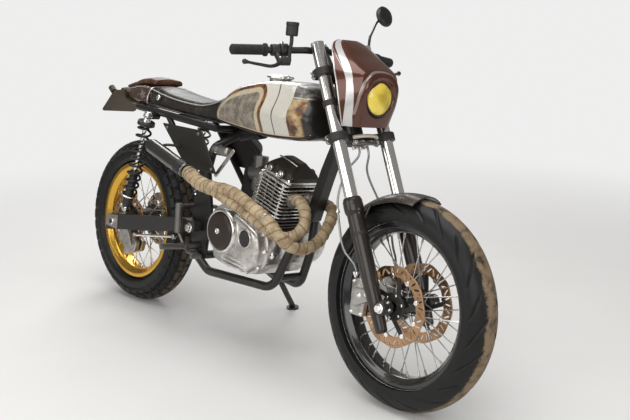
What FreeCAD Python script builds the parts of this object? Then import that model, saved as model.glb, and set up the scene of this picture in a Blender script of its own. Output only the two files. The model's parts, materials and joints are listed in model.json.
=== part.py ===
import FreeCAD, Part
import math
import os

# A single-cylinder cafe racer motorcycle, parked on its side stand.
# Everything is drawn with the machine upright: X forward, Y to the rider's left, Z up, in
# millimetres, from the ground point under the rear axle. The last step leans the machine on
# its stand and moves it, so that the origin is the middle of its bounding box on the ground.

V = FreeCAD.Vector
UP = V(0, 0, 1)
LEFT = V(0, 1, 0)
FORWARD = V(1, 0, 0)
RIGHT_SIDE = -1
LEFT_SIDE = 1
SIDES = (RIGHT_SIDE, LEFT_SIDE)

# Clearances
SEAT_GAP = 0.3
RUNNING_GAP = 0.2
MOVING_GAP = 6.0

# Stance
WHEELBASE = 1450.0
LEAN_ANGLE = 8.22
RAKE_ANGLE = 26.0

# Tyres
FRONT_TYRE_RADIUS = 328.0
FRONT_TYRE_HALF_WIDTH = 58.0
FRONT_RIM_SEAT_RADIUS = 241.5
FRONT_RIM_HALF_WIDTH = 34.0
REAR_TYRE_RADIUS = 322.0
REAR_TYRE_HALF_WIDTH = 64.0
REAR_RIM_SEAT_RADIUS = 216.0
REAR_RIM_HALF_WIDTH = 38.0
REAR_LUG_DEPTH = 7.0
REAR_LUG_COUNT = 24
REAR_LUG_ROWS = 3
LUG_REACH = 72.0
LUG_ROW_GAP = 6.0
LUG_FOOT = 3.0
LUG_GROOVE_SHARE = 0.30
CROWN_REACH = 100.0
SIDEWALL_LIFT = 2.5
CROWN_FLATS = 6
RIM_FLATS = 36

# Wheels
RIM_FLANGE_HEIGHT = 14.0
FLANGE_GAP = 2.0
RIM_WALL = 5.0
RIM_WELL_DEPTH = 16.0
SPOKE_COUNT = 36
SPOKE_RADIUS = 2.0
HUB_FLANGE_THICKNESS = 6.0
FRONT_HUB_FLANGE_RADIUS = 36.0
FRONT_HUB_HALF_WIDTH = 36.0
FRONT_HUB_CORE_RADIUS = 24.0
REAR_HUB_FLANGE_RADIUS = 62.0
REAR_HUB_HALF_WIDTH = 44.0
REAR_HUB_CORE_RADIUS = 45.0
FRONT_AXLE_RADIUS = 10.0
REAR_AXLE_RADIUS = 10.0
AXLE_NUT_RADIUS = 15.0

# Brake discs
FRONT_DISC_RADIUS = 126.0
FRONT_DISC_OFFSET = 62.0
FRONT_DISC_INNER_RADIUS = 92.0
FRONT_CARRIER_INNER_RADIUS = 30.0
DISC_THICKNESS = 5.0
DISC_WAVE_COUNT = 9
DISC_WAVE_DEPTH = 4.0
DISC_SPOKE_COUNT = 5
REAR_DISC_RADIUS = 110.0
REAR_DISC_INNER_RADIUS = 78.0
REAR_DISC_OFFSET = 74.0
CALIPER_DISC_GAP = 3.0

# Fork, measured along and across the steering axis from the front axle's level
STEERING_OFFSET = 59.6
LEG_LEAD = 30.0
LEG_HALF_SPACING = 105.0
FORK_TUBE_RADIUS = 21.0
SLIDER_RADIUS = 26.0
SLIDER_COLLAR_RADIUS = 31.0
SLIDER_COLLAR_HEIGHT = 38.0
SLIDER_TOP = 343.0
SLIDER_BOTTOM = -72.0
FORK_TUBE_RISE = 99.0
UPPER_CLAMP_HEIGHT = 758.0
LOWER_CLAMP_HEIGHT = 545.0
CLAMP_THICKNESS = 26.0
STEM_RADIUS = 15.0
HEAD_TUBE_RADIUS = 28.0

# Handlebar
BAR_RADIUS = 11.0
BAR_HALF_WIDTH = 354.0
BAR_RISE = 90.6
BAR_SETBACK = 10.5
GRIP_RADIUS = 17.0
GRIP_LENGTH = 120.0
BAR_BEND_Y = 120.0
BAR_RISER_Y = 45.0
BAR_END_BACK = 84.0
BAR_END_DROP = 18.0

# Front end
FENDER_GAP = 10.0
FENDER_THICKNESS = 3.0
FENDER_HALF_WIDTH = 66.0
FENDER_FRONT_ANGLE = 84.0
FENDER_REAR_ANGLE = 134.0
LAMP_RADIUS = 50.0
LAMP_CENTRE = V(1236.0, 0.0, 926.0)
LAMP_DEPTH = 90.0
LAMP_COLLAR_SHARE = 0.52
LAMP_COLLAR_WALL = 4.0
MIRROR_OFFSET = V(-116.0, 174.8, 146.0)
MIRROR_RADIUS = 38.0
FAIRING_WALL = 4.0

# Frame
BACKBONE_RADIUS = 27.0
BACKBONE_SHARE = 0.446
CRADLE_RADIUS = 15.0
CRADLE_HALF_WIDTH = 62.0
CRADLE_NECK_HALF_WIDTH = 50.0
DOWNTUBE_HALF_WIDTH = 19.0
CRADLE_REAR_HALF_WIDTH = 118.0
RAIL_RADIUS = 13.0
PIVOT_PLATE_THICKNESS = 12.0
PIVOT_PLATE = ((480, 300), (560, 285), (575, 470), (545, 620), (495, 620), (470, 440))
RAIL_HALF_WIDTH = 104.0
TAIL_LOOP_REACH = 64.0
TAIL_LOOP_HALF_WIDTH = 50.0
PIVOT_X = 512.0
PIVOT_Z = 401.0
PIVOT_RADIUS = 11.0

# Swingarm and shocks
ARM_HALF_SPACING = 130.0
ARM_THICKNESS = 32.0
ARM_REAR_HEIGHT = 62.0
ARM_FRONT_HEIGHT = 50.0
ARM_REAR_END = -50.0
ARM_FRONT_END = 470.0
SHOCK_HALF_SPACING = 140.0
SHOCK_TOP = V(185.0, 0.0, 760.0)
SHOCK_BOTTOM = V(77.0, 0.0, 388.0)
SHOCK_EYE_RADIUS = 15.0
SHOCK_EYE_WIDTH = 22.0
SHOCK_BODY_RADIUS = 17.0
SHOCK_ROD_RADIUS = 7.0
SPRING_RADIUS = 30.0
SPRING_WIRE_RADIUS = 4.5
SPRING_TURNS = 9
SPRING_SEAT_THICKNESS = 6.0
SPRING_TOP = 34.0
SPRING_FOOT = 56.0
SHOCK_BODY_LENGTH = 160.0
SHOCK_PIN_RADIUS = 7.0

# Engine
CYLINDER_TILT = 15.0
CYLINDER_BASE = V(822.0, 0.0, 470.0)
CYLINDER_BORE_RADIUS = 58.0
FIN_LENGTH = 160.0
FIN_HALF_WIDTH = 90.0
FIN_THICKNESS = 4.0
FIN_PITCH = 12.5
FIN_COUNT = 13
FIN_CORNER_RADIUS = 30.0
CASE_HALF_WIDTH = 112.0
COVER_THICKNESS = 62.0
HEAD_COVER_HEIGHT = 62.0
HEAD_COVER_STEPS = ((0.0, 74.0, 70.0), (0.3, 72.0, 68.0), (0.62, 62.0, 54.0), (1.0, 44.0, 26.0))
CLUTCH_CENTRE = V(723.0, 0.0, 424.0)
CLUTCH_RADIUS = 76.0
CLUTCH_CAP_RADIUS = 66.0
CLUTCH_CAP_THICKNESS = 14.0
SMALL_CAP_CENTRE = V(845.0, 0.0, 420.0)
SMALL_CAP_RADIUS = 30.0

# Exhaust
HEADER_RADIUS = 20.0
COLLECTOR_RADIUS = 25.0
MUFFLER_RADIUS = 27.0
MUFFLER_CAP_RADIUS = 22.0
MUFFLER_FRONT = V(536.0, -200.0, 602.0)
MUFFLER_REAR = V(312.0, -200.0, 662.0)
MUFFLER_BAND_AT = 201.0
COLLECTOR_LENGTH = 96.0
PORT_HEIGHT = 118.0
RIGHT_PORT_OFFSET = -34.0
LEFT_PORT_OFFSET = 40.0
HEADER_BEND = 44.0
PIPES_MEET = V(690.0, -200.0, 567.0)
OUTER_ROUTE = (V(1046, 42, 549), V(1094, -78, 424), V(1062, -197, 436), V(1006, -201, 508), V(838, -204, 580))
INNER_ROUTE = (V(1022, -52, 569), V(1066, -110, 476), V(1010, -168, 454), V(950, -195, 500), V(819, -200, 535))

# Tank, seat and tail
TANK_TUNNEL_GAP = 6.0
TANK_SADDLE_LENGTH = 30.0
TANK_SADDLE_SHARES = (0.2, 0.8)
CAP_CENTRE_X = 765.0
CAP_RADIUS = 46.0
CAP_HEIGHT = 14.0
CAP_HINGE_HALF_WIDTH = 12.0
CAP_BARREL_RADIUS = 4.0
CAP_PIN_RADIUS = 2.0

PANEL_THICKNESS = 5.0
PLATE_TOP = V(-157.0, 0.0, 826.0)
PLATE_BOTTOM = V(-246.0, 0.0, 734.0)
PLATE_HALF_WIDTH = 80.0
PLATE_THICKNESS = 3.0
TAIL_LAMP_HALF_WIDTH = 26.0
TAIL_LAMP_HALF_DEPTH = 14.0
INDICATOR_HALF_SPACING = 74.0
INDICATOR_RADIUS = 13.0
HUMP_FRONT = 112.0
TANK_REAR = 548.0

# Chain
CHAIN_LINK_COUNT = 102
CHAIN_OFFSET = 84.0
FRONT_SPROCKET_TEETH = 15
REAR_SPROCKET_TEETH = 40
CHAIN_PLATE_HEIGHT = 14.0
CHAIN_OUTER_WIDTH = 18.0
CHAIN_INNER_WIDTH = 12.0
SPROCKET_THICKNESS = 6.0

# Side stand
STAND_PIVOT = V(505.0, 152.0, 262.0)
STAND_FOOT = V(540.0, 361.0, 0.0)
STAND_ELBOW_LIFT = 100.0
STAND_ELBOW_INSET = 72.0
STAND_ELBOW_RADIUS = 60.0
STAND_STOWED = V(-0.98, 0.12, -0.113)
STAND_TUBE_RADIUS = 11.0
STAND_EYE_EDGE = 1.5
STAND_BOLT_GAP = 0.6
STAND_CHEEK_RADIUS = 16.0
STAND_CHEEK_THICKNESS = 12.0
STAND_BOLT_RADIUS = 6.0
STAND_ARM_RADIUS = 5.0
STAND_EYE_RADIUS = 18.0
STAND_FOOT_RADIUS = 24.0
STAND_FOOT_THICKNESS = 8.0


# Places worked out from the sizes above

LEAN = math.radians(LEAN_ANGLE)
RAKE = math.radians(RAKE_ANGLE)
FRONT_AXLE = V(WHEELBASE, 0, FRONT_TYRE_RADIUS)
# Both crowns touch the same ground once the machine leans.
CROWN_LIFT = (1 - math.cos(LEAN)) / math.cos(LEAN)
REAR_AXLE = V(0, 0, REAR_TYRE_RADIUS + (REAR_TYRE_HALF_WIDTH - FRONT_TYRE_HALF_WIDTH) * CROWN_LIFT)
GROUND_DROP = FRONT_TYRE_HALF_WIDTH * (1 - math.cos(LEAN))
FORK_UP = V(-math.sin(RAKE), 0, math.cos(RAKE))
FORK_AHEAD = V(math.cos(RAKE), 0, math.sin(RAKE))
STEERING_FOOT = FRONT_AXLE - FORK_AHEAD * STEERING_OFFSET
LEG_AHEAD = STEERING_OFFSET - LEG_LEAD
FORK_TOP = UPPER_CLAMP_HEIGHT + FORK_TUBE_RISE
BAR_CENTRE = STEERING_FOOT + FORK_UP * (UPPER_CLAMP_HEIGHT + BAR_RISE) - FORK_AHEAD * BAR_SETBACK
LAMP_COLLAR_HEIGHT = LOWER_CLAMP_HEIGHT + (UPPER_CLAMP_HEIGHT - LOWER_CLAMP_HEIGHT) * LAMP_COLLAR_SHARE
BACKBONE_HEIGHT = LOWER_CLAMP_HEIGHT + (UPPER_CLAMP_HEIGHT - LOWER_CLAMP_HEIGHT) * BACKBONE_SHARE
TRUE_UP = V(0, -math.sin(LEAN), math.cos(LEAN))


def fork_point(height, ahead, across):
    """A point given by its height along the steering axis, and ahead of and beside it."""
    return STEERING_FOOT + FORK_UP * height + FORK_AHEAD * ahead + LEFT * across


def ground_height(y):
    """Height of the ground at a distance y from the middle plane of the leaning machine."""
    return (y * math.sin(LEAN) - GROUND_DROP) / math.cos(LEAN)


# Solids and outlines used by many pieces

def fuse(shapes):
    """One shape from several that touch or overlap."""
    shapes = list(shapes)
    if len(shapes) == 1:
        return shapes[0]
    return shapes[0].multiFuse(shapes[1:]).removeSplitter()


def group(shapes):
    """Separate solids kept in one piece."""
    return Part.makeCompound(list(shapes))


def rod(start, end, radius):
    """A round bar from start to end."""
    return Part.makeCylinder(radius, (end - start).Length, start, end - start)


def cone_between(start, end, start_radius, end_radius):
    """A tapered round bar from start to end."""
    return Part.makeCone(start_radius, end_radius, (end - start).Length, start, end - start)


def square_bar(start, end, radius):
    """A thin four-sided bar from start to end."""
    along = (end - start).normalize()
    across = along.cross(LEFT).normalize()
    other = along.cross(across)
    corners = [start + across * radius, start + other * radius, start - across * radius, start - other * radius]
    return Part.Face(Part.makePolygon(corners + corners[:1])).extrude(end - start)


def turned_along(start, along, profile):
    """A solid turned about a line, from points (distance along the line, radius)."""
    along = V(along).normalize()
    out = along.cross(LEFT if abs(along.y) < 0.9 else UP).normalize()
    points = [start + along * profile[0][0]]
    points += [start + along * distance + out * radius for distance, radius in profile]
    points.append(start + along * profile[-1][0])
    kept = [point for index, point in enumerate(points) if index == 0 or (point - points[index - 1]).Length > 1e-6]
    return Part.Face(Part.makePolygon(kept + kept[:1])).revolve(start, along, 360)


def cross_rod(centre, radius, half_length):
    """A round bar across the machine."""
    return rod(centre - LEFT * half_length, centre + LEFT * half_length, radius)


def corner_arc(before, at, after, radius):
    """Start, middle and end of the arc that rounds a corner, within its two sides."""
    back = (before - at).normalize()
    ahead = (after - at).normalize()
    half = back.getAngle(ahead) / 2
    reach = min(radius / math.tan(half), 0.49 * min((before - at).Length, (after - at).Length))
    radius = reach * math.tan(half)
    centre = at + (back + ahead).normalize() * (radius / math.sin(half))
    middle = centre + (at - centre).normalize() * radius
    return at + back * reach, middle, at + ahead * reach


def is_straight(before, at, after):
    """Whether a path runs straight on through a point."""
    return (at - before).getAngle(after - at) < 1e-4


def rounded_wire(points, radii, closed):
    """A wire of straight sides with rounded corners."""
    count = len(points)
    if not hasattr(radii, "__len__"):
        radii = [radii] * count
    corners = []
    for index, point in enumerate(points):
        is_end = not closed and index in (0, count - 1)
        if is_end or radii[index] <= 0:
            corners.append((point, None, point))
        elif is_straight(points[index - 1], point, points[(index + 1) % count]):
            corners.append((point, None, point))
        else:
            corners.append(corner_arc(points[index - 1], point, points[(index + 1) % count], radii[index]))
    edges = []
    for index, (start, middle, end) in enumerate(corners):
        if middle is not None:
            edges.append(Part.Arc(start, middle, end).toShape())
        if index == count - 1 and not closed:
            break
        following = corners[(index + 1) % count][0]
        if (following - end).Length > 1e-6:
            edges.append(Part.makeLine(end, following))
    return Part.Wire(edges)


def pipe(points, radius, bend):
    """A round bar along straight runs joined by bends."""
    path = rounded_wire(points, bend, False)
    start = points[0]
    profile = Part.Wire(Part.makeCircle(radius, start, points[1] - start))
    return path.makePipeShell([profile], True, True)


def plate(outline, radii, y_low, y_high):
    """A plate seen from the side: its outline in X and Z, between two values of Y."""
    wire = rounded_wire([V(x, y_low, z) for x, z in outline], radii, True)
    return Part.Face(wire).extrude(LEFT * (y_high - y_low))


def on_both_sides(make):
    """The pieces that a function makes for the right and the left side."""
    return [make(side) for side in SIDES]


def side_plate(outline, radii, side, inner, outer):
    """A plate between two distances from the middle plane, on one side."""
    low, high = sorted((side * inner, side * outer))
    return plate(outline, radii, low, high)


def turned(profile, centre):
    """A solid turned about the cross axis through a centre, from points (radius, y)."""
    points = [centre + V(radius, y, 0) for radius, y in profile]
    wire = Part.makePolygon(points + points[:1])
    return Part.Face(wire).revolve(centre, LEFT, 360)


def disc(centre, radius, y_low, y_high, hole=0.0):
    """A round plate across the machine, with a hole if one is given."""
    start = V(centre.x, y_low, centre.z)
    solid = Part.makeCylinder(radius, y_high - y_low, start, LEFT)
    if hole > 0:
        solid = solid.cut(Part.makeCylinder(hole, y_high - y_low, start, LEFT))
    return solid


def loft(sections):
    """A smooth solid through closed sections."""
    return Part.makeLoft(sections, True, False)


def section(x, low, low_half, mid, mid_half, high, high_half, radius):
    """A closed section across the machine: a base, its widest level and a top."""
    points = [V(x, -low_half, low), V(x, low_half, low), V(x, mid_half, mid)]
    points += [V(x, high_half, high), V(x, -high_half, high), V(x, -mid_half, mid)]
    return rounded_wire(points, radius, True)


def polar(centre, radius, degrees):
    """A point on a circle seen from the side, from forward towards up."""
    angle = math.radians(degrees)
    return centre + V(radius * math.cos(angle), 0, radius * math.sin(angle))


def spin(shape, centre, count):
    """Copies of a shape turned about the cross axis through a centre."""
    copies = []
    for index in range(count):
        copy = shape.copy()
        copy.rotate(centre, LEFT, 360.0 * index / count)
        copies.append(copy)
    return copies


# Wheels

def ring_of_flats(profile, axle, count):
    """A ring about the cross axis made of flat faces, from a closed outline (radius, y)."""
    rings = []
    for index in range(count):
        turn = math.radians(360.0 * index / count + 90.0)
        rings.append([axle + V(radius * math.cos(turn), y, radius * math.sin(turn)) for radius, y in profile])
    faces = []
    for index, near in enumerate(rings):
        far = rings[(index + 1) % count]
        for corner in range(len(profile)):
            following = (corner + 1) % len(profile)
            outline = [near[corner], near[following], far[following], far[corner]]
            faces.append(Part.Face(Part.makePolygon(outline + outline[:1])))
    solid = Part.Solid(Part.Shell(faces))
    if solid.Volume < 0:
        solid.reverse()
    return solid


def crown_arc(radius, half_width, low, high, steps):
    """Points (radius, y) along a round crown, between two angles from its middle."""
    level = radius - half_width
    points = []
    for index in range(steps + 1):
        angle = math.radians(low + (high - low) * index / steps)
        points.append((level + half_width * math.cos(angle), half_width * math.sin(angle)))
    return points


def crown_reach(radius, half_width, shoulder):
    """The crown's last angle: its full reach, or where its arc comes down to the rim's flange."""
    share = (shoulder + SIDEWALL_LIFT - radius + half_width) / half_width
    return min(CROWN_REACH, math.degrees(math.acos(max(share, -1.0))))


def tyre_outline(radius, half_width, seat_radius, seat_half_width):
    """Half a tyre's section after the other: round crown, sidewalls and beads."""
    seat = seat_radius + SEAT_GAP
    shoulder = seat_radius + RIM_FLANGE_HEIGHT + FLANGE_GAP
    reach = crown_reach(radius, half_width, shoulder)
    outline = crown_arc(radius, half_width, -reach, reach, CROWN_FLATS)
    outline += [(shoulder, seat_half_width), (seat, seat_half_width)]
    outline += [(seat, -seat_half_width), (shoulder, -seat_half_width)]
    return outline


def tyre(axle, radius, half_width, seat_radius, seat_half_width):
    """A tyre with a round crown and sidewalls that come in to the rim's flanges."""
    return ring_of_flats(tyre_outline(radius, half_width, seat_radius, seat_half_width), axle, RIM_FLATS)


def lug(axle, low, high, start, sweep):
    """A tread block between two angles of the crown and of the wheel; one across the middle is peaked there."""
    steps = 2 if low < 0 < high else 1
    outer = crown_arc(REAR_TYRE_RADIUS, REAR_TYRE_HALF_WIDTH, low, high, steps)
    depth = REAR_LUG_DEPTH + LUG_FOOT
    inner = crown_arc(REAR_TYRE_RADIUS - depth, REAR_TYRE_HALF_WIDTH - depth, low, high, 1)
    ends = []
    for turn in (start, start + sweep):
        angle = math.radians(turn)
        corners = [axle + V(radius * math.cos(angle), y, radius * math.sin(angle))
                   for radius, y in outer + inner[::-1]]
        ends.append(Part.makePolygon(corners + corners[:1]))
    return Part.makeLoft(ends, True, True)


def lugged_tyre(axle):
    """The rear tyre: its carcass and rows of tread blocks that reach the tyre's radius."""
    carcass = tyre(axle, REAR_TYRE_RADIUS - REAR_LUG_DEPTH, REAR_TYRE_HALF_WIDTH - REAR_LUG_DEPTH,
                   REAR_RIM_SEAT_RADIUS, REAR_RIM_HALF_WIDTH)
    angle_step = 360.0 / REAR_LUG_COUNT
    row_angle = LUG_REACH * 2 / REAR_LUG_ROWS
    blocks = []
    for row in range(REAR_LUG_ROWS):
        low = -LUG_REACH + row * row_angle + LUG_ROW_GAP / 2
        high = low + row_angle - LUG_ROW_GAP
        start = 90.0 - angle_step * (1 - LUG_GROOVE_SHARE) / 2 + ((row + 1) % 2) * angle_step / 2
        block = lug(axle, low, high, start, angle_step * (1 - LUG_GROOVE_SHARE))
        blocks += spin(block, axle, REAR_LUG_COUNT)
    return fuse([carcass] + blocks)


def flat_reach(radius, degrees, count):
    """How far a ring of flats, of this radius at its corners, reaches at an angle."""
    step = math.radians(360.0 / count)
    offset = math.radians(degrees - 90.0) % step - step / 2
    return radius * math.cos(step / 2) / math.cos(offset)


def rim(axle, seat_radius, half_width):
    """A drop-centre rim with a flange on each edge."""
    flange = seat_radius + RIM_FLANGE_HEIGHT
    well = seat_radius - RIM_WELL_DEPTH
    slope = half_width - RIM_WELL_DEPTH
    inside = half_width + SEAT_GAP
    edge = inside + RIM_WALL
    half = [(flange, edge), (seat_radius - RIM_WALL, edge), (well - RIM_WALL, slope)]
    outer = [(well, slope), (seat_radius, inside), (flange, inside)]
    right = [(radius, -y) for radius, y in half]
    right_outer = [(radius, -y) for radius, y in outer]
    profile = half + right[::-1] + right_outer[::-1] + outer
    return ring_of_flats(profile, axle, RIM_FLATS)


def spoked_hub(axle, core_radius, flange_radius, half_width, seat_radius, axle_radius):
    """A hub with two flanges and crossed spokes that end at the rim's well."""
    barrel = disc(axle, core_radius, -half_width, half_width)
    flanges = [disc(axle, flange_radius, -half_width, -half_width + HUB_FLANGE_THICKNESS),
               disc(axle, flange_radius, half_width - HUB_FLANGE_THICKNESS, half_width)]
    rim_radius = seat_radius - RIM_WELL_DEPTH - RIM_WALL - SEAT_GAP
    lead = math.degrees(math.acos(flange_radius / rim_radius)) * 0.55
    root_radius = flange_radius - 3 * SPOKE_RADIUS
    slant = SPOKE_RADIUS * (flange_radius / rim_radius + math.tan(math.pi / RIM_FLATS))
    spokes = []
    for index in range(SPOKE_COUNT):
        side = SIDES[index % 2]
        sense = 1 if index % 4 < 2 else -1
        at = 360.0 * index / SPOKE_COUNT
        root = polar(axle, root_radius, at - sense * lead)
        root.y = side * (half_width - HUB_FLANGE_THICKNESS / 2)
        tip = polar(axle, flat_reach(rim_radius, at, RIM_FLATS) - slant, at)
        tip.y = side * 2 * SPOKE_RADIUS
        spokes.append(square_bar(root, tip, SPOKE_RADIUS))
    hub = fuse([barrel] + flanges + spokes)
    return hub.cut(disc(axle, axle_radius + RUNNING_GAP, -2 * half_width, 2 * half_width))


def wave_outline(centre, radius, depth, count, y):
    """A closed wire round a disc whose edge waves in and out."""
    points = []
    for index in range(4 * count):
        swing = math.cos(math.pi * index / 2)
        angle = 90.0 * index / count
        point = polar(centre, radius - depth / 2 + depth / 2 * swing, angle)
        point.y = y
        points.append(point)
    curve = Part.BSplineCurve()
    curve.interpolate(points, PeriodicFlag=True)
    return Part.Wire(curve.toShape())


def wave_disc(axle, radius, inner_radius, y):
    """A brake ring with a wavy edge, between y and y plus its thickness."""
    face = Part.Face(wave_outline(axle, radius, DISC_WAVE_DEPTH, DISC_WAVE_COUNT, y))
    ring = face.extrude(LEFT * DISC_THICKNESS)
    return ring.cut(disc(axle, inner_radius, y, y + DISC_THICKNESS))


def disc_carrier(axle, inner_radius, outer_radius, y):
    """The arms that carry a brake ring from the hub."""
    hub_ring = disc(axle, inner_radius + 14.0, y, y + DISC_THICKNESS)
    arms = []
    for index in range(DISC_SPOKE_COUNT):
        angle = 360.0 * index / DISC_SPOKE_COUNT
        foot = polar(axle, inner_radius, angle - 12.0)
        head = polar(axle, outer_radius + 2.0, angle + 12.0)
        along = (head - foot).normalize()
        across = along.cross(LEFT) * 8.0
        corners = [foot - across, head - across, head + across, foot + across]
        for corner in corners:
            corner.y = y
        wire = Part.makePolygon(corners + corners[:1])
        arms.append(Part.Face(wire).extrude(LEFT * DISC_THICKNESS))
    return fuse([hub_ring] + arms)


def front_discs():
    """Both front brake discs on their carriers."""
    made = []
    for side in SIDES:
        y = side * FRONT_DISC_OFFSET - DISC_THICKNESS / 2
        ring = wave_disc(FRONT_AXLE, FRONT_DISC_RADIUS, FRONT_DISC_INNER_RADIUS, y)
        carrier = disc_carrier(FRONT_AXLE, FRONT_CARRIER_INNER_RADIUS, FRONT_DISC_INNER_RADIUS, y)
        low, high = sorted((side * (FRONT_HUB_HALF_WIDTH + SEAT_GAP), y + DISC_THICKNESS / 2))
        boss = disc(FRONT_AXLE, FRONT_CARRIER_INNER_RADIUS, low, high)
        whole = fuse([ring, carrier, boss])
        made.append(whole.cut(cross_rod(FRONT_AXLE, FRONT_AXLE_RADIUS + RUNNING_GAP, 2 * FRONT_DISC_OFFSET)))
    return group(made)


def rear_disc():
    """The rear brake disc on the right side."""
    y = -REAR_DISC_OFFSET - DISC_THICKNESS / 2
    ring = wave_disc(REAR_AXLE, REAR_DISC_RADIUS, REAR_DISC_INNER_RADIUS, y)
    carrier = disc_carrier(REAR_AXLE, FRONT_CARRIER_INNER_RADIUS, REAR_DISC_INNER_RADIUS, y)
    boss = disc(REAR_AXLE, FRONT_CARRIER_INNER_RADIUS, y, -REAR_HUB_HALF_WIDTH - SEAT_GAP)
    whole = fuse([ring, carrier, boss])
    return whole.cut(cross_rod(REAR_AXLE, REAR_AXLE_RADIUS + RUNNING_GAP, 2 * REAR_DISC_OFFSET))


# Chain drive

def pitch_radius(pitch, teeth):
    """Radius of the chain's line round a sprocket."""
    return pitch / (2 * math.sin(math.pi / teeth))


def chain_layout():
    """The loop's pitch, its two radii and the gearbox sprocket's centre."""
    pitch = 15.875
    small = pitch_radius(pitch, FRONT_SPROCKET_TEETH)
    large = pitch_radius(pitch, REAR_SPROCKET_TEETH)
    turn_share = (FRONT_SPROCKET_TEETH + REAR_SPROCKET_TEETH) / 2
    taken = CHAIN_LINK_COUNT - turn_share
    difference = (REAR_SPROCKET_TEETH - FRONT_SPROCKET_TEETH) / (2 * math.pi)
    distance = pitch / 4 * (taken + math.sqrt(taken * taken - 8 * difference * difference))
    drop = PIVOT_Z - REAR_AXLE.z
    centre = REAR_AXLE + V(math.sqrt(distance * distance - drop * drop), 0, drop)
    return pitch, small, large, centre


def chain_path(small, large, centre):
    """The closed line that the chain's pins follow."""
    along = (centre - REAR_AXLE).normalize()
    distance = (centre - REAR_AXLE).Length
    lift = math.asin((large - small) / distance)
    tilt = math.atan2(along.z, along.x)
    upper = math.degrees(tilt + math.pi / 2 - lift)
    lower = math.degrees(tilt - math.pi / 2 + lift)
    middle = math.degrees(tilt)
    top_rear = polar(REAR_AXLE, large, upper)
    top_front = polar(centre, small, upper)
    low_front = polar(centre, small, lower)
    low_rear = polar(REAR_AXLE, large, lower)
    edges = [Part.makeLine(top_rear, top_front)]
    edges.append(Part.Arc(top_front, polar(centre, small, middle), low_front).toShape())
    edges.append(Part.makeLine(low_front, low_rear))
    edges.append(Part.Arc(low_rear, polar(REAR_AXLE, large, middle + 180), top_rear).toShape())
    return Part.Wire(edges)


def drive_chain():
    """The chain as one fixed loop of wide and narrow links."""
    pitch, small, large, centre = chain_layout()
    pins = chain_path(small, large, centre).discretize(Number=CHAIN_LINK_COUNT + 1)[:-1]
    links = []
    for index, pin in enumerate(pins):
        following = pins[(index + 1) % len(pins)]
        width = CHAIN_OUTER_WIDTH if index % 2 else CHAIN_INNER_WIDTH
        along = (following - pin).normalize()
        across = along.cross(LEFT) * (CHAIN_PLATE_HEIGHT / 2)
        past = along * (CHAIN_PLATE_HEIGHT / 6)
        across = across if index % 2 else across * 0.8
        corners = [pin - past - across, following + past - across]
        corners += [following + past + across, pin - past + across]
        for corner in corners:
            corner.y = CHAIN_OFFSET - width / 2
        wire = Part.makePolygon(corners + corners[:1])
        links.append(Part.Face(wire).extrude(LEFT * width))
    return fuse(links)


def sprocket(centre, radius, teeth, hole, y_low):
    """A toothed plate that stays inside the chain's line."""
    tip = radius - CHAIN_PLATE_HEIGHT / 2 - 1.0
    root = tip - 5.0
    points = []
    for index in range(teeth):
        angle = 360.0 * index / teeth
        step = 360.0 / teeth
        points.append(polar(centre, root, angle))
        points.append(polar(centre, tip, angle + 0.35 * step))
        points.append(polar(centre, tip, angle + 0.65 * step))
    for point in points:
        point.y = y_low
    face = Part.Face(Part.makePolygon(points + points[:1]))
    toothed = face.extrude(LEFT * SPROCKET_THICKNESS)
    return toothed.cut(disc(centre, hole, y_low, y_low + SPROCKET_THICKNESS)) if hole > 0 else toothed


def rear_sprocket():
    """The driven sprocket with its boss to the hub."""
    pitch, small, large, centre = chain_layout()
    y_low = CHAIN_OFFSET - SPROCKET_THICKNESS / 2
    plate_ring = sprocket(REAR_AXLE, large, REAR_SPROCKET_TEETH, REAR_HUB_CORE_RADIUS - 12.0, y_low)
    boss = disc(REAR_AXLE, REAR_HUB_CORE_RADIUS, REAR_HUB_HALF_WIDTH + SEAT_GAP, y_low + 1.0,
                REAR_HUB_CORE_RADIUS - 12.0)
    holes = [disc(polar(REAR_AXLE, large * 0.66, 60.0 * i), 13.0, y_low, y_low + SPROCKET_THICKNESS)
             for i in range(6)]
    return fuse([plate_ring, boss]).cut(group(holes))


# Frame

def head_tube():
    """The steering head's tube with a bore for the stem."""
    low = fork_point(LOWER_CLAMP_HEIGHT + CLAMP_THICKNESS / 2 + 1.0, 0, 0)
    high = fork_point(UPPER_CLAMP_HEIGHT - CLAMP_THICKNESS / 2 - 1.0, 0, 0)
    return rod(low, high, HEAD_TUBE_RADIUS), rod(low - FORK_UP, high + FORK_UP, STEM_RADIUS + RUNNING_GAP)


def backbone_ends():
    """Where the backbone starts at the steering head and ends above the swingarm pivot."""
    return fork_point(BACKBONE_HEIGHT, -HEAD_TUBE_RADIUS / 2, 0), V(575.0, 0, 742.0)


def pivot_plate(side, gap):
    """The upright plate at the swingarm's pivot, or the space it takes with a gap behind and beside it."""
    middle = CRADLE_REAR_HALF_WIDTH - CRADLE_RADIUS
    half = PIVOT_PLATE_THICKNESS / 2 + gap
    return side_plate([(x - gap, z) for x, z in PIVOT_PLATE], 20.0, side, middle - half, middle + half)


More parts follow.
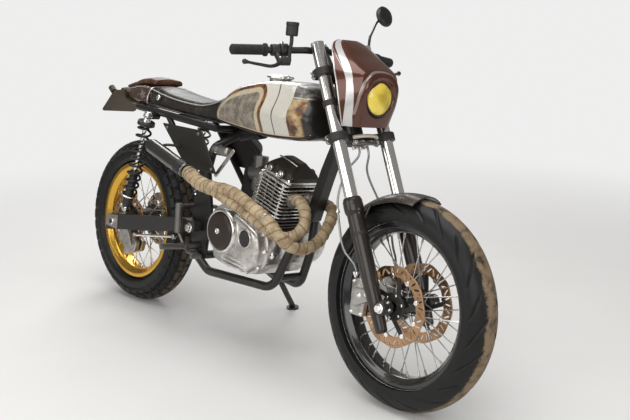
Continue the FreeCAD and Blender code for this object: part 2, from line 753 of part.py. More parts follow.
def main_frame():
    """Steering head, backbone, wide front downtube, twin cradle and pivot plates."""
    tube, bore = head_tube()
    front, rear = backbone_ends()
    solids = [tube, rod(front, rear, BACKBONE_RADIUS)]
    along = (front - rear).normalize()
    for share in TANK_SADDLE_SHARES:
        middle = rear + (front - rear) * share
        solids.append(rod(middle - along * TANK_SADDLE_LENGTH / 2, middle + along * TANK_SADDLE_LENGTH / 2,
                          BACKBONE_RADIUS + TANK_TUNNEL_GAP - SEAT_GAP))
    top_rear = fork_point(LOWER_CLAMP_HEIGHT + 78.0, -26.0, 0)
    top_front = fork_point(LOWER_CLAMP_HEIGHT + 34.0, -32.0, 0)
    downtube = [(top_rear.x, top_rear.z), (top_front.x, top_front.z), (1056.0, 640.0), (1012.0, 500.0),
                (974.0, 505.0), (1030.0, 680.0)]
    solids.append(plate(downtube, 12.0, -DOWNTUBE_HALF_WIDTH, DOWNTUBE_HALF_WIDTH))
    for side in SIDES:
        wide = side * CRADLE_HALF_WIDTH
        rear_wide = side * CRADLE_REAR_HALF_WIDTH
        run = [V(1000, side * 8, 540), V(944, side * CRADLE_NECK_HALF_WIDTH, 378), V(892, wide, 252)]
        run += [V(600, rear_wide, 252), V(520, rear_wide, 300)]
        solids.append(pipe(run, CRADLE_RADIUS, 60.0))
        inner = CRADLE_REAR_HALF_WIDTH - CRADLE_RADIUS
        solids.append(pivot_plate(side, 0.0))
        strut = [V(590, side * 20, 742), V(560, side * inner, 690), V(520, side * inner, 560)]
        solids.append(pipe(strut, CRADLE_RADIUS, 30.0))
    solids.append(cross_rod(V(555, 0, 300), CRADLE_RADIUS, CRADLE_REAR_HALF_WIDTH - 8.0))
    solids.append(cross_rod(V(904, 0, 290), CRADLE_RADIUS - 3, CRADLE_HALF_WIDTH - 4.0))
    seat_joint = rail_line()[1] + FORWARD * (SEAT_GAP + CRADLE_RADIUS - 3.0)
    solids.append(cross_rod(seat_joint, CRADLE_RADIUS - 3.0, RAIL_HALF_WIDTH + RAIL_RADIUS))
    whole = fuse(solids)
    return whole.cut(bore).cut(cross_rod(V(PIVOT_X, 0, PIVOT_Z), PIVOT_RADIUS + SEAT_GAP, 300))


# Fork and what it carries

def fork_tubes():
    """The two polished fork tubes."""
    return group([rod(fork_point(SLIDER_BOTTOM + 60.0, LEG_AHEAD, side * LEG_HALF_SPACING),
                      fork_point(FORK_TOP, LEG_AHEAD, side * LEG_HALF_SPACING), FORK_TUBE_RADIUS)
                  for side in SIDES])


def fork_sliders():
    """Both lower legs with their collars and axle lugs, and the front axle that joins them."""
    solids = []
    bores = []
    for side in SIDES:
        y = side * LEG_HALF_SPACING
        low = fork_point(SLIDER_BOTTOM, LEG_AHEAD, y)
        high = fork_point(SLIDER_TOP, LEG_AHEAD, y)
        collar = fork_point(SLIDER_TOP - SLIDER_COLLAR_HEIGHT, LEG_AHEAD, y)
        shoulder = fork_point(SLIDER_BOTTOM + 90.0, LEG_AHEAD, y)
        solids.append(rod(shoulder, collar, SLIDER_RADIUS))
        solids.append(cone_between(low, shoulder, SLIDER_RADIUS - 7.0, SLIDER_RADIUS))
        solids.append(rod(collar, high, SLIDER_COLLAR_RADIUS))
        lug_centre = FRONT_AXLE + LEFT * y
        lug = cross_rod(lug_centre, AXLE_NUT_RADIUS + 8.0, SLIDER_RADIUS - 4.0)
        solids.append(lug)
        solids.append(rod(lug_centre, fork_point(20.0, LEG_AHEAD, y), AXLE_NUT_RADIUS))
        bores.append(rod(fork_point(SLIDER_BOTTOM + 60.0 - SEAT_GAP, LEG_AHEAD, y), high + FORK_UP,
                         FORK_TUBE_RADIUS + RUNNING_GAP))
    axle_half = LEG_HALF_SPACING + SLIDER_RADIUS + 4.0
    solids.append(cross_rod(FRONT_AXLE, FRONT_AXLE_RADIUS, axle_half))
    return fuse(solids).cut(group(bores))


def clamp_plate(height, reach_ahead):
    """One fork clamp: a bridge from the stem to both legs."""
    half = CLAMP_THICKNESS / 2
    low = height - half
    outline = []
    grip = FORK_TUBE_RADIUS + 11.0
    legs = [rod(fork_point(low, LEG_AHEAD, side * LEG_HALF_SPACING),
                fork_point(low + CLAMP_THICKNESS, LEG_AHEAD, side * LEG_HALF_SPACING), grip)
            for side in SIDES]
    stem = rod(fork_point(low, 0, 0), fork_point(low + CLAMP_THICKNESS, 0, 0), HEAD_TUBE_RADIUS + 6.0)
    for ahead, across in ((-26.0, -30.0), (LEG_AHEAD - 18.0, -LEG_HALF_SPACING),
                          (LEG_AHEAD + 22.0, -LEG_HALF_SPACING), (reach_ahead, -40.0), (reach_ahead, 40.0),
                          (LEG_AHEAD + 22.0, LEG_HALF_SPACING), (LEG_AHEAD - 18.0, LEG_HALF_SPACING),
                          (-26.0, 30.0)):
        outline.append(fork_point(low, ahead, across))
    bridge = Part.Face(Part.makePolygon(outline + outline[:1])).extrude(FORK_UP * CLAMP_THICKNESS)
    return fuse([bridge, stem] + legs)


def triple_clamps():
    """Both fork clamps on the steering stem, with the handlebar's risers."""
    solids = [clamp_plate(LOWER_CLAMP_HEIGHT, 30.0), clamp_plate(UPPER_CLAMP_HEIGHT, 28.0)]
    solids.append(rod(fork_point(LOWER_CLAMP_HEIGHT - CLAMP_THICKNESS / 2 - 10.0, 0, 0),
                      fork_point(UPPER_CLAMP_HEIGHT + CLAMP_THICKNESS / 2 + 12.0, 0, 0), STEM_RADIUS))
    for side in SIDES:
        foot = fork_point(UPPER_CLAMP_HEIGHT, 10.0, side * BAR_RISER_Y)
        head = BAR_CENTRE + LEFT * side * BAR_RISER_Y
        solids.append(rod(foot, head, BAR_RADIUS + 3.0))
        solids.append(cross_rod(head, BAR_RADIUS + 8.0, 12.0))
    whole = fuse(solids)
    bores = [rod(fork_point(0, LEG_AHEAD, side * LEG_HALF_SPACING),
                 fork_point(FORK_TOP + 10.0, LEG_AHEAD, side * LEG_HALF_SPACING),
                 FORK_TUBE_RADIUS + RUNNING_GAP) for side in SIDES]
    bores.append(cross_rod(BAR_CENTRE, BAR_RADIUS + RUNNING_GAP, BAR_RISER_Y + 20.0))
    return whole.cut(group(bores))


def bar_points(side):
    """The handlebar's line on one side, from its middle to its end."""
    end = BAR_CENTRE + V(-BAR_END_BACK, side * BAR_HALF_WIDTH, -BAR_END_DROP)
    inner = BAR_CENTRE + V(-18.0, side * (BAR_BEND_Y + 42.0), -4.0)
    return [BAR_CENTRE, BAR_CENTRE + LEFT * side * BAR_BEND_Y, inner, end]


def handlebar():
    """A low, nearly straight handlebar swept back to its grips."""
    right = bar_points(RIGHT_SIDE)
    left = bar_points(LEFT_SIDE)
    return pipe(right[:0:-1] + left[1:], BAR_RADIUS, 60.0)


def on_bar(side, from_end):
    """A point on the straight end of the handlebar, and the direction towards its tip."""
    inner, end = bar_points(side)[-2:]
    along = (end - inner).normalize()
    return end - along * from_end, along


def grips():
    """A ribbed rubber grip on each end of the handlebar."""
    made = []
    for side in SIDES:
        start, along = on_bar(side, GRIP_LENGTH - 3.0)
        tip, along = on_bar(side, -3.0)
        body = rod(start, tip, GRIP_RADIUS)
        collar = rod(start, start + along * 8.0, GRIP_RADIUS + 4.0)
        end, along = on_bar(side, -SEAT_GAP)
        made.append(fuse([body, collar]).cut(rod(start - along, end, BAR_RADIUS + RUNNING_GAP)))
    return group(made)


def lever_set(side, with_reservoir):
    """A lever on its bar clamp, with a fluid reservoir if it works the brake."""
    centre, along = on_bar(side, GRIP_LENGTH + 26.0)
    ahead = V(math.cos(RAKE), 0, -math.sin(RAKE))
    solids = [rod(centre - along * 14.0, centre + along * 14.0, BAR_RADIUS + 8.0)]
    pivot = centre + ahead * 34.0 - UP * 18.0
    solids.append(rod(centre, pivot, 10.0))
    solids.append(rod(pivot - UP * 10.0, pivot + UP * 10.0, 12.0))
    tip = on_bar(side, 12.0)[0] + ahead * 62.0 - UP * 6.0
    knee = pivot + along * 40.0 + ahead * 26.0 - UP * 2.0
    solids.append(pipe([pivot, knee, tip], 6.0, 60.0))
    solids.append(Part.makeSphere(9.0, tip))
    if with_reservoir:
        neck = pivot - along * 30.0
        solids.append(rod(pivot, neck, 14.0))
        solids.append(rod(neck, neck + UP * 84.0, 6.0))
        solids.append(rod(neck + UP * 80.0, neck + UP * 122.0, 20.0))
    whole = fuse(solids)
    far_start, along = on_bar(side, GRIP_LENGTH + 70.0)
    far_end, along = on_bar(side, 0)
    return whole.cut(rod(far_start, far_end, BAR_RADIUS + RUNNING_GAP))


def mirror():
    """A round mirror on a tall stalk, on the left side of the bar."""
    foot, along = on_bar(LEFT_SIDE, GRIP_LENGTH + 60.0)
    centre = foot + MIRROR_OFFSET
    clamp = rod(foot - along * 9.0, foot + along * 9.0, BAR_RADIUS + 7.0)
    stalk = pipe([foot + UP * (BAR_RADIUS + 2.0), foot + UP * 70.0, centre - LEFT * 30.0 - UP * 20.0], 5.0, 40.0)
    back = V(0.93, 0.0, 0.37)
    shell = rod(centre, centre + back * 16.0, MIRROR_RADIUS)
    whole = fuse([clamp, stalk, shell, rod(centre - LEFT * 30.0 - UP * 20.0, centre + back * 8.0, 5.0)])
    start, along = on_bar(LEFT_SIDE, GRIP_LENGTH + 120.0)
    end, along = on_bar(LEFT_SIDE, 0)
    return whole.cut(rod(start, end, BAR_RADIUS + RUNNING_GAP))


def fairing():
    """A small bikini fairing: an open shell round the lamp and the clamps."""
    outer = fairing_form(0.0)
    inner = fairing_form(FAIRING_WALL)
    shell = outer.cut(inner)
    lamp_hole = rod(LAMP_CENTRE - FORWARD * 60.0, LAMP_CENTRE + FORWARD * 60.0, LAMP_RADIUS + SEAT_GAP)
    return shell.cut(lamp_hole)


def fairing_form(inset):
    """The fairing's closed form, pulled in by the wall where it is the inside."""
    stations = [
        (842.0, 1196.0, 104.0, 1226.0, 60.0),
        (926.0, 1186.0, 121.0, 1244.0, 76.0),
        (980.0, 1172.0, 125.0, 1247.0, 74.0),
        (1012.0, 1156.0, 122.0, 1238.0, 68.0),
        (1034.0, 1144.0, 116.0, 1206.0, 62.0),
        (1058.0, 1124.0, 104.0, 1166.0, 54.0),
        (1104.0, 1072.0, 68.0, 1090.0, 32.0),
    ]
    sections = []
    for z, x_rear, half_rear, x_front, half_front in stations:
        back = x_rear - (40.0 if inset else 0.0)
        wide = half_rear - inset
        ahead = x_front - inset
        narrow = half_front - inset
        level = z
        points = [V(back, -wide, level), V(ahead, -narrow, level), V(ahead, narrow, level), V(back, wide, level)]
        sections.append(rounded_wire(points, [0.0, 40.0 - inset, 40.0 - inset, 0.0], True))
    return loft(sections)


def headlamp():
    """The yellow-lensed lamp in its bowl, on brackets from the fork tubes."""
    front = LAMP_CENTRE + FORWARD * 6.0
    rim = rod(front - FORWARD * 18.0, front, LAMP_RADIUS)
    bowl = cone_between(front - FORWARD * LAMP_DEPTH, front - FORWARD * 18.0, LAMP_RADIUS * 0.5, LAMP_RADIUS - 4.0)
    solids = [rim, bowl]
    for side in SIDES:
        anchor = fork_point(LAMP_COLLAR_HEIGHT, LEG_AHEAD, side * LEG_HALF_SPACING)
        collar = rod(anchor - FORK_UP * 9.0, anchor + FORK_UP * 9.0, FORK_TUBE_RADIUS + LAMP_COLLAR_WALL)
        target = front - FORWARD * 44.0 + LEFT * side * 20.0
        solids += [collar, rod(anchor, target, 6.0)]
    whole = fuse(solids)
    bores = [rod(fork_point(SLIDER_TOP, LEG_AHEAD, side * LEG_HALF_SPACING),
                 fork_point(FORK_TOP, LEG_AHEAD, side * LEG_HALF_SPACING),
                 FORK_TUBE_RADIUS + RUNNING_GAP) for side in SIDES]
    return whole.cut(group(bores))


def front_fender():
    """A short fender close over the tyre, with a stay to each leg."""
    inner = FRONT_TYRE_RADIUS + FENDER_GAP
    outer = inner + FENDER_THICKNESS
    droop = 26.0
    profile = []
    for radius, half in ((outer, FENDER_HALF_WIDTH), (inner, FENDER_HALF_WIDTH - FENDER_THICKNESS)):
        right = FRONT_AXLE + V(radius - droop, -half, 0)
        top = FRONT_AXLE + V(radius, 0, 0)
        left = FRONT_AXLE + V(radius - droop, half, 0)
        profile.append((right, top, left))
    outside, inside = profile
    edges = [Part.Arc(*outside).toShape(), Part.makeLine(outside[2], inside[2])]
    edges += [Part.Arc(*inside).toShape(), Part.makeLine(inside[0], outside[0])]
    blade = Part.Face(Part.Wire(Part.__sortEdges__(edges))).revolve(
        FRONT_AXLE, LEFT, -(FENDER_REAR_ANGLE - FENDER_FRONT_ANGLE))
    blade.rotate(FRONT_AXLE, LEFT, -FENDER_FRONT_ANGLE)
    stays = []
    for side in SIDES:
        anchor = fork_point(SLIDER_TOP - SLIDER_COLLAR_HEIGHT - 30.0, LEG_AHEAD, side * LEG_HALF_SPACING)
        anchor = anchor - LEFT * side * (SLIDER_RADIUS + SEAT_GAP)
        edge = polar(FRONT_AXLE, outer - droop, 116.0) + LEFT * side * (FENDER_HALF_WIDTH - 1.0)
        stays.append(rod(anchor, edge, 5.0).cut(
            rod(fork_point(0, LEG_AHEAD, side * LEG_HALF_SPACING),
                fork_point(SLIDER_TOP, LEG_AHEAD, side * LEG_HALF_SPACING), SLIDER_RADIUS + SEAT_GAP)))
    return fuse([blade] + stays)


def front_calipers():
    """A caliper behind each leg, astride its disc, on a bracket from the leg."""
    made = []
    for side in SIDES:
        gap = DISC_THICKNESS / 2 + CALIPER_DISC_GAP
        centre = FRONT_AXLE + V(-132.0, 0, 2.0)
        body = plate([(centre.x - 30, centre.z - 62), (centre.x + 26, centre.z - 62), (centre.x + 34, centre.z + 40),
                      (centre.x + 4, centre.z + 62), (centre.x - 30, centre.z + 50)], 14.0,
                     side * FRONT_DISC_OFFSET - 26.0, side * FRONT_DISC_OFFSET + 26.0)
        slot = disc(FRONT_AXLE, FRONT_DISC_RADIUS + MOVING_GAP, side * FRONT_DISC_OFFSET - gap,
                    side * FRONT_DISC_OFFSET + gap)
        leg_clear = rod(fork_point(SLIDER_BOTTOM, LEG_AHEAD, side * LEG_HALF_SPACING),
                        fork_point(SLIDER_TOP, LEG_AHEAD, side * LEG_HALF_SPACING), SLIDER_RADIUS + SEAT_GAP)
        inner, outer = sorted((side * (LEG_HALF_SPACING - 26.0), side * (LEG_HALF_SPACING - 2.0)))
        bracket = plate([(centre.x, centre.z + 30), (centre.x + 70, centre.z + 34), (centre.x + 70, centre.z + 4),
                         (centre.x, centre.z - 30)], 6.0, inner, outer)
        made.append(fuse([body, bracket]).cut(slot).cut(leg_clear))
    return group(made)


def front_brake_hoses():
    """The brake hoses from the lower clamp down behind each leg to the calipers."""
    made = []
    for side in SIDES:
        y = side * LEG_HALF_SPACING
        top = fork_point(LOWER_CLAMP_HEIGHT - CLAMP_THICKNESS / 2 - SEAT_GAP, 24.0, side * 20.0)
        points = [top, top - FORK_UP * 34.0,
                  fork_point(LOWER_CLAMP_HEIGHT - 90.0, -22.0, side * 44.0),
                  fork_point(LOWER_CLAMP_HEIGHT - 170.0, -46.0, side * 86.0),
                  fork_point(290.0, -40.0, side * 112.0),
                  fork_point(200.0, -46.0, side * 108.0),
                  FRONT_AXLE + V(-150.0, side * 92.0, 96.0),
                  FRONT_AXLE + V(-142.0, side * 84.0, 66.0)]
        made.append(pipe(points, 4.0, 40.0))
    return group(made)


# Engine

def tilted(points, y=0.0):
    """Points given across and along the tilted cylinder, from its base."""
    tilt = math.radians(CYLINDER_TILT)
    up = V(math.sin(tilt), 0, math.cos(tilt))
    ahead = V(math.cos(tilt), 0, -math.sin(tilt))
    return [CYLINDER_BASE + ahead * across + up * along + LEFT * y for across, along in points]


def tilted_slab(low, high, half_length, half_width, corner):
    """A flat slab square to the cylinder with bevelled corners."""
    tilt = math.radians(CYLINDER_TILT)
    up = V(math.sin(tilt), 0, math.cos(tilt))
    outline = []
    for across, y in ((half_length - corner, -half_width), (half_length, -half_width + corner),
                      (half_length, half_width - corner), (half_length - corner, half_width),
                      (corner - half_length, half_width), (-half_length, half_width - corner),
                      (-half_length, corner - half_width), (corner - half_length, -half_width)):
        outline += tilted([(across, low)], y)
    wire = Part.makePolygon(outline + outline[:1])
    return Part.Face(wire).extrude(up * (high - low))


def fin_block():
    """The space that the cylinder's fins take, with a seat's gap round it."""
    return tilted_slab(0.0, cylinder_top() + SEAT_GAP, FIN_LENGTH / 2 + SEAT_GAP, FIN_HALF_WIDTH + SEAT_GAP, 0.5)


def cylinder_top():
    """Height along the cylinder of the last fin's upper face."""
    return FIN_COUNT * FIN_PITCH + FIN_THICKNESS


def cylinder():
    """Finned barrel and head in one, with the exhaust port's stub."""
    base, top = tilted([(0, 2.0), (0, cylinder_top())])
    solids = [rod(base, top, CYLINDER_BORE_RADIUS)]
    for index in range(FIN_COUNT):
        low = 10.0 + index * FIN_PITCH
        solids.append(tilted_slab(low, low + FIN_THICKNESS, FIN_LENGTH / 2, FIN_HALF_WIDTH, 16.0))
    for y in (-55.0, 55.0):
        for across in (-58.0, 58.0):
            solids.append(rod(tilted([(across, 2.0)], y)[0], tilted([(across, cylinder_top())], y)[0], 8.0))
    return fuse(solids)


def head_cover():
    """The valve cover, bevelled towards its top, with its two cap bosses."""
    low = cylinder_top() + SEAT_GAP
    levels = []
    for share, half_length, half_width in HEAD_COVER_STEPS:
        height = low + share * HEAD_COVER_HEIGHT
        corners = [tilted([(half_length, height)], -half_width)[0], tilted([(half_length, height)], half_width)[0],
                   tilted([(-half_length, height)], half_width)[0], tilted([(-half_length, height)], -half_width)[0]]
        levels.append(rounded_wire(corners, [18.0] * 4, True))
    dome = loft(levels)
    caps = []
    for side in SIDES:
        centre = tilted([(24.0, low + 18.0)], side * 66.0)[0]
        caps.append(cross_rod(centre, 16.0, 10.0))
    return fuse([dome] + caps)


def engine_cases():
    """The crankcase, seen from the side, with the cylinder's deck and the gearbox."""
    outline = [(596, 300), (680, 284), (838, 290), (893, 336), (921, 405), (921, 452)]
    deck = tilted([(88.0, 0.0), (-88.0, 0.0)])
    outline += [(deck[0].x, deck[0].z), (deck[1].x, deck[1].z)]
    outline += [(640, 512), (580, 470), (572, 380)]
    wide = plate(outline, 14.0, -CASE_HALF_WIDTH + 18.0, CASE_HALF_WIDTH - 18.0)
    ribs = [disc(V(700, 0, 400), 60.0, -CASE_HALF_WIDTH, CASE_HALF_WIDTH),
            disc(V(830, 0, 400), 86.0, -CASE_HALF_WIDTH, CASE_HALF_WIDTH)]
    above = tilted_slab(0.0, 120.0, 130.0, 2 * CASE_HALF_WIDTH, 1.0)
    pitch, small, large, centre = chain_layout()
    reach = small + CHAIN_PLATE_HEIGHT
    pocket = disc(centre, reach, CHAIN_OFFSET - CHAIN_OUTER_WIDTH, CASE_HALF_WIDTH + 1.0)
    behind = plate([(centre.x - 200, centre.z - reach), (centre.x, centre.z - reach),
                    (centre.x, centre.z + reach), (centre.x - 200, centre.z + reach)], 0.0,
                   CHAIN_OFFSET - CHAIN_OUTER_WIDTH, CASE_HALF_WIDTH + 1.0)
    shaft = disc(centre, 16.0, CHAIN_OFFSET - CHAIN_OUTER_WIDTH - 4.0, CHAIN_OFFSET + 8.0)
    wheel = sprocket(centre, small, FRONT_SPROCKET_TEETH, 0.0, CHAIN_OFFSET - SPROCKET_THICKNESS / 2)
    body = fuse([wide] + ribs).cut(above).cut(pocket).cut(behind)
    return fuse([body, shaft, wheel])


def engine_covers():
    """The clutch cover with its two round caps on the right, and the generator cover on the left."""
    right_outline = [(652, 380), (690, 330), (760, 296), (846, 292), (906, 330), (922, 400), (902, 450),
                     (800, 490), (723, 506), (660, 480)]
    start = CASE_HALF_WIDTH + SEAT_GAP
    right = side_plate(right_outline, 26.0, RIGHT_SIDE, start, start + COVER_THICKNESS - 12.0)
    drum = disc(CLUTCH_CENTRE, CLUTCH_RADIUS, -start - COVER_THICKNESS, -start)
    cap = disc(CLUTCH_CENTRE, CLUTCH_CAP_RADIUS, -start - COVER_THICKNESS - CLUTCH_CAP_THICKNESS,
               -start - COVER_THICKNESS + 1.0)
    small = disc(SMALL_CAP_CENTRE, SMALL_CAP_RADIUS, -start - COVER_THICKNESS, -start)
    ribs = [side_plate([(740, z), (838, z - 8), (838, z - 13), (740, z - 5)], 0.0, RIGHT_SIDE, start,
                       start + COVER_THICKNESS - 6.0) for z in (346, 332, 318)]
    left = disc(V(830, 0, 400), 84.0, start, start + COVER_THICKNESS - 16.0)
    left_cap = disc(V(830, 0, 400), 40.0, start, start + COVER_THICKNESS - 8.0)
    return group([fuse([right, drum, cap, small] + ribs), fuse([left, left_cap])])


def carburettor():
    """The carburettor behind the head, its manifold and a round air filter."""
    mouth = tilted([(-FIN_LENGTH / 2 - SEAT_GAP, 132.0)])[0]
    back = mouth + V(-46.0, 0, 4.0)
    bowl = mouth + V(-78.0, 0, 2.0)
    end = mouth + V(-112.0, 0, 2.0)
    solids = [rod(back, mouth, 24.0), rod(end, back, 30.0)]
    solids.append(rod(bowl - UP * 62.0, bowl + UP * 58.0, 26.0))
    return fuse(solids).cut(fin_block())


# Exhaust

def exhaust_pipes():
    """Two wrapped headers that cross in front of the engine and meet before the muffler."""
    along = (MUFFLER_REAR - MUFFLER_FRONT).normalize()
    meeting = MUFFLER_FRONT - along * COLLECTOR_LENGTH
    solids = [rod(meeting, MUFFLER_FRONT, COLLECTOR_RADIUS)]
    for offset, route in ((LEFT_PORT_OFFSET, OUTER_ROUTE), (RIGHT_PORT_OFFSET, INNER_ROUTE)):
        port = tilted([(FIN_LENGTH / 2 + SEAT_GAP, PORT_HEIGHT)], offset)[0]
        solids.append(pipe([port, *route, PIPES_MEET, meeting - along * SEAT_GAP], HEADER_RADIUS, HEADER_BEND))
    return fuse(solids).cut(fin_block())


def muffler():
    """A straight slip-on muffler with a bright rear cap and its hanger."""
    start = MUFFLER_FRONT
    end = MUFFLER_REAR
    along = (end - start).normalize()
    body = rod(start + along * SEAT_GAP, end, MUFFLER_RADIUS)
    cap = cone_between(end, end + along * 24.0, MUFFLER_RADIUS, MUFFLER_CAP_RADIUS)
    bore = rod(end - along * 60.0, end + along * 30.0, MUFFLER_CAP_RADIUS - 5.0)
    band_at = start + along * MUFFLER_BAND_AT
    band = rod(band_at - along * 9.0, band_at + along * 9.0, MUFFLER_RADIUS + 3.0)
    upper, lower = subframe_strut(RIGHT_SIDE)
    share = (upper.z - band_at.z) / (upper.z - lower.z)
    joined = upper + (lower - upper) * share
    behind = V(band_at.x + 10.0, joined.y - 4.0, band_at.z)
    hanger = pipe([joined, behind, band_at + LEFT * (MUFFLER_RADIUS - 2.0)], 5.0, 20.0)
    hanger = hanger.cut(rod(upper, lower, RAIL_RADIUS - 2.0 + SEAT_GAP))
    hanger = max(hanger.Solids, key=lambda solid: solid.Volume)
    return fuse([body, cap, band, hanger]).cut(bore)


# Tank, seat and tail

def fuel_tank():
    """The long slab-sided tank over the backbone, with the filler's neck."""
    stations = [
        (TANK_REAR, 782, 92, 816, 108, 862, 74),
        (600.0, 778, 102, 826, 122, 896, 86),
        (740.0, 768, 112, 838, 142, 940, 96),
        (860.0, 762, 118, 842, 152, 954, 100),
        (960.0, 766, 114, 846, 148, 950, 96),
        (1020.0, 772, 104, 848, 136, 928, 84),
        (1056.0, 782, 90, 840, 118, 880, 80),
    ]
    body = loft([section(x, low, low_half, mid, mid_half, high, high_half, 34.0)
                 for x, low, low_half, mid, mid_half, high, high_half in stations])
    front, rear = backbone_ends()
    along = (front - rear).normalize()
    reach = BACKBONE_RADIUS + TANK_TUNNEL_GAP
    tunnel = rod(rear - along * 60.0, front + along * 60.0, reach)
    floor = Part.Face(Part.makePolygon([rear - along * 60.0 + LEFT * reach, front + along * 60.0 + LEFT * reach,
                                        front + along * 60.0 - LEFT * reach, rear - along * 60.0 - LEFT * reach,
                                        rear - along * 60.0 + LEFT * reach])).extrude(UP * -160.0)
    neck = rod(V(CAP_CENTRE_X, 0, 900.0), V(CAP_CENTRE_X, 0, cap_seat()), CAP_RADIUS - 8.0)
    pin = cap_hinge()
    ears = [rod(pin - LEFT * (CAP_HINGE_HALF_WIDTH + 4.0), pin + LEFT * (CAP_HINGE_HALF_WIDTH + 4.0), CAP_PIN_RADIUS)]
    for side in SIDES:
        near = side * (CAP_HINGE_HALF_WIDTH + SEAT_GAP)
        far = side * (CAP_HINGE_HALF_WIDTH + 5.0)
        ears.append(disc(pin, CAP_BARREL_RADIUS, min(near, far), max(near, far)))
        ears.append(plate([(pin.x - CAP_BARREL_RADIUS, pin.z - 30.0), (pin.x + CAP_BARREL_RADIUS, pin.z - 30.0),
                           (pin.x + CAP_BARREL_RADIUS, pin.z), (pin.x - CAP_BARREL_RADIUS, pin.z)], 0.0,
                          min(near, far), max(near, far)))
    return fuse([body, neck] + ears).cut(tunnel).cut(floor)


def cap_seat():
    """Height of the filler neck's rim."""
    return 954.0


def cap_hinge():
    """Where the filler cap's hinge pin lies."""
    return V(CAP_CENTRE_X + CAP_RADIUS + 5.0, 0, cap_seat() + 7.0)


def filler_cap():
    """The hinged filler cap with its latch tongue."""
    low = cap_seat() + SEAT_GAP
    lid = Part.makeCylinder(CAP_RADIUS, CAP_HEIGHT - 5.0, V(CAP_CENTRE_X, 0, low), UP)
    dome = Part.makeCone(CAP_RADIUS - 3.0, CAP_RADIUS - 14.0, 5.0, V(CAP_CENTRE_X, 0, low + CAP_HEIGHT - 5.0), UP)
    tongue = Part.makeBox(16.0, 14.0, 8.0, V(CAP_CENTRE_X - CAP_RADIUS - 12.0, -7.0, low))
    pin = cap_hinge()
    hinge = cross_rod(pin, CAP_BARREL_RADIUS, CAP_HINGE_HALF_WIDTH)
    arm = Part.makeBox(14.0, 16.0, 6.0, V(CAP_CENTRE_X + CAP_RADIUS - 8.0, -8.0, low + 1.0))
    bore = cross_rod(pin, CAP_PIN_RADIUS + RUNNING_GAP, CAP_HINGE_HALF_WIDTH + 1.0)
    return fuse([lid, dome, tongue, hinge, arm]).cut(bore)


def rail_line():
    """The seat rail's rear and front ends at its height."""
    return V(60.0, 0, 782.0), V(560.0, 0, 758.0)


def rail_top(x):
    """Height of the seat rails' upper side at a station."""
    rear, front = rail_line()
    share = (x - rear.x) / (front.x - rear.x)
    return rear.z + (front.z - rear.z) * share + RAIL_RADIUS


def subframe_strut(side):
    """The upper and lower ends of the strut under one seat rail."""
    return (V(262.0, side * RAIL_HALF_WIDTH, rail_top(262.0) - RAIL_RADIUS),
            V(490.0, side * (CRADLE_REAR_HALF_WIDTH - CRADLE_RADIUS), 546.0))


def rear_subframe():
    """Seat rails joined round the tail, their struts, and the shocks' upper pins."""
    rear, front = rail_line()
    solids = []
    tail = V(rear.x - TAIL_LOOP_REACH, 0, rail_top(rear.x - TAIL_LOOP_REACH) - RAIL_RADIUS)
    loop = [front - LEFT * RAIL_HALF_WIDTH, rear - LEFT * RAIL_HALF_WIDTH, tail - LEFT * TAIL_LOOP_HALF_WIDTH,
            tail + LEFT * TAIL_LOOP_HALF_WIDTH, rear + LEFT * RAIL_HALF_WIDTH, front + LEFT * RAIL_HALF_WIDTH]
    solids.append(pipe(loop, RAIL_RADIUS, 50.0))
    for side in SIDES:
        upper, lower = subframe_strut(side)
        solids.append(rod(upper, lower, RAIL_RADIUS - 2.0).cut(pivot_plate(side, SEAT_GAP)))
        boss = SHOCK_TOP + LEFT * side * RAIL_HALF_WIDTH
        solids.append(rod(boss, SHOCK_TOP + LEFT * side * (SHOCK_HALF_SPACING + SHOCK_EYE_WIDTH / 2 + 6), 7.0))
        solids.append(rod(boss - LEFT * side * 10.0, SHOCK_TOP + LEFT * side * (SHOCK_HALF_SPACING - SHOCK_EYE_WIDTH / 2
                                                                              - SEAT_GAP), 14.0))
    solids.append(cross_rod(V(300, 0, rail_top(300) - RAIL_RADIUS), RAIL_RADIUS - 3.0, RAIL_HALF_WIDTH))
    return fuse(solids)


def seat():
    """The long slim seat, dipped for the rider and raised towards the tank."""
    front = TANK_REAR - SEAT_GAP
    stations = [
        (HUMP_FRONT + SEAT_GAP, 98, 870, 74),
        (180.0, 101, 858, 77),
        (270.0, 103, 847, 78),
        (360.0, 101, 841, 77),
        (440.0, 97, 842, 73),
        (500.0, 92, 856, 67),
        (front, 86, 878, 60),
    ]
    sections = []
    for x, half, high, top_half in stations:
        low = rail_top(x) + SEAT_GAP
        sections.append(section(x, low, half, low + 26.0, half + 4.0, high, top_half, 16.0))
    return loft(sections)


def seat_hump():
    """The tail hump behind the rider: a tapered shell with a padded top."""
    stations = [
        (HUMP_FRONT, 797, 98, 896, 60),
        (60.0, 798, 94, 899, 60),
        (0.0, 800, 85, 893, 56),
        (-80.0, 818, 66, 873, 46),
        (-166.0, 833, 34, 848, 26),
    ]
    sections = []
    for x, low, half, high, top_half in stations:
        floor = max(low, rail_top(x) + SEAT_GAP)
        middle = floor + (high - floor) * 0.25
        sections.append(section(x, floor, half, middle, half + 3.0, high, top_half, (high - floor) * 0.12))
    return loft(sections)


def side_panels():
    """The flat side panels under the seat."""
    outline = [(256, 742), (500, 742), (604, 600), (424, 600)]
    inner = CRADLE_REAR_HALF_WIDTH + SEAT_GAP
    return group(on_both_sides(lambda side: side_plate(outline, 16.0, side, inner, inner + PANEL_THICKNESS)))


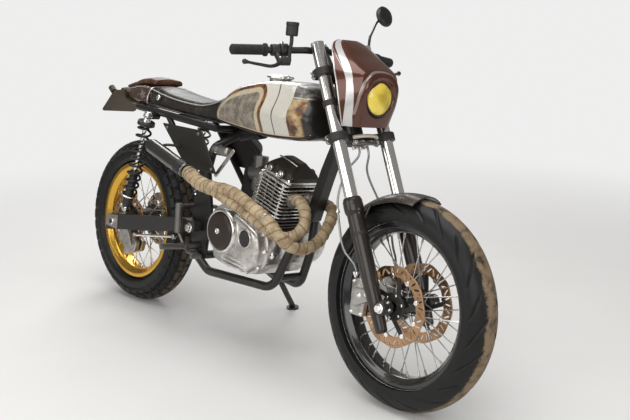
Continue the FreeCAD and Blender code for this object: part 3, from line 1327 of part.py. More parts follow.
def tail_plate():
    """Number plate with its bracket and two small round indicators."""
    down = (PLATE_BOTTOM - PLATE_TOP).normalize()
    back = LEFT.cross(down)
    wide = LEFT * PLATE_HALF_WIDTH
    corners = [PLATE_TOP - wide, PLATE_TOP + wide, PLATE_BOTTOM + wide, PLATE_BOTTOM - wide]
    sheet = Part.Face(rounded_wire(corners, [12.0] * 4, True)).extrude(back * PLATE_THICKNESS)
    rear = rail_line()[0]
    tail = V(rear.x - TAIL_LOOP_REACH - RAIL_RADIUS - SEAT_GAP, 0, rail_top(rear.x) - RAIL_RADIUS)
    joint = PLATE_TOP + down * 40.0 + back * PLATE_THICKNESS / 2
    solids = [sheet, pipe([tail, V(joint.x + 45.0, 0, tail.z + 4.0), joint], 9.0, 60.0)]
    lamp = PLATE_TOP + down * 26.0 + back * (TAIL_LAMP_HALF_DEPTH + PLATE_THICKNESS - 0.5)
    deep, tall = back * TAIL_LAMP_HALF_DEPTH, down * (TAIL_LAMP_HALF_DEPTH - 1.0)
    face = rounded_wire([lamp - deep - tall, lamp + deep - tall, lamp + deep + tall, lamp - deep + tall], [5.0] * 4, True)
    shift = LEFT * TAIL_LAMP_HALF_WIDTH
    box = Part.Face(face).extrude(shift * 2)
    box.translate(-shift)
    solids.append(box)
    bar = PLATE_TOP + down * 18.0 + back * (PLATE_THICKNESS + 3.0)
    solids.append(cross_rod(bar, 5.0, INDICATOR_HALF_SPACING))
    for side in SIDES:
        middle = bar + LEFT * side * INDICATOR_HALF_SPACING
        solids.append(rod(middle - down * 4.0, middle + back * 26.0, INDICATOR_RADIUS))
    return fuse(solids)


# Rear suspension and brake

def swingarm():
    """Two tapered box arms joined at the pivot, with the axle held across their ends."""
    solids = []
    rear_z = REAR_AXLE.z - 10.0
    outline = [(ARM_REAR_END, rear_z - ARM_REAR_HEIGHT / 2), (ARM_REAR_END, rear_z + ARM_REAR_HEIGHT / 2),
               (ARM_FRONT_END, PIVOT_Z + ARM_FRONT_HEIGHT / 2 - 6.0),
               (PIVOT_X + 24.0, PIVOT_Z + 14.0), (PIVOT_X + 24.0, PIVOT_Z - 18.0),
               (ARM_FRONT_END, PIVOT_Z - ARM_FRONT_HEIGHT / 2 - 6.0)]
    for side in SIDES:
        inner = ARM_HALF_SPACING - ARM_THICKNESS / 2
        solids.append(side_plate(outline, 8.0, side, inner, inner + ARM_THICKNESS))
        eye = SHOCK_BOTTOM + LEFT * side * (SHOCK_HALF_SPACING + SHOCK_EYE_WIDTH / 2 + 6)
        solids.append(rod(SHOCK_BOTTOM + LEFT * side * (inner + 2.0), eye, 7.0))
        solids.append(side_plate([(50, 340), (104, 346), (92, 400), (64, 400)], 8.0, side, inner, inner + 8.0))
    solids.append(cross_rod(V(430, 0, 390), 22.0, ARM_HALF_SPACING))
    solids.append(cross_rod(REAR_AXLE, REAR_AXLE_RADIUS, ARM_HALF_SPACING + ARM_THICKNESS / 2 + 12.0))
    return fuse(solids)


def shock_line(side):
    """The upper and lower eye centres of one shock."""
    return SHOCK_TOP + LEFT * side * SHOCK_HALF_SPACING, SHOCK_BOTTOM + LEFT * side * SHOCK_HALF_SPACING


def spring_span():
    """Where the springs' upper and lower seats lie along the shocks."""
    length = (SHOCK_BOTTOM - SHOCK_TOP).Length
    return SPRING_TOP, length - SPRING_FOOT


def shock_bodies():
    """Damper bodies with eyes at both ends and the springs' seats."""
    made = []
    upper, lower = spring_span()
    for side in SIDES:
        top, bottom = shock_line(side)
        down = (bottom - top).normalize()
        length = (bottom - top).Length
        seat = SPRING_RADIUS + 4.0
        profile = [(0.0, 10.0), (upper - SPRING_SEAT_THICKNESS, 12.0), (upper - SPRING_SEAT_THICKNESS, seat)]
        profile += [(upper, seat), (upper, SHOCK_ROD_RADIUS), (length - SHOCK_BODY_LENGTH, SHOCK_ROD_RADIUS)]
        profile += [(length - SHOCK_BODY_LENGTH, SHOCK_BODY_RADIUS), (lower, SHOCK_BODY_RADIUS), (lower, seat)]
        profile += [(lower + SPRING_SEAT_THICKNESS, seat), (lower + SPRING_SEAT_THICKNESS, SHOCK_BODY_RADIUS)]
        profile += [(length - SHOCK_EYE_RADIUS, SHOCK_BODY_RADIUS), (length, 9.0)]
        body = turned_along(top, down, profile)
        eyes = [cross_rod(centre, SHOCK_EYE_RADIUS, SHOCK_EYE_WIDTH / 2) for centre in (top, bottom)]
        bores = [cross_rod(centre, SHOCK_PIN_RADIUS + RUNNING_GAP, SHOCK_EYE_WIDTH) for centre in (top, bottom)]
        made.append(fuse([body] + eyes).cut(group(bores)))
    return group(made)


def shock_springs():
    """The coil springs between the shocks' seats."""
    made = []
    for side in SIDES:
        top, bottom = shock_line(side)
        down = (bottom - top).normalize()
        upper, lower = spring_span()
        start = upper + SPRING_WIRE_RADIUS + SEAT_GAP
        end = lower - SPRING_WIRE_RADIUS - SEAT_GAP
        pitch = (end - start) / SPRING_TURNS
        helix = Part.makeHelix(pitch, end - start, SPRING_RADIUS - SPRING_WIRE_RADIUS)
        profile = []
        for angle in (0, 90, 180, 270):
            turn = math.radians(angle)
            profile.append(V(SPRING_RADIUS - SPRING_WIRE_RADIUS + SPRING_WIRE_RADIUS * math.cos(turn), 0,
                             SPRING_WIRE_RADIUS * math.sin(turn)))
        wire = Part.makePolygon(profile + profile[:1])
        coil = Part.Wire(helix).makePipeShell([wire], True, True)
        coil.Placement = FreeCAD.Placement(top + down * start, FreeCAD.Rotation(UP, down))
        made.append(coil)
    return group(made)


def rear_caliper():
    """The rear caliper under the swingarm, on its torque arm."""
    gap = DISC_THICKNESS / 2 + CALIPER_DISC_GAP
    y = -REAR_DISC_OFFSET
    outline = [(20, 190), (88, 214), (100, 252), (60, 272), (0, 238)]
    body = plate(outline, 8.0, y - 24.0, y + 24.0)
    slot = disc(REAR_AXLE, REAR_DISC_RADIUS + MOVING_GAP, y - gap, y + gap)
    outer = -(ARM_HALF_SPACING - ARM_THICKNESS / 2 - SEAT_GAP)
    hanger = plate([(REAR_AXLE.x - 24, REAR_AXLE.z + 10), (6, 226), (92, 226), (REAR_AXLE.x + 24, REAR_AXLE.z + 18)],
                   10.0, outer, y - 22.0)
    eye = disc(REAR_AXLE, 26.0, outer, y - 26.0)
    bore = cross_rod(REAR_AXLE, REAR_AXLE_RADIUS + RUNNING_GAP, 2 * ARM_HALF_SPACING)
    return fuse([body.cut(slot), hanger, eye]).cut(bore)


def foot_controls():
    """Footpegs, the rear brake's pedal and master cylinder, and the gear lever."""
    made = []
    for side in SIDES:
        peg = rod(V(515.0, side * 152.0, 326.0), V(505.0, side * 262.0, 330.0), 11.0)
        mount = rod(V(515.0, side * (CRADLE_REAR_HALF_WIDTH - CRADLE_RADIUS + 6.0 + SEAT_GAP), 326.0),
                    V(515.0, side * 160.0, 326.0), 15.0)
        solids = [peg, mount]
        toe = V(655.0, side * 205.0, 322.0)
        lever = [V(530.0, side * 168.0, 326.0), V(560.0, side * 184.0, 318.0), toe]
        solids.append(rod(V(515.0, side * 158.0, 326.0), lever[0], 8.0))
        solids.append(pipe(lever, 6.5, 20.0))
        solids.append(rod(toe - LEFT * side * 6.0, toe + LEFT * side * 34.0, 8.0))
        made.append(fuse(solids))
    master = fuse([rod(V(462, -166, 474), V(468, -166, 368), 13.0), rod(V(468, -166, 372), V(502, -166, 336), 5.0),
                   rod(V(474, -166, 466), V(474, -(CRADLE_REAR_HALF_WIDTH - CRADLE_RADIUS + 6.0 + SEAT_GAP), 466), 7.0)])
    made.append(master)
    return group(made)


def stand_directions():
    """The stand's tube when down, when up, and the hinge axis between them."""
    foot = STAND_FOOT + UP * (ground_height(STAND_FOOT.y) + STAND_FOOT_THICKNESS)
    down = (foot - STAND_PIVOT).normalize()
    stowed = V(STAND_STOWED).normalize()
    axis = down.cross(stowed).normalize()
    return foot, down, stowed, axis


def side_stand():
    """The side stand: an eye round its bolt, a bent leg and a flat foot on the ground."""
    foot, down, stowed, axis = stand_directions()
    half = STAND_TUBE_RADIUS + STAND_EYE_EDGE
    eye = rod(STAND_PIVOT - axis * half, STAND_PIVOT + axis * half, STAND_EYE_RADIUS)
    elbow = foot + UP * STAND_ELBOW_LIFT - LEFT * STAND_ELBOW_INSET
    leg = pipe([STAND_PIVOT, elbow, foot], STAND_TUBE_RADIUS, STAND_ELBOW_RADIUS)
    ground = V(STAND_FOOT.x, STAND_FOOT.y, ground_height(STAND_FOOT.y))
    pad = rod(ground, ground + TRUE_UP * STAND_FOOT_THICKNESS, STAND_FOOT_RADIUS)
    whole = fuse([eye, leg, pad])
    return whole.cut(rod(STAND_PIVOT - axis * 2 * half, STAND_PIVOT + axis * 2 * half,
                         STAND_BOLT_RADIUS + STAND_BOLT_GAP))


def stand_bracket():
    """The lug under the left frame tube with the side stand's bolt."""
    axis = stand_directions()[-1]
    near = STAND_TUBE_RADIUS + STAND_EYE_EDGE + SEAT_GAP
    far = STAND_PIVOT - axis * (near + STAND_CHEEK_THICKNESS)
    bolt = rod(far, STAND_PIVOT + axis * (near + 3.0), STAND_BOLT_RADIUS)
    cheek = rod(far, STAND_PIVOT - axis * near, STAND_CHEEK_RADIUS)
    tube_point = V(STAND_PIVOT.x + 20.0, CRADLE_REAR_HALF_WIDTH - 8.0, 290.0)
    arm = rod(far, tube_point, STAND_ARM_RADIUS)
    return fuse([bolt, cheek, arm])


NODES = {
    "main_frame": lambda: fuse([main_frame(), stand_bracket()]),
    "rear_subframe": rear_subframe,
    "engine_cases": engine_cases,
    "engine_covers": engine_covers,
    "cylinder": cylinder,
    "head_cover": head_cover,
    "carburettor": carburettor,
    "exhaust_pipes": exhaust_pipes,
    "muffler": muffler,
    "fuel_tank": fuel_tank,
    "filler_cap": filler_cap,
    "seat": seat,
    "seat_hump": seat_hump,
    "side_panels": side_panels,
    "tail_plate": tail_plate,
    "swingarm": swingarm,
    "shock_bodies": shock_bodies,
    "shock_springs": shock_springs,
    "rear_caliper": rear_caliper,
    "foot_controls": foot_controls,
    "drive_chain": drive_chain,
    "side_stand": side_stand,
    "triple_clamps": triple_clamps,
    "fork_tubes": fork_tubes,
    "fork_sliders": fork_sliders,
    "handlebar": handlebar,
    "grips": grips,
    "brake_control": lambda: lever_set(RIGHT_SIDE, True),
    "clutch_control": lambda: lever_set(LEFT_SIDE, False),
    "mirror": mirror,
    "fairing": fairing,
    "headlamp": headlamp,
    "front_fender": front_fender,
    "front_calipers": front_calipers,
    "front_brake_hoses": front_brake_hoses,
    "front_tyre": lambda: tyre(FRONT_AXLE, FRONT_TYRE_RADIUS, FRONT_TYRE_HALF_WIDTH,
                               FRONT_RIM_SEAT_RADIUS, FRONT_RIM_HALF_WIDTH),
    "front_rim": lambda: rim(FRONT_AXLE, FRONT_RIM_SEAT_RADIUS, FRONT_RIM_HALF_WIDTH),
    "front_hub": lambda: spoked_hub(FRONT_AXLE, FRONT_HUB_CORE_RADIUS, FRONT_HUB_FLANGE_RADIUS,
                                    FRONT_HUB_HALF_WIDTH, FRONT_RIM_SEAT_RADIUS, FRONT_AXLE_RADIUS),
    "front_discs": front_discs,
    "rear_tyre": lambda: lugged_tyre(REAR_AXLE),
    "rear_rim": lambda: rim(REAR_AXLE, REAR_RIM_SEAT_RADIUS, REAR_RIM_HALF_WIDTH),
    "rear_hub": lambda: spoked_hub(REAR_AXLE, REAR_HUB_CORE_RADIUS, REAR_HUB_FLANGE_RADIUS,
                                   REAR_HUB_HALF_WIDTH, REAR_RIM_SEAT_RADIUS, REAR_AXLE_RADIUS),
    "rear_disc": rear_disc,
    "rear_sprocket": rear_sprocket,
}


def main():
    """Makes every node, leans the machine on its stand and writes one file per node."""
    os.makedirs("parts", exist_ok=True)
    shapes = {name: make() for name, make in NODES.items()}
    tilt = FreeCAD.Placement(V(0, 0, 0), FreeCAD.Rotation(FORWARD, -LEAN_ANGLE))
    for shape in shapes.values():
        shape.Placement = tilt.multiply(shape.Placement)
    box = FreeCAD.BoundBox()
    for shape in shapes.values():
        box.add(shape.optimalBoundingBox(False))
    shift = V(-box.Center.x, -box.Center.y, -box.ZMin)
    move = FreeCAD.Placement(shift, FreeCAD.Rotation())
    for name, shape in shapes.items():
        shape.Placement = move.multiply(shape.Placement)
        shape.exportStep(os.path.join("parts", name + ".step"))
        solids = shape.Solids
        print(name, len(solids), "solids", round(sum(solid.Volume for solid in solids) / 1000.0), "cm3",
              "valid" if shape.isValid() else "NOT VALID")
    print("size", round(box.XLength, 1), round(box.YLength, 1), round(box.ZLength, 1))
    print("shift", round(shift.x, 3), round(shift.y, 3), round(shift.z, 3))
    place = move.multiply(tilt)
    for label, point in (("front axle", FRONT_AXLE), ("rear axle", REAR_AXLE), ("steering", STEERING_FOOT),
                         ("stand pivot", STAND_PIVOT), ("cap hinge", cap_hinge())):
        at = place.multVec(point)
        print(label, round(at.x, 4), round(at.y, 4), round(at.z, 4))


main()
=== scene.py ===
import json
import logging
import math
from dataclasses import dataclass
from enum import Enum
from typing import Callable, Protocol

import bmesh
import bpy
import numpy as np
from mathutils import Matrix, Vector


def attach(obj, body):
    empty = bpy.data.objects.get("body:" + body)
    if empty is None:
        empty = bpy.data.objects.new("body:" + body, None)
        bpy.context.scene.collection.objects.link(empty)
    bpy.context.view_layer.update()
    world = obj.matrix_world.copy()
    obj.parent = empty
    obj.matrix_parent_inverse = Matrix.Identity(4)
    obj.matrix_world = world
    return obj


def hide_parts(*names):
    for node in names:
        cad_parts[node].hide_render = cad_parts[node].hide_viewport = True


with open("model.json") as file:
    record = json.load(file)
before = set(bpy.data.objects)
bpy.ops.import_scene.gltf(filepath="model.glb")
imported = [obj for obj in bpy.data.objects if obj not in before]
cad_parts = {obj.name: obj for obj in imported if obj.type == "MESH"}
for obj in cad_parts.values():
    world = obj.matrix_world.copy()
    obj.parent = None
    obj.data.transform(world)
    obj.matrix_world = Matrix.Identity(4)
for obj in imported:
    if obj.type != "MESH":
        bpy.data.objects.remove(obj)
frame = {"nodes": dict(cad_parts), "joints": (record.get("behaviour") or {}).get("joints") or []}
LOG = logging.getLogger("motorcycle")
Array = np.ndarray

# The rear axle's height in the upright machine, in millimetres, as in the part's source.
REAR_AXLE_HEIGHT = 322.06
FORWARD = np.array([1.0, 0.0, 0.0])
LEFT = np.array([0.0, 1.0, 0.0])
UP = np.array([0.0, 0.0, 1.0])
RIGHT_SIDE = -1
LEFT_SIDE = 1
SIDES = (RIGHT_SIDE, LEFT_SIDE)
RAKE = math.radians(26.0)
FORK_UP = np.array([-math.sin(RAKE), 0.0, math.cos(RAKE)])
FORK_AHEAD = np.array([math.cos(RAKE), 0.0, math.sin(RAKE)])
FRONT_AXLE = np.array([1450.0, 0.0, 328.0])
REAR_AXLE = np.array([0.0, 0.0, REAR_AXLE_HEIGHT])
STEERING_FOOT = FRONT_AXLE - FORK_AHEAD * 59.6


class Body(Enum):
    """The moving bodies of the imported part."""

    CHASSIS = "chassis"
    STEERING = "steering"
    FRONT_WHEEL = "front_wheel"
    REAR_WHEEL = "rear_wheel"
    SIDE_STAND = "side_stand"
    FILLER_CAP = "filler_cap"


@dataclass(frozen=True)
class UprightFrame:
    """Axes of the upright machine, in millimetres from the ground under the rear axle."""

    origin: Array
    lateral: Array
    upward: Array

    @classmethod
    def from_joints(cls, joints: list[dict]) -> "UprightFrame":
        """Reads the leaning machine's axes from the rear wheel's joint.

        Args:
            joints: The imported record's joints.

        Returns:
            The frame whose origin is on the ground line under the rear axle.
        """
        joint = next(j for j in joints if j["child"] == Body.REAR_WHEEL.value)
        lateral = np.array(joint["axis"], float)
        lateral /= np.linalg.norm(lateral)
        upward = np.cross(FORWARD, lateral)
        origin = np.array(joint["pos_m"], float) - upward * REAR_AXLE_HEIGHT / 1000.0
        return cls(origin, lateral, upward)

    def place(self, points: Array) -> Array:
        """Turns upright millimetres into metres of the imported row: origin + x F + y L + z U."""
        points = np.asarray(points, float) / 1000.0
        return (self.origin + points[..., :1] * FORWARD + points[..., 1:2] * self.lateral
                + points[..., 2:3] * self.upward)

    def upright(self, points: Array) -> Array:
        """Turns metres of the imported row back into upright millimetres."""
        away = (np.asarray(points, float) - self.origin) * 1000.0
        return np.stack([away @ FORWARD, away @ self.lateral, away @ self.upward], axis=-1)

    def lean(self) -> float:
        """The machine's lean about the forward axis, in radians."""
        return math.atan2(self.lateral[2], self.lateral[1])


UPRIGHT = UprightFrame.from_joints(frame["joints"])


def fork_point(height: float, ahead: float, across: float) -> Array:
    """A point given along the steering axis, ahead of it and beside it."""
    return STEERING_FOOT + FORK_UP * height + FORK_AHEAD * ahead + LEFT * across


# Surfaces


def unit(vectors: Array) -> Array:
    """Vectors divided by their length."""
    return vectors / np.maximum(np.linalg.norm(vectors, axis=-1, keepdims=True), 1e-12)


def spline(knots: Array, values: Array, at: Array) -> Array:
    """A Catmull-Rom curve through values at rising knots.

    Each span is the cubic with the neighbouring differences as its end slopes.

    Args:
        knots: Rising parameter values.
        values: One row per knot.
        at: Parameters to evaluate.

    Returns:
        One row per parameter.
    """
    knots = np.asarray(knots, float)
    values = np.asarray(values, float)
    flat = values.ndim == 1
    values = values[:, None] if flat else values
    slopes = np.gradient(values, knots, axis=0)
    index = np.clip(np.searchsorted(knots, at, side="right") - 1, 0, len(knots) - 2)
    width = knots[index + 1] - knots[index]
    t = ((at - knots[index]) / width)[:, None]
    a, b = values[index], values[index + 1]
    m, n = slopes[index] * width[:, None], slopes[index + 1] * width[:, None]
    out = ((2 * t**3 - 3 * t**2 + 1) * a + (t**3 - 2 * t**2 + t) * m
           + (3 * t**2 - 2 * t**3) * b + (t**3 - t**2) * n)
    return out[:, 0] if flat else out


def along_path(points: Array, count: int) -> Array:
    """Evenly numbered points on a smooth curve through a route, by chord length."""
    points = np.asarray(points, float)
    knots = np.concatenate([[0.0], np.cumsum(np.linalg.norm(np.diff(points, axis=0), axis=1))])
    return spline(knots, points, np.linspace(0.0, knots[-1], count))


def rounded_route(points: Array, radius: float, count: int) -> Array:
    """A route of straight runs whose corners are softened: even resampling, then a moving average.

    Args:
        points: Corners of the route.
        radius: About how far the softening reaches from a corner.
        count: Number of points returned.
    """
    points = np.asarray(points, float)
    knots = np.concatenate([[0.0], np.cumsum(np.linalg.norm(np.diff(points, axis=0), axis=1))])
    fine = np.linspace(0.0, knots[-1], 400)
    dense = np.stack([np.interp(fine, knots, points[:, k]) for k in range(3)], axis=1)
    half = max(1, int(radius / knots[-1] * 400))
    padded = np.concatenate([2 * dense[:1] - dense[half:0:-1], dense,
                             2 * dense[-1:] - dense[-2:-half - 2:-1]])
    total = np.cumsum(np.concatenate([np.zeros((1, 3)), padded]), axis=0)
    smooth = (total[2 * half + 1:] - total[:-2 * half - 1]) / (2 * half + 1)
    return along_path(smooth[np.linspace(0, len(smooth) - 1, min(count, 100)).astype(int)], count)


def rounded_loop(corners: Array, radius: float, count: int) -> Array:
    """A closed outline whose corners are softened by a moving average along its length."""
    corners = np.asarray(corners, float)
    closed = np.concatenate([corners, corners[:1]])
    knots = np.concatenate([[0.0], np.cumsum(np.linalg.norm(np.diff(closed, axis=0), axis=1))])
    fine = np.linspace(0.0, knots[-1], 721)[:-1]
    dense = np.stack([np.interp(fine, knots, closed[:, k]) for k in range(closed.shape[1])], axis=1)
    half = max(1, int(radius / knots[-1] * 720))
    kernel = np.zeros(720)
    kernel[:half + 1] = 1.0
    kernel[-half:] = 1.0
    spectrum = np.fft.fft(kernel / kernel.sum())[:, None]
    smooth = np.real(np.fft.ifft(np.fft.fft(dense, axis=0) * spectrum, axis=0))
    return smooth[(np.arange(count) * 720 / count).astype(int)]


@dataclass
class Surface:
    """A grid of points (u, v, 3) in upright millimetres, with its closing and its own coordinates."""

    points: Array
    wrap_u: bool = False
    wrap_v: bool = False
    cap_ends: bool = False
    uv: Array | None = None
    finish: Array | int = 0

    def faces(self) -> Array:
        """Corner numbers of the grid's quads."""
        rows, columns = self.points.shape[:2]
        u = np.arange(rows if self.wrap_u else rows - 1)
        v = np.arange(columns if self.wrap_v else columns - 1)
        a, b = np.meshgrid(u, v, indexing="ij")
        c, d = (a + 1) % rows, (b + 1) % columns
        return np.stack([a * columns + b, c * columns + b, c * columns + d, a * columns + d],
                        axis=-1).reshape(-1, 4)

    def coordinates(self) -> Array:
        """The surface's own coordinates (u, v, 2): distance along the first row and share across."""
        if self.uv is not None:
            return self.uv
        rows, columns = self.points.shape[:2]
        return np.stack(np.meshgrid(np.linspace(0, 1, rows), np.linspace(0, 1, columns), indexing="ij"),
                        axis=-1)

    def parts(self) -> tuple[Array, list, Array, list]:
        """The points, the faces' corners, a coordinate for every corner and a finish for every face.

        Where the grid wraps, the last column's quads end at coordinate 1.
        """
        rows, columns = self.points.shape[:2]
        quads = self.faces()
        flat = self.coordinates().reshape(-1, 2)
        corner_uv = flat[quads]
        if self.wrap_v:
            late = quads % columns == columns - 1
            closing = late.any(axis=1)[:, None] & (quads % columns == 0)
            corner_uv[..., 1] = np.where(closing, 1.0, corner_uv[..., 1])
            corner_uv[..., 1] = np.where(late, 1.0 - 1.0 / columns, corner_uv[..., 1])
        faces, uvs = quads.tolist(), [corner_uv.reshape(-1, 2)]
        marks = np.broadcast_to(self.finish, (len(quads),)).tolist()
        if self.cap_ends:
            first = np.arange(columns)
            last = first + (rows - 1) * columns
            faces += [first[::-1].tolist(), last.tolist()]
            uvs.append(np.concatenate([flat[:columns][::-1], flat[-columns:]]))
            marks += [int(np.ravel(self.finish)[0]), int(np.ravel(self.finish)[-1])]
        return self.points.reshape(-1, 3), faces, np.concatenate(uvs), marks


def revolve(centre: Array, axis: Array, profile: Array, count: int = 64, finish: int = 0) -> Surface:
    """A profile of (distance along the axis, radius) turned once about the axis.

    The point at angle a is centre + d axis + r (cos a P + sin a Q), with P and Q square to the axis.
    """
    axis = unit(np.asarray(axis, float))
    across = unit(np.cross(axis, UP if abs(axis[2]) < 0.9 else FORWARD))
    other = np.cross(axis, across)
    profile = np.asarray(profile, float)
    angle = np.linspace(0, 2 * np.pi, count, endpoint=False)
    ring = np.cos(angle)[None, :, None] * across + np.sin(angle)[None, :, None] * other
    points = np.asarray(centre, float) + profile[:, None, :1] * axis + profile[:, None, 1:2] * ring
    return Surface(points, wrap_v=True, finish=finish)


def softened(profile: list[tuple[float, float]], radius: float, count: int = 60) -> Array:
    """A turned piece's profile with its corners softened."""
    flat = np.asarray(profile, float)
    deep = np.concatenate([flat, np.zeros((len(flat), 1))], axis=1)
    return rounded_route(deep, radius, count)[:, :2]


def turned(centre: Array, axis: Array, profile: list[tuple[float, float]], soft: float, rows: int,
           count: int = 64, finish: int = 0) -> Surface:
    """A softened profile turned once about an axis."""
    return revolve(centre, axis, softened(profile, soft, rows), count, finish)


def tube(path: Array, radius: Array | float, count: int = 16, finish: int = 0, closed: bool = False,
         flatten: float = 1.0) -> Surface:
    """A round skin along a path: path + r (cos a N + sin a B), with N and B square to the tangent.

    Args:
        path: Points along the middle.
        radius: One radius or one per point.
        count: Points round the tube.
        finish: Index of the finish.
        closed: Whether the path is a loop.
        flatten: Share of the radius along B.
    """
    path = np.asarray(path, float)
    if closed:
        tangent = unit(np.roll(path, -1, 0) - np.roll(path, 1, 0))
    else:
        tangent = unit(np.gradient(path, axis=0))
    spread = np.ptp(tangent, axis=0)
    reference = np.eye(3)[int(np.argmin(np.abs(tangent).max(axis=0) + 0.01 * spread))]
    normal = unit(np.cross(tangent, reference))
    binormal = np.cross(tangent, normal)
    angle = np.linspace(0, 2 * np.pi, count, endpoint=False)
    size = np.broadcast_to(np.asarray(radius, float), (len(path),))[:, None, None]
    points = path[:, None] + size * (np.cos(angle)[None, :, None] * normal[:, None]
                                     + flatten * np.sin(angle)[None, :, None] * binormal[:, None])
    length = np.concatenate([[0.0], np.cumsum(np.linalg.norm(np.diff(path, axis=0), axis=1))]) / 1000.0
    uv = np.stack(np.meshgrid(length, np.arange(count) / count, indexing="ij"), axis=-1)
    return Surface(points, wrap_u=closed, wrap_v=True, cap_ends=not closed, uv=uv, finish=finish)


def rod(start: Array, end: Array, radius: Array | float, *rest: int, **more: float) -> Surface:
    """A straight tube; the rest goes to tube."""
    return tube(np.stack([start, end]), radius, *rest, **more)


def polar(angle: float) -> Array:
    """The unit vector at an angle."""
    return np.array([math.cos(angle), math.sin(angle)])


def wire(route: Array | list | tuple, steps: int, radius: Array | float, *rest: int,
         **more: float) -> Surface:
    """A tube along the smooth path through a few points; the rest goes to tube."""
    return tube(along_path(np.array(route, float), steps), radius, *rest, **more)


def around(centre: Array, outline: tuple | list) -> list[tuple[float, float]]:
    """A side outline given from a centre, as x and z."""
    return [(centre[0] + x, centre[2] + z) for x, z in outline]


def ball_ended(start: Array, end: Array, radius: float, count: int = 16, finish: int = 0) -> Surface:
    """A straight bar with softened ends."""
    axis = np.asarray(end, float) - np.asarray(start, float)
    length = float(np.linalg.norm(axis))
    edge = min(radius * 0.3, length * 0.2)
    profile = [(0, 0), (0, radius - edge), (edge, radius), (length - edge, radius), (length, radius - edge),
               (length, 0)]
    return revolve(start, axis, profile, count, finish)


def pillow(outline: Array, base: Array, normal: Array, across: Array, depth: float, edge: float,
           finish: int = 0, dome: float = 0.0) -> Surface:
    """A plate whose rim is rounded: rings of the outline shrink by e (1 - cos t) and rise by e sin t.

    Args:
        outline: Closed outline (n, 2) in the plate's plane.
        base: Where the outline's origin lies.
        normal: Direction in which the plate rises.
        across: The outline's first axis.
        depth: Height of the plate.
        edge: Radius of the rim.
        finish: Index of the finish.
        dome: Extra height towards the middle.
    """
    outline = np.asarray(outline, float)
    normal, across = unit(np.asarray(normal, float)), unit(np.asarray(across, float))
    second = np.cross(normal, across)
    tangent = unit(np.roll(outline, -1, 0) - np.roll(outline, 1, 0))
    inward = np.stack([-tangent[:, 1], tangent[:, 0]], axis=1)
    shifted = np.roll(outline, -1, 0)
    area = float(np.sum(outline[:, 0] * shifted[:, 1] - outline[:, 1] * shifted[:, 0]))
    inward = inward if area > 0 else -inward
    turn = np.linspace(0, np.pi / 2, 6)
    shrink = np.concatenate([[0.0], edge * (1 - np.cos(turn))])
    height = np.concatenate([[0.0], depth - edge + edge * np.sin(turn)])
    rings = outline[None] + shrink[:, None, None] * inward[None]
    middle = rings[-1].mean(axis=0)
    share = np.array([0.85, 0.6, 0.3, 0.02])
    inner = middle + share[:, None, None] * (rings[-1] - middle)
    rings = np.concatenate([rings, inner])
    height = np.concatenate([height, depth + dome * (1 - share**2)])
    points = (np.asarray(base, float) + rings[..., :1] * across + rings[..., 1:2] * second
              + height[:, None, None] * normal)
    return Surface(points, wrap_v=True, cap_ends=True, finish=finish)


def side_outline(points: list[tuple[float, float]], radius: float, count: int = 96) -> Array:
    """A softened outline seen from the side, in X and Z."""
    return rounded_loop(np.asarray(points, float), radius, count)


def side_cover(outline: Array, side: int, inner: float, depth: float, edge: float, finish: int = 0,
               dome: float = 0.0) -> Surface:
    """A rounded plate seen from the side that rises away from the middle plane."""
    flat = outline * np.array([1.0, -side])
    return pillow(flat, LEFT * side * inner, LEFT * side, FORWARD, depth, edge, finish, dome)


def rounded_ends(first: float, last: float, radius: float, rows: int) -> tuple[Array, Array]:
    """Stations from first to last whose ends are rounded off.

    Over each end's last stretch the station is R (1 - cos t) inwards and the inset is R (1 - sin t).

    Returns:
        The stations, and how far each ring is pulled towards its middle.
    """
    turn = np.linspace(0, np.pi / 2, 10)
    run, inset = radius * (1 - np.cos(turn)), radius * (1 - np.sin(turn))
    middle = np.linspace(first + radius, last - radius, rows - 18)[1:-1]
    x = np.concatenate([first + run, middle, last - run[::-1]])
    return x, np.concatenate([inset, np.zeros(len(middle)), inset[::-1]])


def pulled_in(points: Array, inset: Array) -> Array:
    """Rings moved towards their middle by an inset each."""
    middle = points.mean(axis=1, keepdims=True)
    return points - unit(points - middle) * np.asarray(inset, float)[:, None, None]


def hexagon(base: Array, normal: Array, radius: float, depth: float,
            finish: int = 0) -> tuple[Surface, Surface]:
    """A bolt's head: a washer and a bevelled hexagon on it."""
    washer = revolve(base, normal,
                     [(-3.0, 0), (-3.0, radius * 1.2), (1.0, radius * 1.2), (1.4, radius), (1.4, 0)], 24,
                     finish)
    head = revolve(base, normal, [(0, radius), (depth * 0.8, radius), (depth, radius * 0.82), (depth, 0)],
                   6, finish)
    return washer, head


def ball(radius: float) -> Array:
    """A ball's profile: distance R sin t and radius R cos t."""
    turn = np.linspace(-np.pi / 2, np.pi / 2, 17)
    return np.stack([radius * np.sin(turn), radius * np.cos(turn)], axis=1)


@dataclass
class Facets:
    """Loose points and faces in upright millimetres."""

    points: Array
    corners: list
    finish: int = 0

    def parts(self) -> tuple[Array, list, Array, list]:
        """The points, the faces' corners, a coordinate for every corner and a finish for every face."""
        corner_count = sum(map(len, self.corners))
        return self.points, self.corners, np.zeros((corner_count, 2)), [self.finish] * len(self.corners)


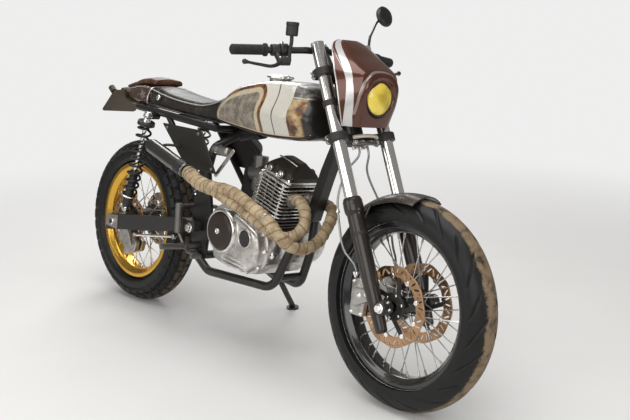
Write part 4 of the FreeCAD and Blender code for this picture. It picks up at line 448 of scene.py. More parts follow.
def cut_plate(outline: Array, holes: list[Array], y: float, depth: float, edge: float,
              finish: int = 0) -> Facets:
    """A pierced plate seen from the side, its edges bevelled, between y - depth / 2 and y + depth / 2."""
    curve = bpy.data.curves.new("pierced_plate", "CURVE")
    curve.dimensions = "2D"
    curve.fill_mode = "BOTH"
    curve.extrude = depth / 2 - edge
    curve.bevel_depth = edge
    curve.bevel_resolution = 0
    curve.offset = -edge
    for loop in [outline, *holes]:
        line = curve.splines.new("POLY")
        line.points.add(len(loop) - 1)
        flat = np.concatenate([loop, np.zeros((len(loop), 1)), np.ones((len(loop), 1))], axis=1)
        line.points.foreach_set("co", flat.astype(np.float32).ravel())
        line.use_cyclic_u = True
    holder = bpy.data.objects.new("pierced_plate", curve)
    mesh = bpy.data.meshes.new_from_object(holder)
    local = mesh_points(mesh)
    corners = [list(face.vertices) for face in mesh.polygons]
    bpy.data.objects.remove(holder)
    bpy.data.meshes.remove(mesh)
    bpy.data.curves.remove(curve)
    return Facets(np.stack([local[:, 0], y + local[:, 2], local[:, 1]], axis=1), corners, finish)


def mesh_points(mesh: bpy.types.Mesh) -> Array:
    """A mesh's points as rows."""
    flat = np.empty(len(mesh.vertices) * 3, np.float32)
    mesh.vertices.foreach_get("co", flat)
    return flat.reshape(-1, 3).astype(float)


def set_mesh_points(mesh: bpy.types.Mesh, points: Array) -> None:
    """Moves a mesh's points."""
    mesh.vertices.foreach_set("co", np.asarray(points, np.float32).ravel())
    mesh.update()


def swell(made: bpy.types.Object, voxel: float, pressure: float, cap: float) -> None:
    """Fills a soft piece as a cushion: an even mesh, air pressure on cloth, and a limit on how far it moves.

    Args:
        made: The piece, a little smaller than it ends.
        voxel: Size of the even mesh's quads, in metres.
        pressure: The cloth's inner pressure.
        cap: Furthest that a point may move, in metres.
    """
    even = made.modifiers.new("even", "REMESH")
    even.mode = "VOXEL"
    even.voxel_size = voxel
    even.use_smooth_shade = True
    finishes = list(made.data.materials)
    bpy.context.view_layer.update()
    graph = bpy.context.evaluated_depsgraph_get()
    mesh = bpy.data.meshes.new_from_object(made.evaluated_get(graph))
    made.modifiers.remove(even)
    made.data = mesh
    mesh.materials.clear()
    mesh.materials.append(finishes[0])
    cloth = made.modifiers.new("cloth", "CLOTH")
    cloth.settings.use_pressure = True
    cloth.settings.uniform_pressure_force = pressure
    cloth.settings.effector_weights.gravity = 0.0
    cloth.settings.quality = 4
    cloth.point_cache.frame_start, cloth.point_cache.frame_end = 1, 20
    for moment in range(1, 21):
        bpy.context.scene.frame_set(moment)
    swollen = made.evaluated_get(bpy.context.evaluated_depsgraph_get()).to_mesh()
    before, after = mesh_points(mesh), mesh_points(swollen)
    made.evaluated_get(bpy.context.evaluated_depsgraph_get()).to_mesh_clear()
    moved = after - before
    length = np.linalg.norm(moved, axis=1, keepdims=True)
    made.modifiers.remove(cloth)
    bpy.context.scene.frame_set(1)
    set_mesh_points(mesh, before + moved * np.minimum(1.0, cap / np.maximum(length, 1e-9)))


class Finish(Protocol):
    """Anything that makes a material."""

    def material(self) -> bpy.types.Material:
        """The finish's material."""


class Piece:
    """One scene object made of surfaces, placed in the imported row's metres."""

    def __init__(self, name: str, finishes: list[Finish]) -> None:
        """Starts an empty piece with its list of finishes."""
        self.name = name
        self.finishes = finishes
        self.surfaces: list[Surface | Facets] = []

    def add(self, *surfaces: "Surface | Facets") -> "Piece":
        """Adds surfaces and returns the piece."""
        self.surfaces += surfaces
        return self

    def build(self, body: Body, replaces: tuple[str, ...] = (), slot: str = "", sharp: float = 40.0,
              subdivide: int = 0, wall: float = 0.0) -> bpy.types.Object:
        """Makes the mesh object and attaches it to its body.

        Args:
            body: The moving body that carries the piece.
            replaces: CAD nodes that it stands for.
            slot: The record's material slot; not used.
            sharp: Faces that meet at more than this angle keep a sharp edge, in degrees.
            subdivide: Levels of subdivision.
            wall: Thickness of a sheet, in millimetres, or 0 for a closed piece.

        Returns:
            The object.
        """
        points, faces, uvs, marks = [], [], [], []
        start = 0
        for surface in self.surfaces:
            own_points, own_faces, own_uvs, own_marks = surface.parts()
            points.append(own_points)
            faces += [[corner + start for corner in face] for face in own_faces]
            uvs.append(own_uvs)
            marks += own_marks
            start += len(own_points)
        mesh = bpy.data.meshes.new(self.name)
        mesh.from_pydata(UPRIGHT.place(np.concatenate(points)), [], faces)
        layer = mesh.uv_layers.new(name="own")
        layer.data.foreach_set("uv", np.concatenate(uvs).astype(np.float32).ravel())
        mesh.polygons.foreach_set("material_index", marks)
        for finish in self.finishes:
            mesh.materials.append(finish.material())
        self._tidy(mesh, sharp)
        made = bpy.data.objects.new(self.name, mesh)
        bpy.context.scene.collection.objects.link(made)
        if wall:
            solid = made.modifiers.new("wall", "SOLIDIFY")
            solid.thickness = wall / 1000.0
            solid.offset = -1.0
        if subdivide:
            finer = made.modifiers.new("smooth", "SUBSURF")
            finer.levels = finer.render_levels = subdivide
        hand_over(made, body, replaces)
        return made

    @staticmethod
    def _tidy(mesh: bpy.types.Mesh, sharp: float) -> None:
        """Merges doubles, turns faces outwards and marks the sharp edges."""
        work = bmesh.new()
        work.from_mesh(mesh)
        bmesh.ops.remove_doubles(work, verts=work.verts, dist=1e-6)
        bmesh.ops.dissolve_degenerate(work, edges=work.edges, dist=1e-7)
        bmesh.ops.recalc_face_normals(work, faces=work.faces)
        limit = math.radians(sharp)
        for face in work.faces:
            face.smooth = True
        for edge in work.edges:
            edge.smooth = edge.is_manifold and edge.calc_face_angle(0.0) < limit
        work.to_mesh(mesh)
        work.free()


def hand_over(made: bpy.types.Object, body: Body, replaces: tuple[str, ...] = ()) -> None:
    """Lets a finished object ride on its body and stand for CAD nodes."""
    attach(made, body.value)
    if replaces:
        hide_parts(*replaces)
    LOG.info("%s on %s, %d faces", made.name, body.value, len(made.data.polygons))


# Shading


class Link:
    """A shader socket that Python's operators extend with Math nodes."""

    def __init__(self, shader: "Shader", socket: bpy.types.NodeSocket) -> None:
        """Wraps an output socket of a shader's tree."""
        self.shader = shader
        self.socket = socket

    def math(self, operation: str, *others: "Link | float", swapped: bool = False) -> "Link":
        """A Math node on this value and others."""
        values = [self, *others]
        if swapped:
            values.reverse()
        return self.shader.node("ShaderNodeMath", {"operation": operation}, dict(enumerate(values)))

    def __add__(self, other: "Link | float") -> "Link":
        """Sum."""
        return self.math("ADD", other)

    __radd__ = __add__

    def __sub__(self, other: "Link | float") -> "Link":
        """Difference."""
        return self.math("SUBTRACT", other)

    def __rsub__(self, other: "Link | float") -> "Link":
        """Difference from a number."""
        return self.math("SUBTRACT", other, swapped=True)

    def __mul__(self, other: "Link | float") -> "Link":
        """Product."""
        return self.math("MULTIPLY", other)

    __rmul__ = __mul__

    def __truediv__(self, other: "Link | float") -> "Link":
        """Quotient."""
        return self.math("DIVIDE", other)

    def __gt__(self, other: "Link | float") -> "Link":
        """One where this value is greater."""
        return self.math("GREATER_THAN", other)

    def __lt__(self, other: "Link | float") -> "Link":
        """One where this value is less."""
        return self.math("LESS_THAN", other)

    def step(self, low: float, high: float) -> "Link":
        """A smooth rise from 0 at low to 1 at high."""
        return self.shader.node("ShaderNodeMapRange", {"interpolation_type": "SMOOTHSTEP"},
                                {"Value": self, "From Min": low, "From Max": high})

    def between(self, low: float, high: float, soft: float) -> "Link":
        """A band that is 1 between two values, with soft edges."""
        return self.step(low - soft, low + soft) * (1 - self.step(high - soft, high + soft))


class Shader:
    """Builds one node material around a Principled shader."""

    def __init__(self, name: str) -> None:
        """Starts a material with an empty node tree."""
        self.material = bpy.data.materials.new(name)
        self.material.use_nodes = True
        self.tree = self.material.node_tree
        self.tree.nodes.clear()
        self.output = self.tree.nodes.new("ShaderNodeOutputMaterial")

    def node(self, kind: str, settings: dict | None = None, inputs: dict | None = None,
             output: int | str = 0) -> Link:
        """Adds a node.

        Args:
            kind: The node's type.
            settings: Properties that are set first.
            inputs: Socket name or number to a value or link.
            output: The socket that is returned.
        """
        made = self.tree.nodes.new(kind)
        for key, value in (settings or {}).items():
            setattr(made, key, value)
        for key, value in (inputs or {}).items():
            self._feed(made.inputs[key], value)
        if kind == "ShaderNodeMix":
            output = {"FLOAT": 0, "VECTOR": 1, "RGBA": 2}[made.data_type]
        return Link(self, made.outputs[output])

    def _feed(self, socket: bpy.types.NodeSocket, value: object) -> None:
        """Links or sets one input."""
        if isinstance(value, Link):
            self.tree.links.new(value.socket, socket)
        elif isinstance(value, tuple) and len(value) == 3 and socket.type == "RGBA":
            socket.default_value = (*value, 1.0)
        else:
            socket.default_value = value

    def place(self) -> Link:
        """Object coordinates turned upright, in metres from the ground under the rear axle."""
        raw = self.node("ShaderNodeTexCoord", output="Object")
        angle = -UPRIGHT.lean()
        turned = UPRIGHT.place(np.zeros(3))
        back = np.array([turned[0], turned @ UPRIGHT.lateral, turned @ UPRIGHT.upward])
        return self.node("ShaderNodeMapping", {"vector_type": "POINT"},
                         {"Vector": raw, "Rotation": (angle, 0.0, 0.0), "Location": tuple(-back)})

    def axis(self, vector: Link, name: str) -> Link:
        """One coordinate of a vector."""
        return self.node("ShaderNodeSeparateXYZ", {}, {0: vector}, output=name)

    def own(self) -> Link:
        """The piece's own surface coordinates."""
        return self.node("ShaderNodeUVMap", {"uv_map": "own"})

    def stretched(self, vector: Link, scale: tuple[float, float, float]) -> Link:
        """A vector scaled along its axes."""
        return self.node("ShaderNodeMapping", {"vector_type": "POINT"}, {"Vector": vector, "Scale": scale})

    def noise(self, vector: Link, scale: float, detail: float = 4.0, rough: float = 0.55) -> Link:
        """Noise around one half."""
        values = {"Vector": vector, "Scale": scale, "Detail": detail, "Roughness": rough}
        return self.node("ShaderNodeTexNoise", {}, values)

    def cells(self, vector: Link, scale: float, feature: str = "F1") -> Link:
        """Distance to the nearest of scattered points."""
        return self.node("ShaderNodeTexVoronoi", {"feature": feature}, {"Vector": vector, "Scale": scale})

    def mix(self, share: Link | float, first: object, second: object) -> Link:
        """First where the share is 0 and second where it is 1, as colours."""
        return self.node("ShaderNodeMix", {"data_type": "RGBA", "clamp_factor": True},
                         {0: share, 6: first, 7: second})

    def bump(self, height: Link, strength: float, distance: float, under: Link | None = None) -> Link:
        """A bumped normal from a height."""
        inputs = {"Height": height, "Strength": strength, "Distance": distance}
        if under is not None:
            inputs["Normal"] = under
        return self.node("ShaderNodeBump", {}, inputs)

    def finish(self, color: object, roughness: object, metallic: object = 0.0, normal: Link | None = None,
               **fixed: object) -> bpy.types.Material:
        """Closes the material with a Principled shader.

        Args:
            color: Base colour.
            roughness: Roughness.
            metallic: Metallic share.
            normal: Bumped normal.
            fixed: Other sockets, with underscores for spaces.
        """
        inputs = {"Base Color": color, "Roughness": roughness, "Metallic": metallic}
        if normal is not None:
            inputs["Normal"] = normal
        inputs.update({key.replace("_", " "): value for key, value in fixed.items()})
        shader = self.node("ShaderNodeBsdfPrincipled", {}, inputs)
        self.tree.links.new(shader.socket, self.output.inputs["Surface"])
        return self.material


def kept(make: Callable[[Finish], bpy.types.Material]) -> Callable[[Finish], bpy.types.Material]:
    """Keeps one material per finish, so that pieces share it."""
    made: dict[Finish, bpy.types.Material] = {}

    def once(finish: Finish) -> bpy.types.Material:
        """The finish's material, made on first use."""
        if finish not in made:
            made[finish] = make(finish)
        return made[finish]

    return once


DUST = (0.3, 0.23, 0.15)


@dataclass(frozen=True)
class Paint:
    """Paint or coated metal with faint mottling, worn patches and road dust."""

    name: str
    color: tuple[float, float, float]
    roughness: float = 0.4
    metallic: float = 0.0
    dust: float = 0.15
    grain: float = 60.0
    coat: float = 0.0
    worn: float = 0.0
    bare: tuple[float, float, float] = (0.5, 0.48, 0.45)

    @kept
    def material(self) -> bpy.types.Material:
        """The colour varies with two noises; dust gathers low down and in patches."""
        s = Shader(self.name)
        at = s.place()
        broad = s.noise(at, 14.0)
        fine = s.noise(at, self.grain, 6.0)
        shade = s.mix(broad, tuple(c * 0.8 for c in self.color), tuple(min(1.0, c * 1.2) for c in self.color))
        low = 1 - s.axis(at, "Z").step(0.05, 0.75)
        dusty = (broad * 0.6 + fine * 0.6 + low * 0.5 - 0.98).step(0.0, 0.5) * self.dust * 2.0
        color = s.mix(dusty, shade, DUST)
        if self.worn:
            edge = 0.2 * self.worn
            chips = (fine * 0.7 + broad * 0.5).step(0.78 - edge, 0.82 - edge) * self.worn
            color = s.mix(chips, color, self.bare)
        rough = dusty * 0.4 + fine * 0.12 + (self.roughness - 0.06)
        normal = s.bump(fine, 0.12, 0.0006)
        return s.finish(color, rough, self.metallic, normal, Coat_Weight=self.coat)


@dataclass(frozen=True)
class BareMetal:
    """Polished, brushed or cast metal with stains."""

    name: str
    color: tuple[float, float, float]
    roughness: float
    stain: tuple[float, float, float] = (0.18, 0.14, 0.1)
    stained: float = 0.3
    cast: float = 0.0

    @kept
    def material(self) -> bpy.types.Material:
        """Stains follow the low parts of two noises; a fine noise gives the casting's skin."""
        s = Shader(self.name)
        at = s.place()
        broad = s.noise(at, 22.0, 5.0)
        fine = s.noise(at, 240.0, 3.0)
        marks = (1 - (broad * 0.75 + fine * 0.25).step(0.36, 0.56)) * self.stained
        color = s.mix(marks, self.color, self.stain)
        rough = marks * 0.35 + fine * 0.1 + (self.roughness - 0.05)
        normal = s.bump(fine, 0.1 + 0.6 * self.cast, 0.0004 + 0.0006 * self.cast)
        return s.finish(color, rough, 1.0, normal)


@dataclass(frozen=True)
class TyreRubber:
    """Tyre rubber, dry and dusty on its tread."""

    name: str
    radius: float
    axle: tuple[float, float]
    dusty: float = 0.8

    @kept
    def material(self) -> bpy.types.Material:
        """Dust fades in with the distance from the axle and breaks up with noise."""
        s = Shader(self.name)
        at = s.place()
        x = s.axis(at, "X") - self.axle[0] / 1000.0
        z = s.axis(at, "Z") - self.axle[1] / 1000.0
        reach = (x * x + z * z).math("SQRT") * (1000.0 / self.radius)
        broad = s.noise(at, 30.0, 6.0, 0.65)
        fine = s.noise(at, 300.0, 4.0)
        tread = reach.step(0.965, 0.992)
        dust = (tread * 0.62 + broad * 1.5 + fine * 0.5 - 1.28).step(0.0, 0.45) * self.dusty
        film = (broad - 0.4).step(0.0, 0.5) * 0.16
        color = s.mix(film, (0.008, 0.008, 0.008), (0.045, 0.04, 0.035))
        color = s.mix(dust, color, s.mix(fine, (0.16, 0.11, 0.065), (0.36, 0.26, 0.16)))
        rings = (reach * 220.0).math("SINE") * (1 - tread)
        normal = s.bump(fine * 0.5 + rings * 0.12, 0.3, 0.0008)
        return s.finish(color, dust * 0.4 + 0.42, 0.0, normal, Specular_IOR_Level=0.3)


@dataclass(frozen=True)
class PipeWrap:
    """Heat wrap wound round a pipe in overlapping turns."""

    name: str
    pitch: float = 0.03

    @kept
    def material(self) -> bpy.types.Material:
        """Turns rise as (length / pitch + angle) mod 1; a weave of sines runs across each turn.

        Each turn is darker where it meets the next: painted shade in the crease between laps.
        """
        s = Shader(self.name)
        own = s.own()
        length, angle = s.axis(own, "X"), s.axis(own, "Y")
        turn = (length / self.pitch + angle).math("FRACT")
        lap = turn.math("POWER", 0.35) - turn.step(0.93, 1.0)
        weave = ((length * 2600.0).math("SINE") * (angle * 200.0).math("SINE"))
        at = s.place()
        broad = s.noise(at, 26.0, 5.0)
        fine = s.noise(at, 160.0, 5.0)
        # Painted shade: darker where each turn tucks under the next, in the crease between laps.
        dark = (1 - turn.step(0.0, 0.22)) * 0.75 + turn.step(0.9, 1.0) * 0.3
        tint = s.mix(broad.step(0.3, 0.7), (0.25, 0.17, 0.095), (0.52, 0.4, 0.25))
        color = s.mix(dark * 0.8, tint, (0.08, 0.05, 0.03))
        color = s.mix(fine.step(0.55, 0.75) * 0.4, color, (0.66, 0.56, 0.4))
        under = s.bump(weave, 0.25, 0.0005)
        return s.finish(color, 0.85, 0.0, s.bump(lap, 0.9, 0.003, under))


@dataclass(frozen=True)
class Patina:
    """The tank's worn skin: a bare panel in an ivory rim, rust, two pale bands and mottled steel."""

    name: str
    panel: tuple[float, float, float] = (0.56, 0.83, 0.115)
    corner: float = 0.05

    @kept
    def material(self) -> bpy.types.Material:
        """Fields are steps of d, the distance outside a rounded box on the skin.

        With x along the tank, m the panel's middle and h half its length, g the way down from the
        tank's crown, t the panel's top edge and r its corner:
        d = length(max(|x - m| - h + r, 0), max(t - g + r, 0)) - r.
        """
        s = Shader(self.name)
        own, at = s.own(), s.place()
        x, girth, z = s.axis(own, "X"), s.axis(own, "Y"), s.axis(at, "Z")
        broad = s.noise(at, 9.0, 6.0, 0.6)
        mid = s.noise(at, 34.0, 6.0, 0.6)
        fine = s.noise(at, 180.0, 4.0)
        scratch = s.noise(s.stretched(at, (30.0, 30.0, 260.0)), 3.0, 5.0, 0.6)
        first, last, top = self.panel
        half, middle = (last - first) / 2 - self.corner, (last + first) / 2
        ahead = ((x - middle).math("ABSOLUTE") - half).math("MAXIMUM", 0.0)
        above = (top + self.corner - girth).math("MAXIMUM", 0.0)
        away = (ahead * ahead + above * above).math("SQRT") - self.corner
        wavy = away + (mid - 0.5) * 0.012
        worn = s.mix(mid.step(0.3, 0.7), (0.13, 0.105, 0.08), (0.38, 0.33, 0.26))
        worn = s.mix(scratch.step(0.55, 0.7) * 0.6, worn, (0.6, 0.55, 0.46))
        ivory = s.mix(fine.step(0.52, 0.72) * 0.7, (0.62, 0.54, 0.38), (0.3, 0.22, 0.13))
        rust = s.mix(mid.step(0.35, 0.7), (0.05, 0.022, 0.011), (0.36, 0.14, 0.035))
        color = s.mix((away + (broad - 0.5) * 0.03).step(-0.021, -0.014), worn, ivory)
        color = s.mix(wavy.step(-0.002, 0.003), color, rust)
        low = s.mix((broad * 0.7 + mid * 0.5).step(0.52, 0.7), rust,
                    s.mix(mid, (0.3, 0.17, 0.05), (0.62, 0.48, 0.27)))
        high = s.mix((mid * 0.6 + fine * 0.4).step(0.42, 0.62), (0.025, 0.022, 0.019), (0.2, 0.18, 0.155))
        front = s.mix((z + broad * 0.02).step(0.909, 0.917), low, high)
        front = s.mix((z + mid * 0.004).between(0.907, 0.9105, 0.0008) * 0.8, front, (0.62, 0.58, 0.5))
        front = s.mix((x + mid * 0.01).step(1.028, 1.04), front, (0.02, 0.017, 0.015))
        color = s.mix(wavy.step(0.138, 0.146), color, front)
        pale = s.mix(fine.step(0.55, 0.75) * 0.5, (0.6, 0.57, 0.5), (0.28, 0.235, 0.18))
        band = away.between(0.017, 0.073, 0.001) + away.between(0.0765, 0.142, 0.001)
        color = s.mix(band, color, pale)
        color = s.mix(away.between(0.0725, 0.077, 0.0007), color, (0.03, 0.025, 0.02))
        rough = (1 - band) * (mid * 0.2 + 0.06) + 0.2
        return s.finish(color, rough, (1 - band) * 0.3, s.bump(mid * 0.3 + fine * 0.1, 0.15, 0.0008),
                        Coat_Weight=0.4, Coat_Roughness=0.15)


@dataclass(frozen=True)
class Hide:
    """Leather with a pebbled grain, creases and a rubbed sheen."""

    name: str
    color: tuple[float, float, float]
    rubbed: tuple[float, float, float]
    roughness: float = 0.5
    grain: float = 420.0

    @kept
    def material(self) -> bpy.types.Material:
        """Grain is a cell pattern; the rubbed colour follows broad noise."""
        s = Shader(self.name)
        at = s.place()
        cells = s.cells(at, self.grain, "DISTANCE_TO_EDGE")
        broad = s.noise(at, 16.0, 5.0)
        fine = s.noise(at, 120.0, 5.0)
        color = s.mix(broad.step(0.42, 0.68), self.color, self.rubbed)
        color = s.mix((1 - cells.step(0.0, 0.08)) * 0.4, color, tuple(c * 0.4 for c in self.color))
        normal = s.bump(cells.step(0.0, 0.25) + fine * 0.6, 0.25, 0.0007)
        return s.finish(color, broad * -0.25 + (self.roughness + 0.12), 0.0, normal, Specular_IOR_Level=0.35)


@dataclass(frozen=True)
class Glow:
    """The lamp's yellow lens."""

    name: str
    color: tuple[float, float, float]

    @kept
    def material(self) -> bpy.types.Material:
        """Rows of dark dots, the product of two sines, and broad shading under a clear coat."""
        s = Shader(self.name)
        at = s.place()
        y = s.axis(at, "Y")
        z = s.axis(at, "Z")
        ribs = (y * 520.0).math("SINE") * (z * 520.0).math("SINE")
        broad = s.noise(at, 12.0, 2.0)
        color = s.mix(broad.step(0.35, 0.6), tuple(c * 0.6 for c in self.color),
                      tuple(min(1.0, c * 1.1 + 0.04) for c in self.color))
        color = s.mix(ribs.step(0.5, 0.9) * 0.5, color, tuple(c * 0.3 for c in self.color))
        return s.finish(color, 0.18, 0.0, s.bump(ribs, 0.25, 0.0012), Coat_Weight=1.0, Coat_Roughness=0.03)


@dataclass(frozen=True)
class Braid:
    """The pale woven sleeve of a brake hose."""

    name: str

    @kept
    def material(self) -> bpy.types.Material:
        """Two crossing sets of ribs: sines of length plus and minus angle."""
        s = Shader(self.name)
        own = s.own()
        length, angle = s.axis(own, "X") * 900.0, s.axis(own, "Y") * 37.7
        weave = (length + angle).math("SINE") * (length - angle).math("SINE")
        color = s.mix(weave.step(-0.4, 0.5), (0.12, 0.12, 0.12), (0.72, 0.72, 0.72))
        return s.finish(color, 0.35, 0.8, s.bump(weave, 0.4, 0.0006))


@dataclass(frozen=True)
class StripedPaint:
    """The fairing's dark brown metallic paint, a silver band down each side and painted edge highlights."""

    name: str
    band_place: float = 0.73
    band_bend: float = 6.0
    band_spread: float = 0.4
    panel_half_width: float = 0.084
    panel_level: float = 0.92
    panel_height: float = 0.096
    panel_power: float = 2.6

    @kept
    def material(self) -> bpy.types.Material:
        """Bands are steps of v, the share of the way round from the nose.

        The wide band lies where |v - 0.73 - 6 (z - 0.99)^2| - 0.4 |z - 0.98| is under 0.065. A painted
        highlight runs along the raised panel's edge, where (|y| / 0.084)^2.6 + ((z - 0.92) / 0.096)^2.6 is
        near 1, and pale painted highlights run along the rear rim, where |v| is near 1, and along the flank's
        crease.
        """
        s = Shader(self.name)
        at, own = s.place(), s.own()
        z, v = s.axis(own, "X"), s.axis(own, "Y").math("ABSOLUTE")
        x, y = s.axis(at, "X"), s.axis(at, "Y").math("ABSOLUTE")
        broad = s.noise(at, 12.0)
        flake = s.noise(at, 900.0, 2.0)
        brown = s.mix(flake.step(0.4, 0.7) * 0.55, (0.065, 0.014, 0.004), (0.25, 0.066, 0.016))
        brown = s.mix(broad * 0.3, brown, (0.02, 0.007, 0.004))
        bend, away = z - 0.99, (z - 0.98).math("ABSOLUTE")
        shifted = (v - bend * bend * self.band_bend
                   - self.band_place).math("ABSOLUTE") - away * self.band_spread
        silver = s.mix(flake.step(0.45, 0.65) * 0.35, (0.6, 0.59, 0.57), (0.8, 0.79, 0.77))
        band = 1 - shifted.step(0.062, 0.068)
        # Painted highlight: a pale line along the flank's rear-edge crease.
        crease_highlight = (v - (z - 0.985) * 2.33).between(0.735, 0.752, 0.003) * (z > 0.985)
        power = self.panel_power
        rise = ((z - self.panel_level) * (1 / self.panel_height)).math("MAXIMUM", 0.0).math("POWER", power)
        across = (y * (1 / self.panel_half_width)).math("POWER", power)
        # Painted highlight: a pale line round the raised panel's edge.
        arch = (rise + across).between(0.93, 1.06, 0.02) * (x > 1.2) * (z > 0.88)
        color = s.mix(band, brown, silver)
        # Painted highlights: the pale rear rim line, the crease line and the panel's edge.
        color = s.mix((v.step(0.972, 0.98) + crease_highlight * 0.6 + arch * 0.35).math("MINIMUM", 1.0), color,
                      (0.62, 0.6, 0.57))
        return s.finish(color, 0.26, 0.4, s.bump(broad, 0.05, 0.001), Coat_Weight=0.7, Coat_Roughness=0.06)


BLACK = Paint("black_frame_paint", (0.012, 0.011, 0.01), 0.32, dust=0.12)
SATIN = Paint("satin_black", (0.018, 0.017, 0.016), 0.48, dust=0.2)
ENGINE_BLACK = Paint("engine_black", (0.02, 0.019, 0.018), 0.5, dust=0.25)
CHROME = BareMetal("fork_chrome", (0.93, 0.91, 0.89), 0.12, stained=0.06)
SPOKE_STEEL = BareMetal("spoke_steel", (0.72, 0.71, 0.69), 0.22, stained=0.15)
CAST = BareMetal("cast_alloy", (0.74, 0.72, 0.69), 0.28, stained=0.5, cast=0.5)
FIN_ALLOY = BareMetal("fin_alloy", (0.8, 0.79, 0.76), 0.24, stained=0.35)
DARK_ALLOY = BareMetal("dark_alloy", (0.2, 0.19, 0.18), 0.42, stained=0.3)
BRONZE = BareMetal("disc_bronze", (0.5, 0.3, 0.165), 0.24, stained=0.4)
STEEL = BareMetal("worn_steel", (0.42, 0.4, 0.37), 0.34, stained=0.4)
GOLD = Paint("gold_rim", (0.72, 0.42, 0.07), 0.24, metallic=1.0, dust=0.08)
RIM_BLACK = Paint("black_rim", (0.012, 0.012, 0.013), 0.2, dust=0.1, coat=0.6)
FRONT_RUBBER = TyreRubber("front_tyre_rubber", 328.0, (1450.0, 328.0), 0.9)
REAR_RUBBER = TyreRubber("rear_tyre_rubber", 322.0, (0.0, 322.06), 0.25)
WRAP = PipeWrap("heat_wrap")
TANK = Patina("tank_patina")
SEAT_HIDE = Hide("seat_leather", (0.016, 0.013, 0.011), (0.036, 0.03, 0.026), 0.34)
PAD_HIDE = Hide("pad_leather", (0.06, 0.022, 0.012), (0.13, 0.055, 0.032), 0.42)
FAIRING = StripedPaint("fairing_brown")
RUBBER = Paint("black_rubber", (0.012, 0.012, 0.012), 0.7, dust=0.25, grain=300.0)
FENDER = Paint("fender_grey", (0.07, 0.058, 0.05), 0.28, metallic=0.6, dust=0.12)
PLATE = Paint("bare_plate", (0.075, 0.055, 0.03), 0.34, metallic=0.3, dust=0.1)
PANEL = Paint("panel_black", (0.014, 0.013, 0.009), 0.42, dust=0.05)
MUFFLER = BareMetal("muffler_steel", (0.16, 0.155, 0.15), 0.2, stained=0.2)
LENS = Glow("yellow_lens", (0.92, 0.66, 0.05))
HUMP = Paint("hump_worn", (0.1, 0.055, 0.04), 0.26, metallic=0.5, worn=0.55, bare=(0.4, 0.38, 0.36))
COVER_BLACK = Paint("worn_cover_black", (0.03, 0.024, 0.02), 0.34, metallic=0.2, dust=0.15, worn=0.12)
CAP_BROWN = Paint("cap_brown", (0.035, 0.024, 0.018), 0.3, metallic=0.3, dust=0.2)
SLIDER = Paint("slider_brown_black", (0.026, 0.02, 0.017), 0.3, metallic=0.35, dust=0.1, coat=0.3)
CREAM_METAL = Paint("cream_metal", (0.62, 0.57, 0.47), 0.4, metallic=0.2, worn=0.2)
GLOSS = Paint("gloss_black", (0.01, 0.01, 0.01), 0.34, dust=0.05)
CALIPER = BareMetal("caliper_alloy", (0.5, 0.49, 0.47), 0.32, stained=0.6, cast=0.8)
BRAID = Braid("braided_hose")
MIRROR_GLASS = BareMetal("mirror_glass", (0.9, 0.9, 0.92), 0.03, stained=0.0)


def dress(node: str, finish: Finish) -> None:
    """Gives a CAD node its finish and a modifier that smooths its facets' shading."""
    piece = frame["nodes"][node]
    piece.data.materials.clear()
    piece.data.materials.append(finish.material())
    soften = piece.modifiers.new("soften", "NODES")
    soften.node_group = softening()


def softening() -> bpy.types.NodeTree:
    """A node group that merges loose triangles and shades shallow edges smooth."""
    if "soften_facets" in bpy.data.node_groups:
        return bpy.data.node_groups["soften_facets"]
    group = bpy.data.node_groups.new("soften_facets", "GeometryNodeTree")
    group.interface.new_socket("Geometry", in_out="INPUT", socket_type="NodeSocketGeometry")
    group.interface.new_socket("Geometry", in_out="OUTPUT", socket_type="NodeSocketGeometry")
    nodes, links = group.nodes, group.links
    start, end = nodes.new("NodeGroupInput"), nodes.new("NodeGroupOutput")
    merge = nodes.new("GeometryNodeMergeByDistance")
    merge.inputs["Distance"].default_value = 1e-5
    angle = nodes.new("GeometryNodeInputMeshEdgeAngle")
    shallow = nodes.new("FunctionNodeCompare")
    shallow.operation = "LESS_THAN"
    shallow.inputs[1].default_value = math.radians(32.0)
    faces = nodes.new("GeometryNodeSetShadeSmooth")
    faces.domain = "FACE"
    edges = nodes.new("GeometryNodeSetShadeSmooth")
    edges.domain = "EDGE"
    links.new(start.outputs[0], merge.inputs["Geometry"])
    links.new(angle.outputs["Unsigned Angle"], shallow.inputs[0])
    links.new(merge.outputs[0], faces.inputs["Geometry"])
    links.new(faces.outputs[0], edges.inputs["Geometry"])
    links.new(shallow.outputs[0], edges.inputs["Shade Smooth"])
    links.new(edges.outputs[0], end.inputs[0])
    return group


# Sub-assemblies


